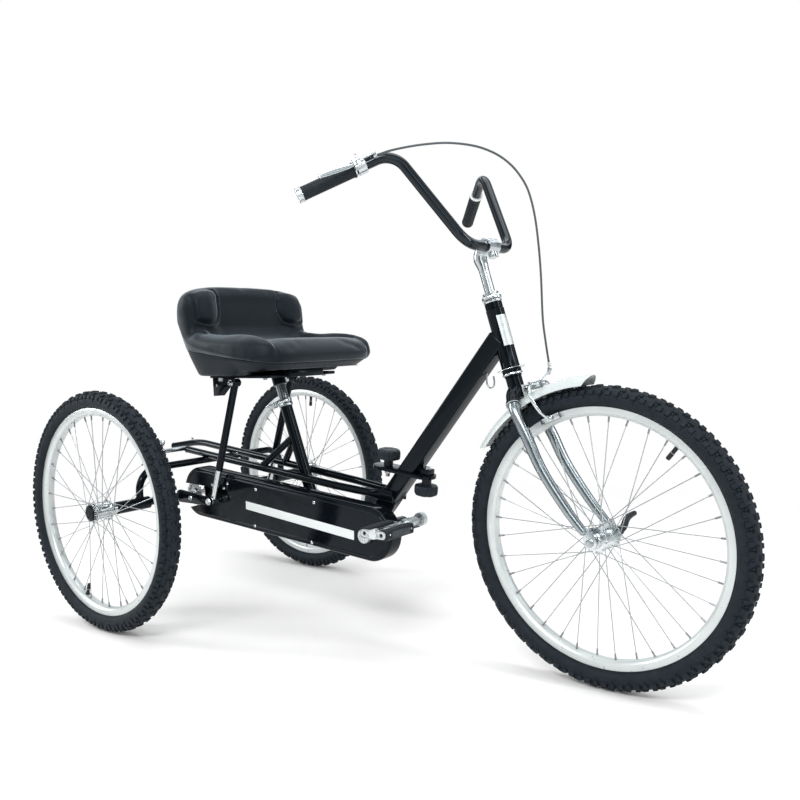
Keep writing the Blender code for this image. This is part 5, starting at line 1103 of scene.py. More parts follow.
def roller_spots():
    """Places of the chain's pins in X and Z, an even number of links round both wheels."""
    outline = belt(BRACKET_SPOT, RING_RADIUS, (0, AXLE_Z), SPROCKET_RADIUS, 40)
    points = [Vector((x, z, 0)) for x, z in outline]
    points.append(points[0])
    lengths = [0.0]
    for a, b in zip(points, points[1:]):
        lengths.append(lengths[-1] + (b - a).length)
    links = 2 * round(lengths[-1] / PITCH / 2)
    spots = []
    index = 0
    for k in range(links):
        want = lengths[-1] * k / links
        while lengths[index + 1] < want:
            index += 1
        share = (want - lengths[index]) / (lengths[index + 1] - lengths[index])
        spots.append(points[index].lerp(points[index + 1], share))
    return spots


def chain():
    bm = bmesh.new()
    spots = roller_spots()
    for k, (spot, after) in enumerate(zip(spots, spots[1:] + spots[:1])):
        run = (after - spot).normalized()
        over = Vector((-run.y, run.x, 0))
        row = [(spot + run * PITCH * share, half) for share, half in LINK_PLATE]
        loop = [middle + over * half for middle, half in row]
        loop += [middle - over * half for middle, half in reversed(row)]
        gap = 0.002 if k % 2 else 0.0028
        for side in (-1, 1):
            inner, outer = [[bm.verts.new(from_rear(p.x, CHAIN_Y + side * y, p.y)) for p in loop]
                            for y in (gap, gap + 0.0007)]
            for j in range(len(loop)):
                bm.faces.new((inner[j - 1], inner[j], outer[j], outer[j - 1]))
            bm.faces.new(inner)
            bm.faces.new(outer)
        place = Matrix.Translation(from_rear(spot.x, CHAIN_Y, spot.y)) @ UPRIGHT
        bmesh.ops.create_cone(bm, cap_ends=True, segments=10, radius1=ROLLER_RADIUS, radius2=ROLLER_RADIUS,
                              depth=0.0062, matrix=place)
    piece("chain", "frame", [built(bm, STEEL)])


CRANK_ANGLE = math.radians(18.3)
CRANK_LENGTH = 0.14
CRANK_REACH = 0.016
RIGHT_CRANK_Y = -0.0995
LEFT_CRANK_Y = 0.095


def crank_way(side):
    return Vector((math.cos(CRANK_ANGLE), 0, math.sin(CRANK_ANGLE))) * -side


def crank_arm(side, inner_y):
    """A forged arm, narrower at its middle, with round ends and a dust cap."""
    way = crank_way(side)
    over = way.cross(SIDEWAYS)
    rings = []
    halves = [(0, 0.011), (0.08, 0.0118), (0.2, 0.011), (0.5, 0.0098), (0.85, 0.01), (1, 0.0104)]
    for share, half in halves:
        y = inner_y + side * (0.007 + CRANK_REACH * ease((share - 0.15) / 0.7))
        middle = beside(BRACKET, y) + way * CRANK_LENGTH * share
        rings.append(oval(middle, over * half, SIDEWAYS * 0.0058, 20, 0.55))
    parts = [loft(FORGED, rings, True, True)]
    boss = [
        (0.0085, 0), (0.0158, 0), (0.0165, 0.0008), (0.0165, 0.013), (0.0158, 0.014), (0.011, 0.014),
        (0.0106, 0.0132), (0.003, 0.013), (0, 0.013),
    ]
    parts.append(lathe(FORGED, boss, along(beside(BRACKET, inner_y), SIDEWAYS * side), 36))
    tip = beside(BRACKET, inner_y + side * CRANK_REACH) + way * CRANK_LENGTH
    eye = [(0, 0), (0.0122, 0), (0.013, 0.0008), (0.013, 0.013), (0.0122, 0.014), (0, 0.014)]
    parts.append(lathe(FORGED, eye, along(tip, SIDEWAYS * side), 32))
    return parts


def drive():
    parts = crank_arm(-1, RIGHT_CRANK_Y)
    parts.append(rod(STEEL, *across(BRACKET, RIGHT_CRANK_Y - 0.005, LEFT_CRANK_Y + 0.012), 0.008, sides=24))
    holes = []
    for k in range(5):
        turn = TAU * k / 5
        holes.append(circle(0.03 * math.cos(turn), 0.03 * math.sin(turn), 0.0105, 20))
    parts.append(sprocket(BRACKET, RING_TEETH, RING_RADIUS, holes))
    piece("crankset", "cranks", parts)
    piece("left_crank", "cranks", crank_arm(1, LEFT_CRANK_Y))
    pedal("right_pedal", -1, RIGHT_CRANK_Y - 0.014)
    pedal("left_pedal", 1, LEFT_CRANK_Y + 0.014)


def pedal_plate(centre, y, swell):
    """A pressed end plate, wide at its two ends and waisted between them, with a hole in each lobe."""
    half_length = 0.0328
    outline = []
    for step in range(48):
        turn = TAU * step / 48
        share = squared(math.cos(turn), 0.5)
        height = squared(math.sin(turn), 0.7) * (0.0078 + swell * share * share)
        outline.append((centre.x - REAR_X + share * half_length, centre.z + height))
    holes = []
    for side in (-1, 1):
        holes.append(circle(centre.x - REAR_X + side * (half_length - 0.0105), centre.z, 0.0042, 16))
    return side_slab(FORGED, [outline] + holes, y - 0.0015, y + 0.0015, 0.0007)


BLOCK_X = 0.0262
BLOCK_HALF_X = 0.0108
BLOCK_HALF_Z = 0.011


def pedal_block(centre, y_from, y_to):
    """A rubber block whose top and bottom are ribbed across, except near its ends."""
    rings = []
    steps = 44
    for step in range(steps + 1):
        y = y_from + (y_to - y_from) * step / steps
        pinch = 0.9 if step in (0, steps) else 1.0
        ring = []
        for corner in range(32):
            turn = TAU * corner / 32
            u = squared(math.cos(turn), 0.42) * BLOCK_HALF_X * pinch
            v = squared(math.sin(turn), 0.42) * BLOCK_HALF_Z * pinch
            if abs(v) > 0.0095 and 3 < step < steps - 3 and step % 4 < 2:
                v *= 0.9
            ring.append(Vector((centre.x + u, y, centre.z + v)))
        rings.append(ring)
    return loft(BLOCK, rings, True, True)


def pedal(name, side, arm_face):
    """Two ribbed rubber blocks between end plates, with a reflector let into each long side."""
    centre = BRACKET + crank_way(side) * CRANK_LENGTH
    outward = SIDEWAYS * side
    inner = arm_face + side * 0.026
    outer = arm_face + side * 0.122
    parts = [rod(STEEL, *across(centre, arm_face + side * GAP, inner + side * 0.01), 0.006, sides=20)]
    parts += bolt_head(STEEL, beside(centre, arm_face + side * 0.0162), outward, 0.0085, 0.0045,
                       washer=False)
    barrel = [
        (0.007, -0.008), (0.0085, -0.0074), (0.0085, -0.001), (0.0105, 0.0006), (0.0105, 0.01),
        (0.0092, 0.013), (0.0088, 0.078), (0.0105, 0.082), (0.011, 0.0955), (0.01, 0.0985), (0, 0.099),
    ]
    parts.append(lathe(CHROME, barrel, along(beside(centre, inner - side * 0.003), outward), 28))
    parts.append(pedal_plate(centre, inner + side * 0.002, 0.003))
    parts.append(pedal_plate(centre, outer - side * 0.003, 0.0026))
    block_from = inner + side * 0.0038
    block_to = outer - side * 0.0048
    middle_y = (block_from + block_to) / 2
    for edge in (-1, 1):
        parts.append(pedal_block(centre + FORWARD * edge * BLOCK_X, block_from, block_to))
        face = beside(centre + FORWARD * edge * (BLOCK_X + BLOCK_HALF_X), middle_y)
        parts.append(box(LENS, face, (0.0016, 0.058, 0.013), soft=0.0006))
        for end in (-1, 1):
            rivet = face + SIDEWAYS * end * 0.035 + UPWARD * 0.001 - FORWARD * edge * 0.0008
            parts.append(ball(CHROME, rivet, 0.0019))
    piece(name, name, parts, 30)


SHAFT_RADIUS = 0.007
SHAFT_END = 0.383


def shafts():
    shaft = [rod(STEEL, *across(REAR_AXLE, -SHAFT_END, 0.05), SHAFT_RADIUS, sides=28)]
    clip = [(0.0071, 0), (0.0105, 0.0003), (0.0105, 0.004), (0.0071, 0.0044)]
    shaft.append(lathe(STEEL, clip, along(beside(REAR_AXLE, 0.0325), SIDEWAYS), 28))
    piece("axle_shaft", "right_wheel", shaft)
    hub = mirrored([(0.0073, -0.008), (0.0132, -0.008), (0.014, -0.0072)])
    parts = [sprocket(REAR_AXLE, SPROCKET_TEETH, SPROCKET_RADIUS)]
    parts.append(lathe(STEEL, hub, along(beside(REAR_AXLE, CHAIN_Y), SIDEWAYS), 32))
    piece("rear_sprocket", "right_wheel", parts)
    stub = [rod(STEEL, *across(REAR_AXLE, 0.15, SHAFT_END), SHAFT_RADIUS, sides=28)]
    stub.append(lathe(STEEL, [(0.0071, 0.146), (0.0071, 0.15)], along(REAR_AXLE, SIDEWAYS), 28))
    piece("left_stub_axle", "frame", stub)


# Steering

STEERER_TOP = 0.5415
CUP_DEPTH = 0.018
FORK_HALF = 0.055
STEM_REACH = 0.0277
BAR_UP = STEERER_TOP + 0.0927
BAR_RADIUS = 0.0111
GRIP_LENGTH = 0.123


def headset_upper():
    base = HEAD_HIGH + GAP
    matrix = along(STEERING_FOOT, HEAD_UP)
    race = [(0.013, base), (0.019, base), (0.0195, base + 0.0008), (0.0195, base + 0.0035),
            (0.021, base + 0.0045)]
    parts = [lathe(CHROME, race, matrix, 48)]
    knurled = []
    for step in range(96):
        turn = TAU * step / 96
        radius = 0.021 - 0.0006 * (step % 4 < 2)
        knurled.append((radius * math.cos(turn), radius * math.sin(turn)))
    parts.append(slab(CHROME, [knurled], 0.0066, matrix @ Matrix.Translation((0, 0, base + 0.0104)),
                      0.0005))
    nuts = ((base + 0.0138, STEERER_TOP - 0.0058, 0.0196, 8),
            (STEERER_TOP - 0.005, STEERER_TOP, 0.0172, 40))
    for low, high, radius, sides in nuts:
        nut = [(0.013, low), (radius - 0.0008, low), (radius, low + 0.0008), (radius, high - 0.0008),
               (radius - 0.0012, high), (0.013, high)]
        parts.append(lathe(CHROME, nut, matrix, sides))
    piece("headset_upper", "frame", parts)


def headset_lower():
    """A wide chrome disc, a black cup with a chrome ring, and a black foot, by depth under the head tube."""
    rings = [
        (CHROME, 56, [(0.0135, 0), (0.0285, 0), (0.0298, 0.0004), (0.03, 0.0011), (0.0292, 0.0016),
                      (0.021, 0.0019)]),
        (PAINT, 48, [(0.021, 0.0014), (0.0202, 0.003), (0.02, 0.009), (0.0192, 0.01)]),
        (CHROME, 48, [(0.019, 0.0098), (0.0212, 0.0102), (0.0216, 0.0112), (0.0216, 0.0132),
                      (0.0208, 0.0142), (0.0185, 0.0146)]),
        (PAINT, 48, [(0.0186, 0.014), (0.0184, 0.0176), (0.017, CUP_DEPTH), (0.0135, CUP_DEPTH)]),
    ]
    parts = []
    for paint, sides, profile in rings:
        heights = [(radius, HEAD_LOW - GAP - depth) for radius, depth in profile]
        parts.append(lathe(paint, heights, along(STEERING_FOOT, HEAD_UP), sides))
    piece("headset_lower", "frame", parts)


def leg_path(side, steps=10):
    """From the crown down to the dropout, sweeping out round the tyre and forward to the axle."""
    knots = [
        (0, 0.0015, 0.3335), (0.001, 0.026, 0.313), (0.009, 0.0435, 0.285), (0.023, 0.0505, 0.226),
        (0.036, 0.052, 0.157), (0.067, 0.0525, 0.069), (0.091, 0.0525, 0.018),
    ]
    return flowing([steered(n, side * y, u) for n, y, u in knots], steps)


def fork():
    crown_top = HEAD_LOW - CUP_DEPTH - 3 * GAP
    parts = [rod(CHROME, steered(0, 0, 0.3105), steered(0, 0, crown_top), 0.0135, sides=32)]
    parts.append(rod(CHROME, steered(0, 0, 0.3205), steered(0, 0, STEERER_TOP - 0.0004), 0.0124, sides=32))
    axle_x = FRONT_AXLE.x - REAR_X
    for side in (-1, 1):
        path = leg_path(side, 24)
        radii = [0.0125 - 0.004 * (k / (len(path) - 1)) ** 2.4 for k in range(len(path))]
        radii[-1] *= 0.55
        radii[-2] *= 0.9
        # The legs take the chrome painted darker, as painted shade.
        parts.append(sweep(DARKENED_CHROME, path, 0.0125, radii=radii, sides=36))
        end_x = path[-1].x - REAR_X
        end_z = path[-1].z
        tip = arc(axle_x, AXLE_Z, 0.013, -2.55, 1.25, 22)
        dropout = [(end_x - 0.007, end_z + 0.0105), *tip, (end_x + 0.0075, end_z + 0.012)]
        parts.append(side_slab(CHROME, [dropout], side * (FORK_HALF - 0.005), side * FORK_HALF, 0.0008))
    piece("fork", "steering", parts)


def crown_sleeve():
    """Black paint over the crown and the tops of the legs, each ending in a chrome lip."""
    top = HEAD_LOW - CUP_DEPTH - 2 * GAP
    sleeve = [(0.015, top), (0.0165, top), (0.0172, top - 0.001), (0.017, 0.32), (0.0165, 0.3115),
              (0.015, 0.312)]
    parts = [lathe(PAINT, sleeve, along(STEERING_FOOT, HEAD_UP), 40)]
    lip = [(0.0131, 0), (0.015, 0), (0.0158, 0.0006), (0.015, 0.0012), (0.0131, 0.0012)]
    for side in (-1, 1):
        path = leg_path(side, 8)[2:14]
        radii = [0.0148 + 0.0007 * math.sin(k * 0.6) for k in range(len(path) - 2)] + [0.0158, 0.0158]
        parts.append(sweep(PAINT, path, 0.015, radii=radii, sides=32))
        parts.append(lathe(CHROME, lip, along(path[-1], path[-1] - path[-2]), 36, closed=True))
    piece("crown_sleeve", "steering", parts)


GUARD_RADIUS = 0.3198
GUARD_HALF = 0.0285
GUARD_FROM = math.radians(92.5)
GUARD_TO = math.radians(149)


def guard_point(t, share):
    """A point of the guard: t runs from -1 to 1 across it, and share from 0 to 1 along it."""
    short = 0.05 * t * t
    start = GUARD_FROM + short * 0.9
    turn = start + (GUARD_TO - short - start) * share
    radius = GUARD_RADIUS - 0.0185 * abs(t) ** 2.2
    across_y = GUARD_HALF * math.sin(t * 1.25) / math.sin(1.25)
    return FRONT_AXLE + Vector((radius * math.cos(turn), across_y, radius * math.sin(turn)))


def mudguard():
    """A curved strip whose crown runs further than its sides at both ends, with a rolled edge."""
    length_steps = 64
    width_steps = 20
    bm = bmesh.new()
    rows = []
    for i in range(length_steps + 1):
        points = [guard_point(2 * j / width_steps - 1, i / length_steps) for j in range(width_steps + 1)]
        rows.append([bm.verts.new(point) for point in points])
    for row, after in zip(rows, rows[1:]):
        for j in range(width_steps):
            bm.faces.new((row[j], row[j + 1], after[j + 1], after[j]))
    border = rows[0] + [row[-1] for row in rows[1:]] + rows[-1][-2::-1] + [row[0] for row in rows[-2:0:-1]]
    rim = [vertex.co.copy() for vertex in border]
    sheet = thickened(built(bm, GUARD), 0.0015, 0)
    for side in (-1, 1):
        cut(sheet, sweep(CHROME, leg_path(side, 6)[:16], 0.015, sides=20))
    parts = [sheet, sweep(GUARD, rim, 0.0011, sides=8, closed=True)]
    parts.append(box(GUARD, steered(0.0177, 0, 0.3223), (0.0015, 0.016, 0.0265), HEAD_FORWARD, HEAD_UP,
                     0.0004))
    piece("front_mudguard", "steering", parts)


def stem():
    up = BAR_UP
    quill = [
        (0, STEERER_TOP - 0.07), (0, up - 0.06), (-0.0005, up - 0.034), (-0.0015, up - 0.018),
        (0.006, up - 0.0045), (STEM_REACH, up + 0.0005),
    ]
    path = flowing([steered(forward, 0, height) for forward, height in quill], 8)
    radii = [BAR_RADIUS + 0.0034 * ease((k - 9) / 16) - 0.004 * ease((k - 31) / 9) for k in range(len(path))]
    parts = [sweep(CHROME, path, BAR_RADIUS, radii=radii, sides=32)]
    clamp = mirrored([(0.0113, -0.02), (0.016, -0.02), (0.017, -0.019), (0.0172, -0.007), (0.0176, 0)])
    parts.append(lathe(CHROME, clamp, along(steered(STEM_REACH, 0, up), SIDEWAYS), 44))
    for side in (-1, 1):
        lug = steered(STEM_REACH + 0.0035, side * 0.005, up - 0.019)
        parts.append(box(CHROME, lug, (0.015, 0.007, 0.016), HEAD_FORWARD, HEAD_UP, 0.0016, 3))
    bolt = steered(STEM_REACH + 0.004, 0, up - 0.0205)
    parts.append(rod(STEEL, bolt - SIDEWAYS * 0.0115, bolt + SIDEWAYS * 0.0115, 0.0042, sides=20))
    parts += bolt_head(STEEL, bolt - SIDEWAYS * 0.009, -SIDEWAYS, 0.0052, 0.0042, washer=False)
    cap = steered(0.01, 0, up + 0.005)
    parts.append(rod(STEEL, cap, cap + HEAD_UP * 0.005, 0.006, sides=28, soft=0.0008))
    piece("stem", "steering", parts)


def bar_corners(side):
    return [
        Vector((STEM_REACH, 0, BAR_UP)),
        Vector((STEM_REACH, side * 0.083, BAR_UP)),
        Vector((STEM_REACH - 0.06, side * 0.166, BAR_UP + 0.214)),
        Vector((STEM_REACH - 0.215, side * 0.301, BAR_UP + 0.172)),
    ]


def grip_line(side):
    """Where the grip starts and ends, and its direction outwards."""
    *_, top, end = bar_corners(side)
    outward = (end - top).normalized()
    start = steered(*(end - outward * GRIP_LENGTH))
    end = steered(*end)
    return start, end, (end - start).normalized()


def handlebar():
    """The bar runs from grip to grip, with two grooves beside the stem's clamp."""
    halves = []
    for side in (-1, 1):
        _, end, outward = grip_line(side)
        halves.append([steered(*corner) for corner in bar_corners(side)[:-1]] + [end - outward * 0.004])
    right, left = halves
    # The bar takes the lighter, more reflective copy of the black paint, as painted highlight.
    parts = [sweep(LIT_BAR_PAINT, bent(right[:0:-1] + left[1:], 0.048, 14), BAR_RADIUS, sides=36)]
    grooves = [(0.0112, 0.0205), (0.0116, 0.0215), (0.0116, 0.0225), (0.0112, 0.0235)]
    for side in (-1, 1):
        parts.append(lathe(PAINT, grooves, along(steered(STEM_REACH, 0, BAR_UP), SIDEWAYS * side), 36))
    piece("handlebar", "steering", parts)


def grips():
    """Ringed rubber grips. The right one has a chrome end cap, and the left one a pale ring at its root."""
    rubber = [(0.0113, 0), (0.015, 0), (0.0158, 0.0008), (0.0158, 0.003), (0.0146, 0.004)]
    for k in range(24):
        height = 0.0065 + 0.0042 * k
        rubber += [(0.014, height), (0.0143, height + 0.0008), (0.0143, height + 0.0026),
                   (0.014, height + 0.0034)]
    rubber += [(0.0143, 0.1105), (0.0146, 0.1125), (0.0147, 0.1165), (0.0146, 0.12)]
    closed_end = [(0.014, 0.1222), (0.01, 0.1236), (0, 0.124)]
    cap = [
        (0.0146, 0.115), (0.0156, 0.1152), (0.016, 0.1158), (0.016, 0.1176), (0.0152, 0.1182),
        (0.0152, 0.1222), (0.0158, 0.1228), (0.0158, 0.1252), (0.015, 0.1262), (0.0124, 0.1262),
        (0.0118, 0.1252), (0, 0.125),
    ]
    right_ring = [(0.0113, -0.0032), (0.0146, -0.0032), (0.0154, -0.0026), (0.0154, -0.0008),
                  (0.0148, 0.0002)]
    left_ring = [(0.0113, -0.0042), (0.0152, -0.0042), (0.0162, -0.0034), (0.0164, -0.0008),
                 (0.0158, 0.0006)]
    dressings = (
        ("right_grip", -1, ((GRIP, rubber + [(0.015, 0.1206)], 44), (CHROME, cap, 40),
                            (CHROME, right_ring, 40))),
        ("left_grip", 1, ((GRIP, rubber + closed_end, 44), (STRIPE, left_ring, 40))),
    )
    for name, side, profiles in dressings:
        start, _, outward = grip_line(side)
        parts = [lathe(paint, profile, along(start, outward), sides) for paint, profile, sides in profiles]
        piece(name, "steering", parts)


LEVER_SIDE = Vector((0.63, -0.777, 0.05))
LEVER_LENGTH = 0.078
LEVER_ANGLE = math.radians(13.5)
GRIP_START, _, LEVER_OUT = grip_line(-1)
LEVER_UP = LEVER_OUT.cross(
    LEVER_SIDE.x * HEAD_FORWARD + LEVER_SIDE.y * SIDEWAYS + LEVER_SIDE.z * HEAD_UP).normalized()
LEVER_AWAY = LEVER_UP.cross(LEVER_OUT).normalized()


def on_bracket(out, away, up):
    """A point of the brake bracket from the inner end of the grip: along the bar, away from it, and up."""
    return GRIP_START + LEVER_OUT * out + LEVER_AWAY * away + LEVER_UP * up


BRACKET_BAND = on_bracket(-0.0155, 0, 0)
LEVER_HINGE = on_bracket(-0.004, 0.022, 0)


def lever_bracket():
    """A band round the bar, a forked hinge with its pin, and the ribbed cable adjuster."""
    band = mirrored([(0.0113, -0.0095), (0.015, -0.0095), (0.0156, -0.0086)])
    parts = [lathe(CHROME, band, along(BRACKET_BAND, LEVER_OUT), 40)]
    blocks = [
        (CHROME, on_bracket(-0.0085, 0.0185, -0.0064), (0.017, 0.0175, 0.0046), 0.0018),
        (CHROME, on_bracket(-0.0085, 0.0185, 0.0064), (0.017, 0.0175, 0.0046), 0.0018),
        (CHROME, on_bracket(-0.014, 0.0175, 0), (0.009, 0.015, 0.016), 0.002),
        # A small dark block on the back of the band: painted shade of a hollow.
        (SEAM_AND_SHADE, on_bracket(-0.0155, -0.0145, -0.0042), (0.008, 0.0032, 0.005), 0.0012),
    ]
    for paint, spot, size, soft in blocks:
        parts.append(box(paint, spot, size, LEVER_OUT, LEVER_UP, soft, 3))
    parts.append(rod(STEEL, LEVER_HINGE - LEVER_UP * 0.0096, LEVER_HINGE + LEVER_UP * 0.0096, 0.0026,
                     sides=18))
    parts += bolt_head(STEEL, LEVER_HINGE + LEVER_UP * 0.0086, LEVER_UP, 0.0042, 0.0026, washer=False)
    low = on_bracket(-0.0235, 0.008, 0.012)
    barrel = [(0, 0), (0.0048, 0)]
    for k in range(6):
        height = 0.002 + k * 0.0026
        barrel += [(0.0048, height), (0.0041, height + 0.0006), (0.0041, height + 0.0012),
                   (0.0048, height + 0.0018)]
    barrel += [(0.004, 0.0185), (0.0034, 0.0195), (0.0034, 0.023)]
    parts.append(lathe(CHROME, barrel, along(low, -LEVER_OUT), 24))
    parts.append(rod(CHROME, low - LEVER_OUT * 0.0215, low - LEVER_OUT * 0.03, 0.0036, 0.0031, sides=20))
    piece("brake_lever_bracket", "steering", parts)


def brake_lever():
    """A flat blade from a round eye to a ball, with its width, thickness and bow by share of its length."""
    way = LEVER_OUT * math.cos(LEVER_ANGLE) + LEVER_AWAY * math.sin(LEVER_ANGLE)
    over = LEVER_UP.cross(way).normalized()
    eye = LEVER_UP * 0.0035
    parts = [rod(CHROME, LEVER_HINGE - eye, LEVER_HINGE + eye, 0.0068, sides=32, soft=0.0006)]
    blade = [
        (0.04, 0.0033, 0.0026, 0), (0.12, 0.0036, 0.0026, 0.0002), (0.2, 0.005, 0.0023, 0.0008),
        (0.45, 0.0056, 0.0021, 0.0012), (0.75, 0.0054, 0.0021, 0.0008), (0.92, 0.0046, 0.0022, 0),
        (0.99, 0.0032, 0.0024, 0),
    ]
    rings = []
    for share, wide, thick, bow in blade:
        spot = LEVER_HINGE + way * LEVER_LENGTH * share + over * bow
        rings.append(oval(spot, LEVER_UP * wide, over * thick, 20))
    parts.append(loft(CHROME, rings, True, True))
    parts.append(ball(CHROME, LEVER_HINGE + way * LEVER_LENGTH, 0.0046))
    piece("brake_lever", "brake_lever", parts)


def brake_lock():
    """The thumb lock of the parking brake: a stud with two small ears."""
    base = on_bracket(-0.0155, 0.002, 0.0155 + GAP)
    stud = [(0.0042, 0), (0.0042, 0.0024), (0.0024, 0.0034), (0.0022, 0.0105), (0, 0.0105)]
    parts = [lathe(CHROME, stud, along(base, LEVER_UP), 24)]
    foot = base + LEVER_UP * 0.0088
    for turn in (-0.55, 0.55):
        way = (LEVER_UP * math.cos(turn) + LEVER_AWAY * math.sin(turn)).normalized()
        ear = [foot, foot + way * 0.003, foot + way * 0.0056]
        parts.append(sweep(CHROME, ear, 0.0019, 0.0023, sides=14, wide=0.7, side=LEVER_OUT))
    piece("brake_lock", "brake_lock", parts)


CABLE_KNOTS = [
    (-0.05, -0.2075, 0.8408), (-0.0147, -0.208, 0.8345), (0.021, -0.2, 0.827), (0.0592, -0.184, 0.8179),
    (0.0959, -0.162, 0.8065), (0.127, -0.128, 0.7915), (0.1449, -0.095, 0.7751), (0.155, -0.068, 0.756),
    (0.1601, -0.045, 0.732), (0.159, -0.022, 0.7), (0.1482, -0.002, 0.6546), (0.1311, 0.013, 0.5985),
    (0.1123, 0.022, 0.5371), (0.0872, 0.029, 0.4577), (0.0768, 0.0325, 0.4092), (0.07, 0.035, 0.3699),
    (0.0672, 0.036, 0.3544),
]


def brake_cable():
    """The cable's housing through its knots, in the steering frame, with a ferrule at each end."""
    path = flowing([steered(*knot) for knot in CABLE_KNOTS], 10)
    parts = [sweep(SHEATH, path, 0.0022, sides=16)]
    for end, near, length in ((path[-1], path[-2], 0.012), (path[0], path[1], 0.009)):
        parts.append(rod(CHROME, end, end + (near - end).normalized() * length, 0.0031, sides=20))
    piece("brake_cable", "steering", parts)


# Front brake

RISE = 0.3265
PIVOT_FORWARD = 0.05
PAD_ANGLE = math.radians(96.5)
PAD_FORWARD = FORK_OFFSET + 0.253 * math.cos(PAD_ANGLE)
PAD_UP = 0.253 * math.sin(PAD_ANGLE)
PAD_INNER_Y = 0.0155


def caliper(name, body, side, boss_forward, tail):
    """One brake arm, bowed round the tyre from its boss to the block's holder, with a tail for the cable."""
    knots = [
        (boss_forward, 0, RISE), (boss_forward + 0.001, 0.026, RISE + 0.0015),
        (0.0545, 0.048, RISE - 0.023), (0.06, 0.044, RISE - 0.052),
        (PAD_FORWARD - 0.001, 0.03, PAD_UP + 0.002),
    ]
    path = flowing([steered(n, side * y, u) for n, y, u in knots], 8)
    radii = [0.0049 - 0.0012 * k / len(path) for k in range(len(path))]
    outward = SIDEWAYS * side
    parts = [sweep(CHROME, path, 0.004, radii=radii, sides=20, wide=0.92, side=HEAD_FORWARD)]
    boss = mirrored([(0.003, -0.004), (0.0072, -0.004), (0.008, -0.0033)])
    parts.append(lathe(CHROME, boss, along(steered(boss_forward, 0, RISE), HEAD_FORWARD), 32, closed=True))
    tail = flowing([steered(*knot) for knot in tail], 6)
    parts.append(sweep(CHROME, tail, 0.0036, 0.003, sides=18, wide=0.9, side=HEAD_FORWARD))
    holder_in = steered(PAD_FORWARD, side * (PAD_INNER_Y + 0.008 + GAP), PAD_UP)
    holder_out = steered(PAD_FORWARD, side * 0.0345, PAD_UP)
    parts.append(rod(CHROME, holder_in, holder_out, 0.005, sides=28, soft=0.0008))
    parts += bolt_head(CHROME, holder_out - outward * 0.0012, outward, 0.0052, 0.0042)
    if side > 0:
        foot = steered(0.062, 0.033, RISE + 0.016)
        top = steered(0.0668, 0.0357, RISE + 0.026)
        parts.append(rod(CHROME, foot, top, 0.004, sides=22))
        parts.append(rod(STEEL, top.lerp(foot, 0.1), top.lerp(foot, -0.22), 0.0046, sides=6, soft=0.0003))
    else:
        spot = steered(boss_forward + 0.003, -0.033, RISE + 0.0038)
        parts += bolt_head(STEEL, spot, HEAD_FORWARD, 0.004, 0.0026, washer=False)
    piece(name, body, parts)


def brake_pad(name, body, side):
    """A rubber block on its steel back, square to the rim where it presses, with thin dark bars as painted
    shade of its grooves.
    """
    tangent = HEAD_FORWARD * math.sin(PAD_ANGLE) - HEAD_UP * math.cos(PAD_ANGLE)
    centre = steered(PAD_FORWARD, side * (PAD_INNER_Y + 0.0046), PAD_UP)
    parts = [box(SHOE, centre, (0.046, 0.0064, 0.01), tangent, UPWARD, 0.0016, 3)]
    # The grooves are dark bars on the pad's face: painted shade, not cuts.
    for k in (-2, -1, 1, 2):
        groove = centre + tangent * 0.008 * k - SIDEWAYS * side * 0.003
        parts.append(box(SEAM_AND_SHADE, groove, (0.0008, 0.001, 0.0092), tangent, UPWARD, 0.0002, 1))
    backing = steered(PAD_FORWARD, side * (PAD_INNER_Y + 0.0068), PAD_UP)
    parts.append(box(CHROME, backing, (0.044, 0.0024, 0.0112), tangent, UPWARD, 0.0008))
    piece(name, body, parts)


def front_brake():
    step = 0.004 + GAP / 2
    back = PIVOT_FORWARD - step
    ahead = PIVOT_FORWARD + step
    right_tail = [(back, 0, RISE), (back, 0.018, RISE + 0.001), (back, 0.035, RISE + 0.004)]
    left_tail = [(ahead, 0, RISE), (ahead + 0.003, 0.015, RISE + 0.013),
                 (ahead + 0.009, 0.034, RISE + 0.02)]
    for name, side, boss_forward, tail in (("right", -1, back, right_tail), ("left", 1, ahead, left_tail)):
        caliper("caliper_arm_" + name, "caliper_" + name, side, boss_forward, tail)
        brake_pad("brake_pad_" + name, "caliper_" + name, side)
    face = 0.0135 + 0.003 + GAP
    front_face = ahead + 0.004 + GAP
    parts = [rod(STEEL, steered(face, 0, RISE), steered(front_face + 0.007, 0, RISE), 0.003, sides=20)]
    spacer_foot = face + 0.0018
    stretch = (back - 0.004 - GAP - spacer_foot) / 0.016
    spacer = [(0.0031, 0), (0.0056, 0), (0.0061, 0.0006), (0.0061, 0.012), (0.0075, 0.013), (0.0075, 0.016)]
    spacer = [(radius, height * stretch) for radius, height in spacer]
    parts.append(lathe(STEEL, spacer, along(steered(spacer_foot, 0, RISE), HEAD_FORWARD), 28))
    parts += bolt_head(STEEL, steered(front_face, 0, RISE), HEAD_FORWARD, 0.0058, 0.0052)
    dome = [(0.005, 0.0052), (0.0044, 0.0078), (0.0026, 0.0092), (0, 0.0096)]
    parts.append(lathe(STEEL, dome, along(steered(front_face, 0, RISE), HEAD_FORWARD), 24))
    piece("caliper_bolt", "steering", parts)


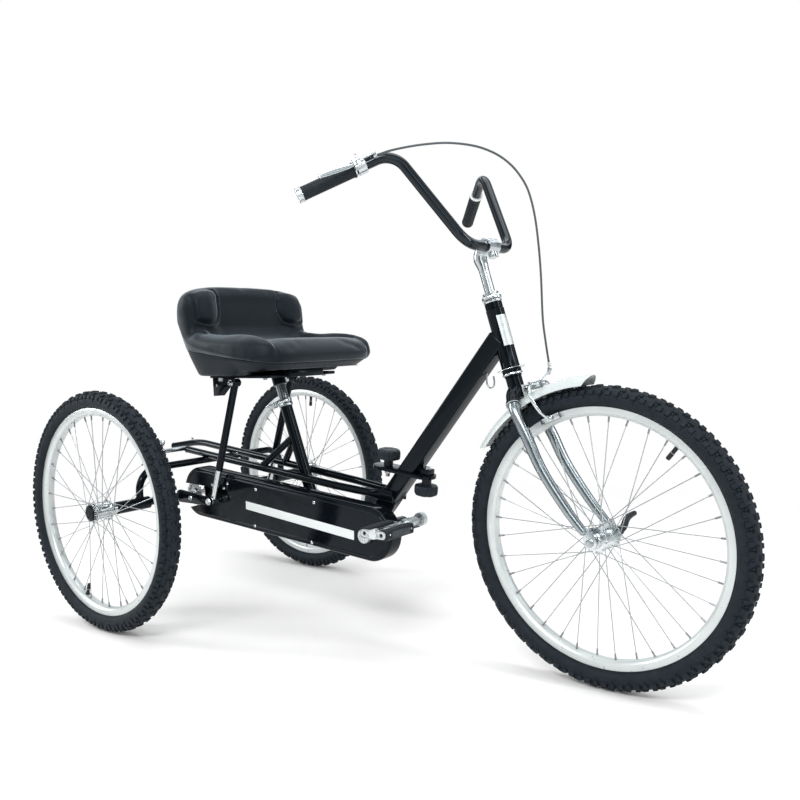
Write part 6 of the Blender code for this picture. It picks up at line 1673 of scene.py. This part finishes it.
def front_axle():
    outer = FORK_HALF
    parts = [rod(STEEL, *across(FRONT_AXLE, -(outer + 0.004), outer + 0.006), 0.0045, sides=24)]
    cone = [
        (0.0046, 0), (0.0078, 0), (0.0084, 0.0008), (0.0084, 0.0014), (0.0074, 0.0022), (0.0072, 0.006),
        (0.0048, 0.0066), (0.0045, 0.008), (0, 0.0082),
    ]
    parts.append(lathe(STEEL, cone, along(beside(FRONT_AXLE, -(outer + GAP)), -SIDEWAYS), 12))
    cup = [(0.0046, 0), (0.0092, 0), (0.0096, 0.0008), (0.009, 0.0057), (0, 0.0057)]
    parts.append(lathe(STEEL, cup, along(beside(FRONT_AXLE, outer + GAP), SIDEWAYS), 30))
    piece("front_axle", "steering", parts)


def front_release():
    """The wheel's quick release: a cam block and a lever that bends up clear of the fork."""
    hinge = beside(FRONT_AXLE, FORK_HALF + 0.006 + GAP + 0.0095)
    cam = mirrored([(0, -0.009), (0.0086, -0.009), (0.0094, -0.0082)])
    parts = [lathe(BLOCK, cam, along(hinge, HEAD_FORWARD), 36)]
    block = hinge + SIDEWAYS * 0.0065
    parts.append(box(BLOCK, block, (0.015, 0.015, 0.0168), HEAD_FORWARD, HEAD_UP, 0.0022, 3))
    knots = [
        (0.004, 0, 0, 0.0068), (0.015, 0.006, 0.002, 0.0074), (0.027, 0.013, 0.0165, 0.007),
        (0.044, 0.014, 0.0205, 0.0062), (0.068, 0.014, 0.0215, 0.0054),
    ]
    path = [hinge + SIDEWAYS * out + HEAD_FORWARD * ahead + HEAD_UP * rise for out, ahead, rise, _ in knots]
    sizes = [knots[0][3]]
    for (*_, size), (*_, next_size) in zip(knots, knots[1:]):
        sizes += [size + (next_size - size) * k / 6 for k in range(1, 7)]
    parts.append(sweep(BLOCK, flowing(path, 6), 0.0058, radii=sizes, sides=24, side=HEAD_FORWARD))
    parts.append(ball(BLOCK, path[-1] - SIDEWAYS * 0.0008, 0.0052))
    piece("front_release_lever", "front_release", parts)


# Seat

CLAMP_RADIUS = 0.0185
CLAMP_LOW = seat_axis(SEAT_TUBE_TOP) - SEAT_UP * 0.01
SKEWER = beside(CLAMP_LOW + SEAT_UP * 0.01, -(CLAMP_RADIUS + 0.004))


def seat_clamp():
    outer = CLAMP_RADIUS
    profile = [
        (0.0152, 0), (0.0178, 0), (outer, 0.0008), (outer, 0.0085), (0.018, 0.01), (outer, 0.0115),
        (outer, 0.0192), (0.0178, 0.02), (0.0128, 0.02), (0.0128, 0.0105), (0.0152, 0.0101),
    ]
    parts = [lathe(CHROME, profile, along(CLAMP_LOW, SEAT_UP), 48, closed=True)]
    for way in (-1, 1):
        lug = SKEWER + SIDEWAYS * 0.0034 + SEAT_FORWARD * way * 0.0046
        parts.append(box(CHROME, lug, (0.006, 0.013, 0.016), SEAT_FORWARD, SEAT_UP, 0.002, 3))
    parts.append(rod(CHROME, SKEWER, SKEWER + SEAT_FORWARD * 0.034, 0.0032, sides=20))
    nut = [
        (0, 0.018), (0.0058, 0.018), (0.0068, 0.019), (0.0072, 0.027), (0.006, 0.033), (0.003, 0.0345),
        (0, 0.0346),
    ]
    parts.append(lathe(CHROME, nut, along(SKEWER, SEAT_FORWARD), 26))
    piece("seat_clamp_collar", "frame", parts)


def seat_release():
    """The short lever of the seat post's clamp, lying back along the tube's side."""
    hinge = SKEWER - SEAT_FORWARD * 0.0143
    way = (-SEAT_FORWARD * 0.97 - SIDEWAYS * 0.18 + SEAT_UP * 0.16).normalized()
    blade_up = way.cross(SEAT_UP).cross(way).normalized()
    parts = [rod(CHROME, hinge - SEAT_UP * 0.007, hinge + SEAT_UP * 0.007, 0.006, sides=30, soft=0.001)]
    knots = [(0, 0), (0.01, 0.0006), (0.02, 0.0008), (0.029, 0)]
    path = flowing([hinge + way * out + blade_up * rise for out, rise in knots], 6)
    radii = [0.0038 - 0.0012 * abs(k / 9 - 1) for k in range(len(path))]
    parts.append(sweep(CHROME, path, 0.0036, radii=radii, sides=22, wide=0.62, side=way.cross(blade_up)))
    piece("seat_release_lever", "seat_release", parts)


def seat_point(x, y, z):
    return from_rear(SEAT_X + x, y, z)


STRUT_TOP_X = SEAT_X - 0.0385
STRUT_TOP_Z = 0.61
FRAME_LOW = SEAT_FLOOR - GAP - 0.008
SOCKET_TOP = seat_axis(FRAME_LOW + 0.001)


def seat_frame():
    middle = FRAME_LOW + 0.004
    top_x = STRUT_TOP_X
    top_z = STRUT_TOP_Z
    bracket = [
        (top_x - 0.07, FRAME_LOW + 0.002), (top_x - 0.069, top_z - 0.034), (top_x - 0.03, top_z - 0.032),
        (top_x - 0.006, top_z - 0.011), (top_x + 0.008, top_z - 0.01), (top_x + 0.014, FRAME_LOW + 0.002),
    ]
    parts = [box(PAINT, seat_point(0.025, 0, middle), (0.12, 0.208, 0.007), soft=0.001)]
    for side in (-1, 1):
        outward = SIDEWAYS * side
        parts.append(box(PAINT, seat_point(-0.014, side * 0.104, middle), (0.22, 0.03, 0.008), soft=0.0014))
        inner = STRUT_Y[side] + STRUT_EYE
        face = side * (inner + 0.0048)
        parts.append(side_slab(PAINT, [bracket], side * inner, side * (inner + 0.005), 0.0008))
        parts += bolt_head(CHROME, from_rear(top_x, face, top_z), outward, 0.0064, 0.005)
        parts += bolt_head(STEEL, from_rear(top_x - 0.052, face, top_z - 0.006), outward, 0.004, 0.0032,
                           washer=False)
        for x in (-0.1, 0.07):
            parts += bolt_head(STEEL, seat_point(x, side * 0.104, FRAME_LOW + 0.0002), -UPWARD, 0.0052,
                               0.0036)
    parts.append(box(PAINT, seat_point(0.088, 0, FRAME_LOW + 0.0098), (0.048, 0.116, 0.0205), soft=0.0014))
    socket = [(0.0127, 0), (0.0168, 0), (0.0175, 0.0008), (0.0175, 0.024), (0.0127, 0.024)]
    parts.append(lathe(PAINT, socket, along(SOCKET_TOP - SEAT_UP * 0.026, SEAT_UP), 36))
    piece("seat_frame", "seat", parts)


def seat_post():
    post = [(0, 0), (0.0118, 0), (0.0125, 0.0008), (0.0125, 0.229), (0.0118, 0.2297), (0, 0.2297)]
    # The post takes the chrome painted darker, as painted shade.
    parts = [lathe(DARKENED_CHROME, post, along(SOCKET_TOP - SEAT_UP * 0.23, SEAT_UP), 44)]
    piece("seat_post", "seat", parts)


SEAT_CENTRE = 0.01
HALF_LENGTH = 0.1725
HALF_WIDTH = 0.2125
SEAM_BACK_Z = 0.703
SEAM_FRONT_Z = 0.657
CUSHION_LEVEL = 0.713
BACKREST_TOP = 0.865
PUFF_LIMIT = 0.005


def seam_z(x):
    """Height of the seam between shell and cushion, which falls towards the front."""
    return SEAM_BACK_Z + (SEAM_FRONT_Z - SEAM_BACK_Z) * (x + HALF_LENGTH) / (2 * HALF_LENGTH)


def seat_outline(steps):
    """The seat's rounded outline in plan, as shares of its half length and half width."""
    turns = [TAU * step / steps for step in range(steps)]
    return [(squared(math.cos(turn), 0.46), squared(math.sin(turn), 0.4)) for turn in turns]


def shell_ring(shrink, height):
    """A rounded outline of the shell. height runs from 0 at its floor to 1 at the seam."""
    ring = []
    for u, v in seat_outline(160):
        x = u * HALF_LENGTH * shrink
        floor = SEAT_FLOOR + 0.012 * ease((x - 0.03) / 0.012)
        z = floor + (seam_z(x) - 0.0006 - floor) * height
        ring.append(seat_point(SEAT_CENTRE + x, v * HALF_WIDTH * shrink, z))
    return ring


def seat_shell():
    """A moulded dish: drawn-in floor with a round corner, a step below the seam, and a rim round it."""
    levels = [
        (0.3, 0), (0.7, 0), (0.815, 0), (0.838, 0.012), (0.855, 0.055), (0.866, 0.12), (0.888, 0.3),
        (0.915, 0.52), (0.94, 0.74), (0.955, 0.88), (0.957, 0.93), (0.963, 0.945), (0.965, 0.99),
        (0.958, 1.0), (0.7, 1.0),
    ]
    parts = [loft(SHELL, [shell_ring(shrink, height) for shrink, height in levels], True, True)]
    # Two thin dark patches under the front of the floor: painted shade of hollows, not cuts.
    for y in (0.135, -0.135):
        parts.append(box(SEAM_AND_SHADE, seat_point(0.12, y, 0.6422), (0.03, 0.07, 0.0012), soft=0.0004, segments=1))
    for k in range(-2, 3):
        spot = seat_point(-0.06, k * 0.032, SEAT_FLOOR)
        parts.append(box(SHELL, spot, (0.11, 0.004, 0.0012), soft=0.0004, segments=1))
    piece("seat_shell", "seat", parts, 40)


def cushion_place(column, row, layer):
    """Where a corner of the cushion's cage goes: columns run forward, rows left, layers up."""
    at_side = abs(row) == 2
    forward = (-1.04, -0.5, 0.16, 1.06)[round(column)] * HALF_LENGTH
    y = row / 2 * HALF_WIDTH * 1.04
    if layer <= 1:
        if at_side and column in (0, 3):
            y *= 0.93
            forward *= 0.95
        if layer < 0.5:
            return forward, y, seam_z(forward)
        crown = -0.002 if column == 3 else 0.002 if at_side or column == 0 else 0.012
        return forward, y, CUSHION_LEVEL + crown
    rise = (layer - 1) / 2
    z = CUSHION_LEVEL + (BACKREST_TOP - CUSHION_LEVEL) * rise
    forward -= rise * (0.016 if column == 1 else 0.004)
    if at_side:
        z -= 0.017 * rise
        forward += rise * (0.012 if column == 0 else 0.02)
    return forward, row / 2 * 0.2 * (1.06 - 0.02 * rise), z


def cushion_cage():
    bm = bmesh.new()
    cage = Matrix.Translation((1.5, 0, 0.5)) @ Matrix.Diagonal((3, 4, 1, 1))
    bmesh.ops.create_cube(bm, size=1, matrix=cage)
    cuts = [(Vector((x, 0, 0)), Vector((1, 0, 0))) for x in (1, 2)]
    cuts += [(Vector((0, y, 0)), Vector((0, 1, 0))) for y in (-1, 0, 1)]
    for place, normal in cuts:
        everything = [*bm.verts, *bm.edges, *bm.faces]
        bmesh.ops.bisect_plane(bm, geom=everything, plane_co=place, plane_no=normal)
    for level in (1, 2):
        back = []
        for face in bm.faces:
            middle = face.calc_center_median()
            if abs(middle.z - level) < 1e-4 and middle.x < 1:
                back.append(face)
        grown = bmesh.ops.extrude_face_region(bm, geom=back)["geom"]
        risen = [item for item in grown if isinstance(item, bmesh.types.BMVert)]
        bmesh.ops.translate(bm, verts=risen, vec=(0, 0, 1))
        bmesh.ops.delete(bm, geom=[face for face in back if face.is_valid], context="FACES")
    crease = bm.edges.layers.float.new("crease_edge")
    for edge in bm.edges:
        at_floor = all(abs(vert.co.z) < 1e-4 for vert in edge.verts)
        if at_floor and any(abs(face.normal.z) < 0.5 for face in edge.link_faces):
            edge[crease] = 0.55
    for corner in bm.verts:
        forward, y, z = cushion_place(*corner.co)
        corner.co = seat_point(SEAT_CENTRE + forward, y, z)
    obj = built(bm, VINYL)
    apply_all(modify(obj, "SUBSURF", levels=5, render_levels=5))
    return obj


def from_seat(place):
    """How far forward of the seat's middle a point is."""
    return place.x - REAR_X - SEAT_X - SEAT_CENTRE


def pad_distance(y, z):
    """Signed distance from the edge of a raised backrest pad, inside positive."""
    y = abs(y)
    flat_y = 0.104 + 0.055 * max(0, (0.805 - z) / 0.045) ** 2 * 0.35 + 0.01 * max(0, (z - 0.83) / 0.03)
    bottom = 0.762 + 0.006 * abs((y - 0.15) / 0.03) ** 2
    top = 0.852 - 0.004 * abs((y - 0.14) / 0.03) ** 2
    return min(y - flat_y, 0.186 - y, z - bottom, top - z)


def cushion_relief(place, normal):
    """How far a point of the cushion moves out along its normal to make its rolls, dish and pads."""
    x = from_seat(place)
    y = place.y
    z = place.z
    move = Vector((0, 0, 0))
    facing = ease((normal.x - 0.25) / 0.4)
    if z > 0.728 and facing > 0:
        dish = ease((0.15 - abs(y)) / 0.06) * ease((z - 0.728) / 0.03) * ease((0.868 - z) / 0.055)
        move.x -= 0.018 * dish * facing
        away = pad_distance(y, z)
        if away > -0.012:
            raised = 0.0036 * ease(away / 0.012)
            groove = -0.0036 * math.exp(-(away / 0.0028) ** 2)
            lip = 0.0016 * math.exp(-((away + 0.0065) / 0.003) ** 2)
            move += normal * (raised + groove + lip) * facing
    move.y -= 0.003 * ease((z - 0.735) / 0.08)
    level = ease((normal.z - 0.15) / 0.5)
    side_gap = HALF_WIDTH - abs(y)
    front_gap = HALF_LENGTH - x
    inside = min(ease((side_gap - 0.042) / 0.04), ease((front_gap - 0.045) / 0.045))
    if z < 0.76 and level > 0:
        behind = ease((x + 0.085) / 0.03)
        move.z -= 0.016 * inside * behind * level
        roll = (1 - ease((side_gap - 0.038) / 0.028)) * ease((x + 0.12) / 0.05)
        move.z += roll * level * (0.016 - 0.005 * ease((x + 0.05) / 0.2))
    fold = math.hypot((x + 0.08) / 0.02, (z - 0.735) / 0.026)
    move -= normal * 0.011 * math.exp(-fold * fold) * ease((0.205 - abs(y)) / 0.03)
    if x > 0.03 and z > seam_z(x) + 0.004:
        away = (abs(y) - 0.16) / 0.0055
        fading = ease((x - 0.03) / 0.06) * ease((z - seam_z(x)) / 0.02)
        move -= normal * 0.003 * math.exp(-away * away) * fading
    return move


def puffed(obj):
    """A short pressure run that fills the cover out from its seam, held back to a few millimetres."""
    apply_all(modify(obj, "REMESH", mode="VOXEL", voxel_size=0.0055, use_smooth_shade=True))
    rest = [vertex.co.copy() for vertex in obj.data.vertices]
    held = obj.vertex_groups.new(name="held")
    for vertex in obj.data.vertices:
        grip = 1 - ease((vertex.co.z - seam_z(from_seat(vertex.co)) - 0.004) / 0.02)
        held.add([vertex.index], max(grip, 0.02), "REPLACE")
    cloth = obj.modifiers.new("cloth", "CLOTH")
    settings = cloth.settings
    settings.use_pressure = True
    settings.uniform_pressure_force = 4
    settings.effector_weights.gravity = 0
    settings.vertex_group_mass = "held"
    settings.tension_stiffness = 25
    settings.compression_stiffness = 25
    settings.bending_stiffness = 4
    cloth.point_cache.frame_end = 20
    for step in range(1, 19):
        bpy.context.scene.frame_set(step)
    apply_all(obj)
    bpy.context.scene.frame_set(1)
    for vertex, place in zip(obj.data.vertices, rest):
        move = vertex.co - place
        if move.length > PUFF_LIMIT:
            vertex.co = place + move * (PUFF_LIMIT / move.length)
    obj.vertex_groups.clear()
    apply_all(modify(obj, "SMOOTH", factor=0.5, iterations=14))
    apply_all(modify(obj, "SUBSURF", levels=1, render_levels=1))


def tucked(obj):
    """Draws the cushion's lower edge in to the rim of the shell, below a round side."""
    for vertex in obj.data.vertices:
        x = from_seat(vertex.co)
        back = 1 - ease((x + 0.13) / 0.12)
        high = (vertex.co.z - seam_z(x)) / (0.024 + 0.042 * back)
        if high < 1:
            high = max(high, 0)
            swell = math.sqrt(1 - (1 - high) ** 2) * (1 - back) + high ** 0.8 * back
            limit = 0.962 + 0.012 * back + 0.068 * swell
            size = ((abs(x) / HALF_LENGTH) ** 4.4 + (abs(vertex.co.y) / HALF_WIDTH) ** 4.9) ** (1 / 4.65)
            if size > limit:
                pull = (1 - limit / size) * (1 - high ** 3)
                vertex.co.x -= x * pull
                vertex.co.y -= vertex.co.y * pull


def seat_cushion():
    obj = cushion_cage()
    puffed(obj)
    tucked(obj)
    mesh = obj.data
    normals = [vertex.normal.copy() for vertex in mesh.vertices]
    moved = [cushion_relief(vertex.co, normal) for vertex, normal in zip(mesh.vertices, normals)]
    for vertex, normal, move in zip(mesh.vertices, normals, moved):
        vertex.co += move
        wrinkle = noise.noise(vertex.co * 22) * 0.0003 + noise.noise(vertex.co * 60) * 0.0001
        if vertex.co.z > 0.715:
            vertex.co += normal * wrinkle
    bead = []
    for u, v in seat_outline(200):
        x = u * HALF_LENGTH * 0.976
        scale = 0.976 - 0.013 * (1 - ease((x + 0.13) / 0.12))
        forward = SEAT_CENTRE + u * HALF_LENGTH * scale
        bead.append(seat_point(forward, v * HALF_WIDTH * scale, seam_z(x) + 0.0012))
    whole = joined([obj, sweep(SEAM_AND_SHADE, bead, 0.0018, sides=8, closed=True)], 60)
    cushion = dress("seat_cushion", "seat", whole)


def strut_eye(paint, centre, side, inner_y, radius, bolt_in):
    """The eye of a strut across its pivot, with the bolt's head on its inner face."""
    plate = STRUT_Y[side] + STRUT_EYE - GAP
    eye = rod(paint, *across(centre, side * inner_y, side * plate), radius, sides=32, soft=0.001)
    head = beside(centre, side * (inner_y + bolt_in))
    return [eye, *bolt_head(CHROME, head, SIDEWAYS * -side, 0.006, 0.004)]


def struts():
    """Each strut is an outer tube on the seat's bolt and a chrome tube in it down to the axle's strap."""
    top = from_rear(STRUT_TOP_X, 0, STRUT_TOP_Z)
    foot = from_rear(STRUT_FOOT[0], 0, STRUT_FOOT[1])
    length = (foot - top).length
    tube = [
        (0, 0.004), (0.0088, 0.006), (0.0095, 0.01), (0.0095, 0.2424), (0.0089, 0.243), (0.008, 0.243),
        (0.008, 0.236),
    ]
    inner = [(0, 0.128), (0.0068, 0.128), (0.0074, 0.1288), (0.0074, length - 0.004), (0, length)]
    for name, side in (("right", -1), ("left", 1)):
        matrix = along(top + side * STRUT_Y[side] * SIDEWAYS, foot - top)
        parts = [lathe(PAINT, tube, matrix, 36)]
        parts += strut_eye(PAINT, top, side, STRUT_Y[side] - 0.0115, 0.0105, 0.0003)
        piece("strut_outer_" + name, "strut_outers", parts)
        parts = [lathe(CHROME, inner, matrix, 36)]
        parts += strut_eye(CHROME, foot, side, STRUT_Y[side] - 0.008, 0.01, 0.0002)
        piece("strut_inner_" + name, "strut_inners", parts)


# Light, floor and camera

WALL_LEVEL = 0.45
WALL_TINT = Vector((0.91, 0.98, 1.03))
WALL_STOPS = [
    (0.07, 0.04), (0.13, 0.55), (0.19, 0.95), (0.24, 0.4), (0.29, 0.04), (0.34, 0.05), (0.38, 0.9),
    (0.43, 0.45), (0.48, 0.5), (0.51, 0.05), (0.57, 0.04), (0.62, 0.8), (0.67, 0.45), (0.71, 0.05),
    (0.76, 0.05), (0.8, 0.95), (0.91, 0.95), (0.95, 0.15),
]
STRIP_STOPS = [(0.735, 0), (0.75, 1), (0.775, 1), (0.79, 0)]
POST_STOPS = [
    (0.343, 0), (0.35, 1), (0.372, 1), (0.379, 0), (0.592, 0), (0.599, 1), (0.614, 1), (0.621, 0),
]
CEILING = (0.5, 0.54, 0.57, 1)
STRIP_LIGHT = (2.0, 2.1, 2.2, 1)
POST_LIGHT = (2.3, 2.45, 2.5, 1)
PLAIN_STRENGTH = 0.62
MIRROR_STRENGTH = 0.85


def blended(tree, kind, first, second, share=1.0):
    """Two colours mixed, added or multiplied."""
    inputs = {"Fac": share, "Color1": first, "Color2": second}
    return add_node(tree, "MixRGB", inputs, blend_type=kind).outputs["Color"]


def ramp(tree, value, stops, end_level, interpolation="LINEAR", tint=Vector((1, 1, 1))):
    """A colour ramp through (position, level) stops, with the same grey at its two ends."""
    made = add_node(tree, "ValToRGB", {"Fac": value})
    made.color_ramp.interpolation = interpolation
    elements = made.color_ramp.elements
    for position, level in stops:
        elements.new(position).color = (*(level * tint), 1)
    for element, position in ((elements[0], 0), (elements[len(elements) - 1], 1)):
        element.position = position
        element.color = (end_level, end_level, end_level, 1)
    return made.outputs["Color"]


def lit_by(tree, color, strength):
    return add_node(tree, "Background", {"Color": color, "Strength": strength}).outputs["Background"]


def chosen(tree, share, first, second):
    return add_node(tree, "MixShader", {"Fac": share, 1: first, 2: second}).outputs["Shader"]


def studio():
    """White for the eye, plain light on matt faces, and walls with strips and posts for reflections."""
    world = bpy.data.worlds.new("studio")
    bpy.context.scene.world = world
    world.use_nodes = True
    tree = world.node_tree
    tree.nodes.clear()
    place = add_node(tree, "TexCoord").outputs["Generated"]
    split = add_node(tree, "SeparateXYZ", {"Vector": place}).outputs
    heading = add_node(tree, "Math", operation="ARCTAN2")
    feed(tree, heading, {0: split["Y"], 1: split["X"]})
    whole_turn = {"Value": heading.outputs["Value"], "From Min": -math.pi, "From Max": math.pi}
    bearing = add_node(tree, "MapRange", whole_turn).outputs["Result"]
    high = {"Value": split["Z"], "From Min": 0.35, "From Max": 0.75}
    height = add_node(tree, "MapRange", high, interpolation_type="SMOOTHSTEP").outputs["Result"]
    level = add_node(tree, "Math", operation="MULTIPLY_ADD")
    feed(tree, level, {0: split["Z"], 1: 0.5, 2: 0.5})
    walls = ramp(tree, bearing, WALL_STOPS, WALL_LEVEL, "EASE", WALL_TINT)
    room = blended(tree, "MIX", walls, CEILING, height)
    strips = ramp(tree, level.outputs["Value"], STRIP_STOPS, 0)
    room = blended(tree, "ADD", room, blended(tree, "MULTIPLY", strips, STRIP_LIGHT))
    posts = ramp(tree, bearing, POST_STOPS, 0)
    room = blended(tree, "ADD", room, blended(tree, "MULTIPLY", posts, POST_LIGHT))
    path = add_node(tree, "LightPath").outputs
    mirrors = add_node(tree, "Math", operation="MAXIMUM")
    feed(tree, mirrors, {0: path["Is Glossy Ray"], 1: path["Is Transmission Ray"]})
    white = (1, 1, 1, 1)
    light = chosen(tree, mirrors.outputs["Value"], lit_by(tree, white, PLAIN_STRENGTH),
                   lit_by(tree, room, MIRROR_STRENGTH))
    surroundings = chosen(tree, path["Is Camera Ray"], light, lit_by(tree, white, 1))
    add_node(tree, "OutputWorld", {"Surface": surroundings})


def softbox(name, place, target, size, energy):
    light = bpy.data.lights.new(name, "AREA")
    light.shape = "RECTANGLE"
    light.size, light.size_y = size
    light.energy = energy
    obj = stand(name, light)
    obj.location = place
    obj.rotation_euler = (Vector(target) - Vector(place)).to_track_quat("-Z", "Y").to_euler()


def floor():
    """A wide pale disc that fades into the backdrop's white away from the object."""
    bm = bmesh.new()
    bmesh.ops.create_circle(bm, cap_ends=True, segments=96, radius=14)
    made = bpy.data.materials.new("floor_paper")
    made.use_nodes = True
    tree = made.node_tree
    tree.nodes.clear()
    paper = add_node(tree, "BsdfDiffuse", {"Color": (0.93, 0.93, 0.93, 1)}).outputs["BSDF"]
    glow = add_node(tree, "Emission", {"Strength": 1.0}).outputs["Emission"]
    place = add_node(tree, "TexCoord").outputs["Object"]
    reach = add_node(tree, "VectorMath", {0: place}, operation="LENGTH").outputs["Value"]
    edge = {"Value": reach, "From Min": 1.2, "From Max": 2.4}
    fade = add_node(tree, "MapRange", edge, interpolation_type="SMOOTHSTEP").outputs["Result"]
    add_node(tree, "OutputMaterial", {"Surface": chosen(tree, fade, paper, glow)})
    mesh = bpy.data.meshes.new("floor")
    bm.to_mesh(mesh)
    bm.free()
    mesh.materials.append(made)
    stand("floor", mesh)


CAMERA_PLACE = (1.2985, -1.5115, 0.6944)
CAMERA_YAW = math.radians(-38.649)
CAMERA_PITCH = math.radians(-3.817)
CAMERA_ROLL = math.radians(-1.88)


def camera():
    flat = math.cos(CAMERA_PITCH)
    look = Vector((math.sin(CAMERA_YAW) * flat, math.cos(CAMERA_YAW) * flat, math.sin(CAMERA_PITCH)))
    level = look.cross(UPWARD).normalized()
    upright = level.cross(look)
    right = level * math.cos(CAMERA_ROLL) + upright * math.sin(CAMERA_ROLL)
    up = upright * math.cos(CAMERA_ROLL) - level * math.sin(CAMERA_ROLL)
    data = bpy.data.cameras.new("camera")
    data.lens = 37.76
    data.sensor_width = 36
    data.clip_start = 0.01
    turn = Matrix((right, up, -look)).transposed().to_4x4()
    bpy.context.scene.camera = stand("camera", data, Matrix.Translation(CAMERA_PLACE) @ turn)


for build in (
    main_frame, rails, seat_tube, rear_frame, accessory_bar, bar_clamp, knob_plate, star_knobs,
    case_cover, case_hood, case_back, chain, drive, shafts, wheels, headset_upper, headset_lower,
    fork, crown_sleeve, mudguard, stem, handlebar, grips, lever_bracket, brake_lever, brake_lock,
    brake_cable, front_brake, front_axle, front_release, seat_clamp, seat_release, seat_frame,
    seat_post, seat_shell, seat_cushion, struts, camera, studio, floor,
):
    build()
softbox("key", (1.1, -2.6, 2.7), (0, 0, 0.45), (2.2, 0.5), 62)
softbox("side", (-2.6, -1.6, 1.7), (0, 0, 0.45), (0.45, 1.8), 34)
softbox("front", (3.0, 0.6, 1.6), (0.2, 0, 0.5), (0.45, 1.6), 26)
softbox("overhead", (0, 0.3, 3.2), (0, 0, 0.4), (2.6, 2.0), 40)
bpy.context.scene.view_settings.view_transform = "Standard"
bpy.context.view_layer.update()
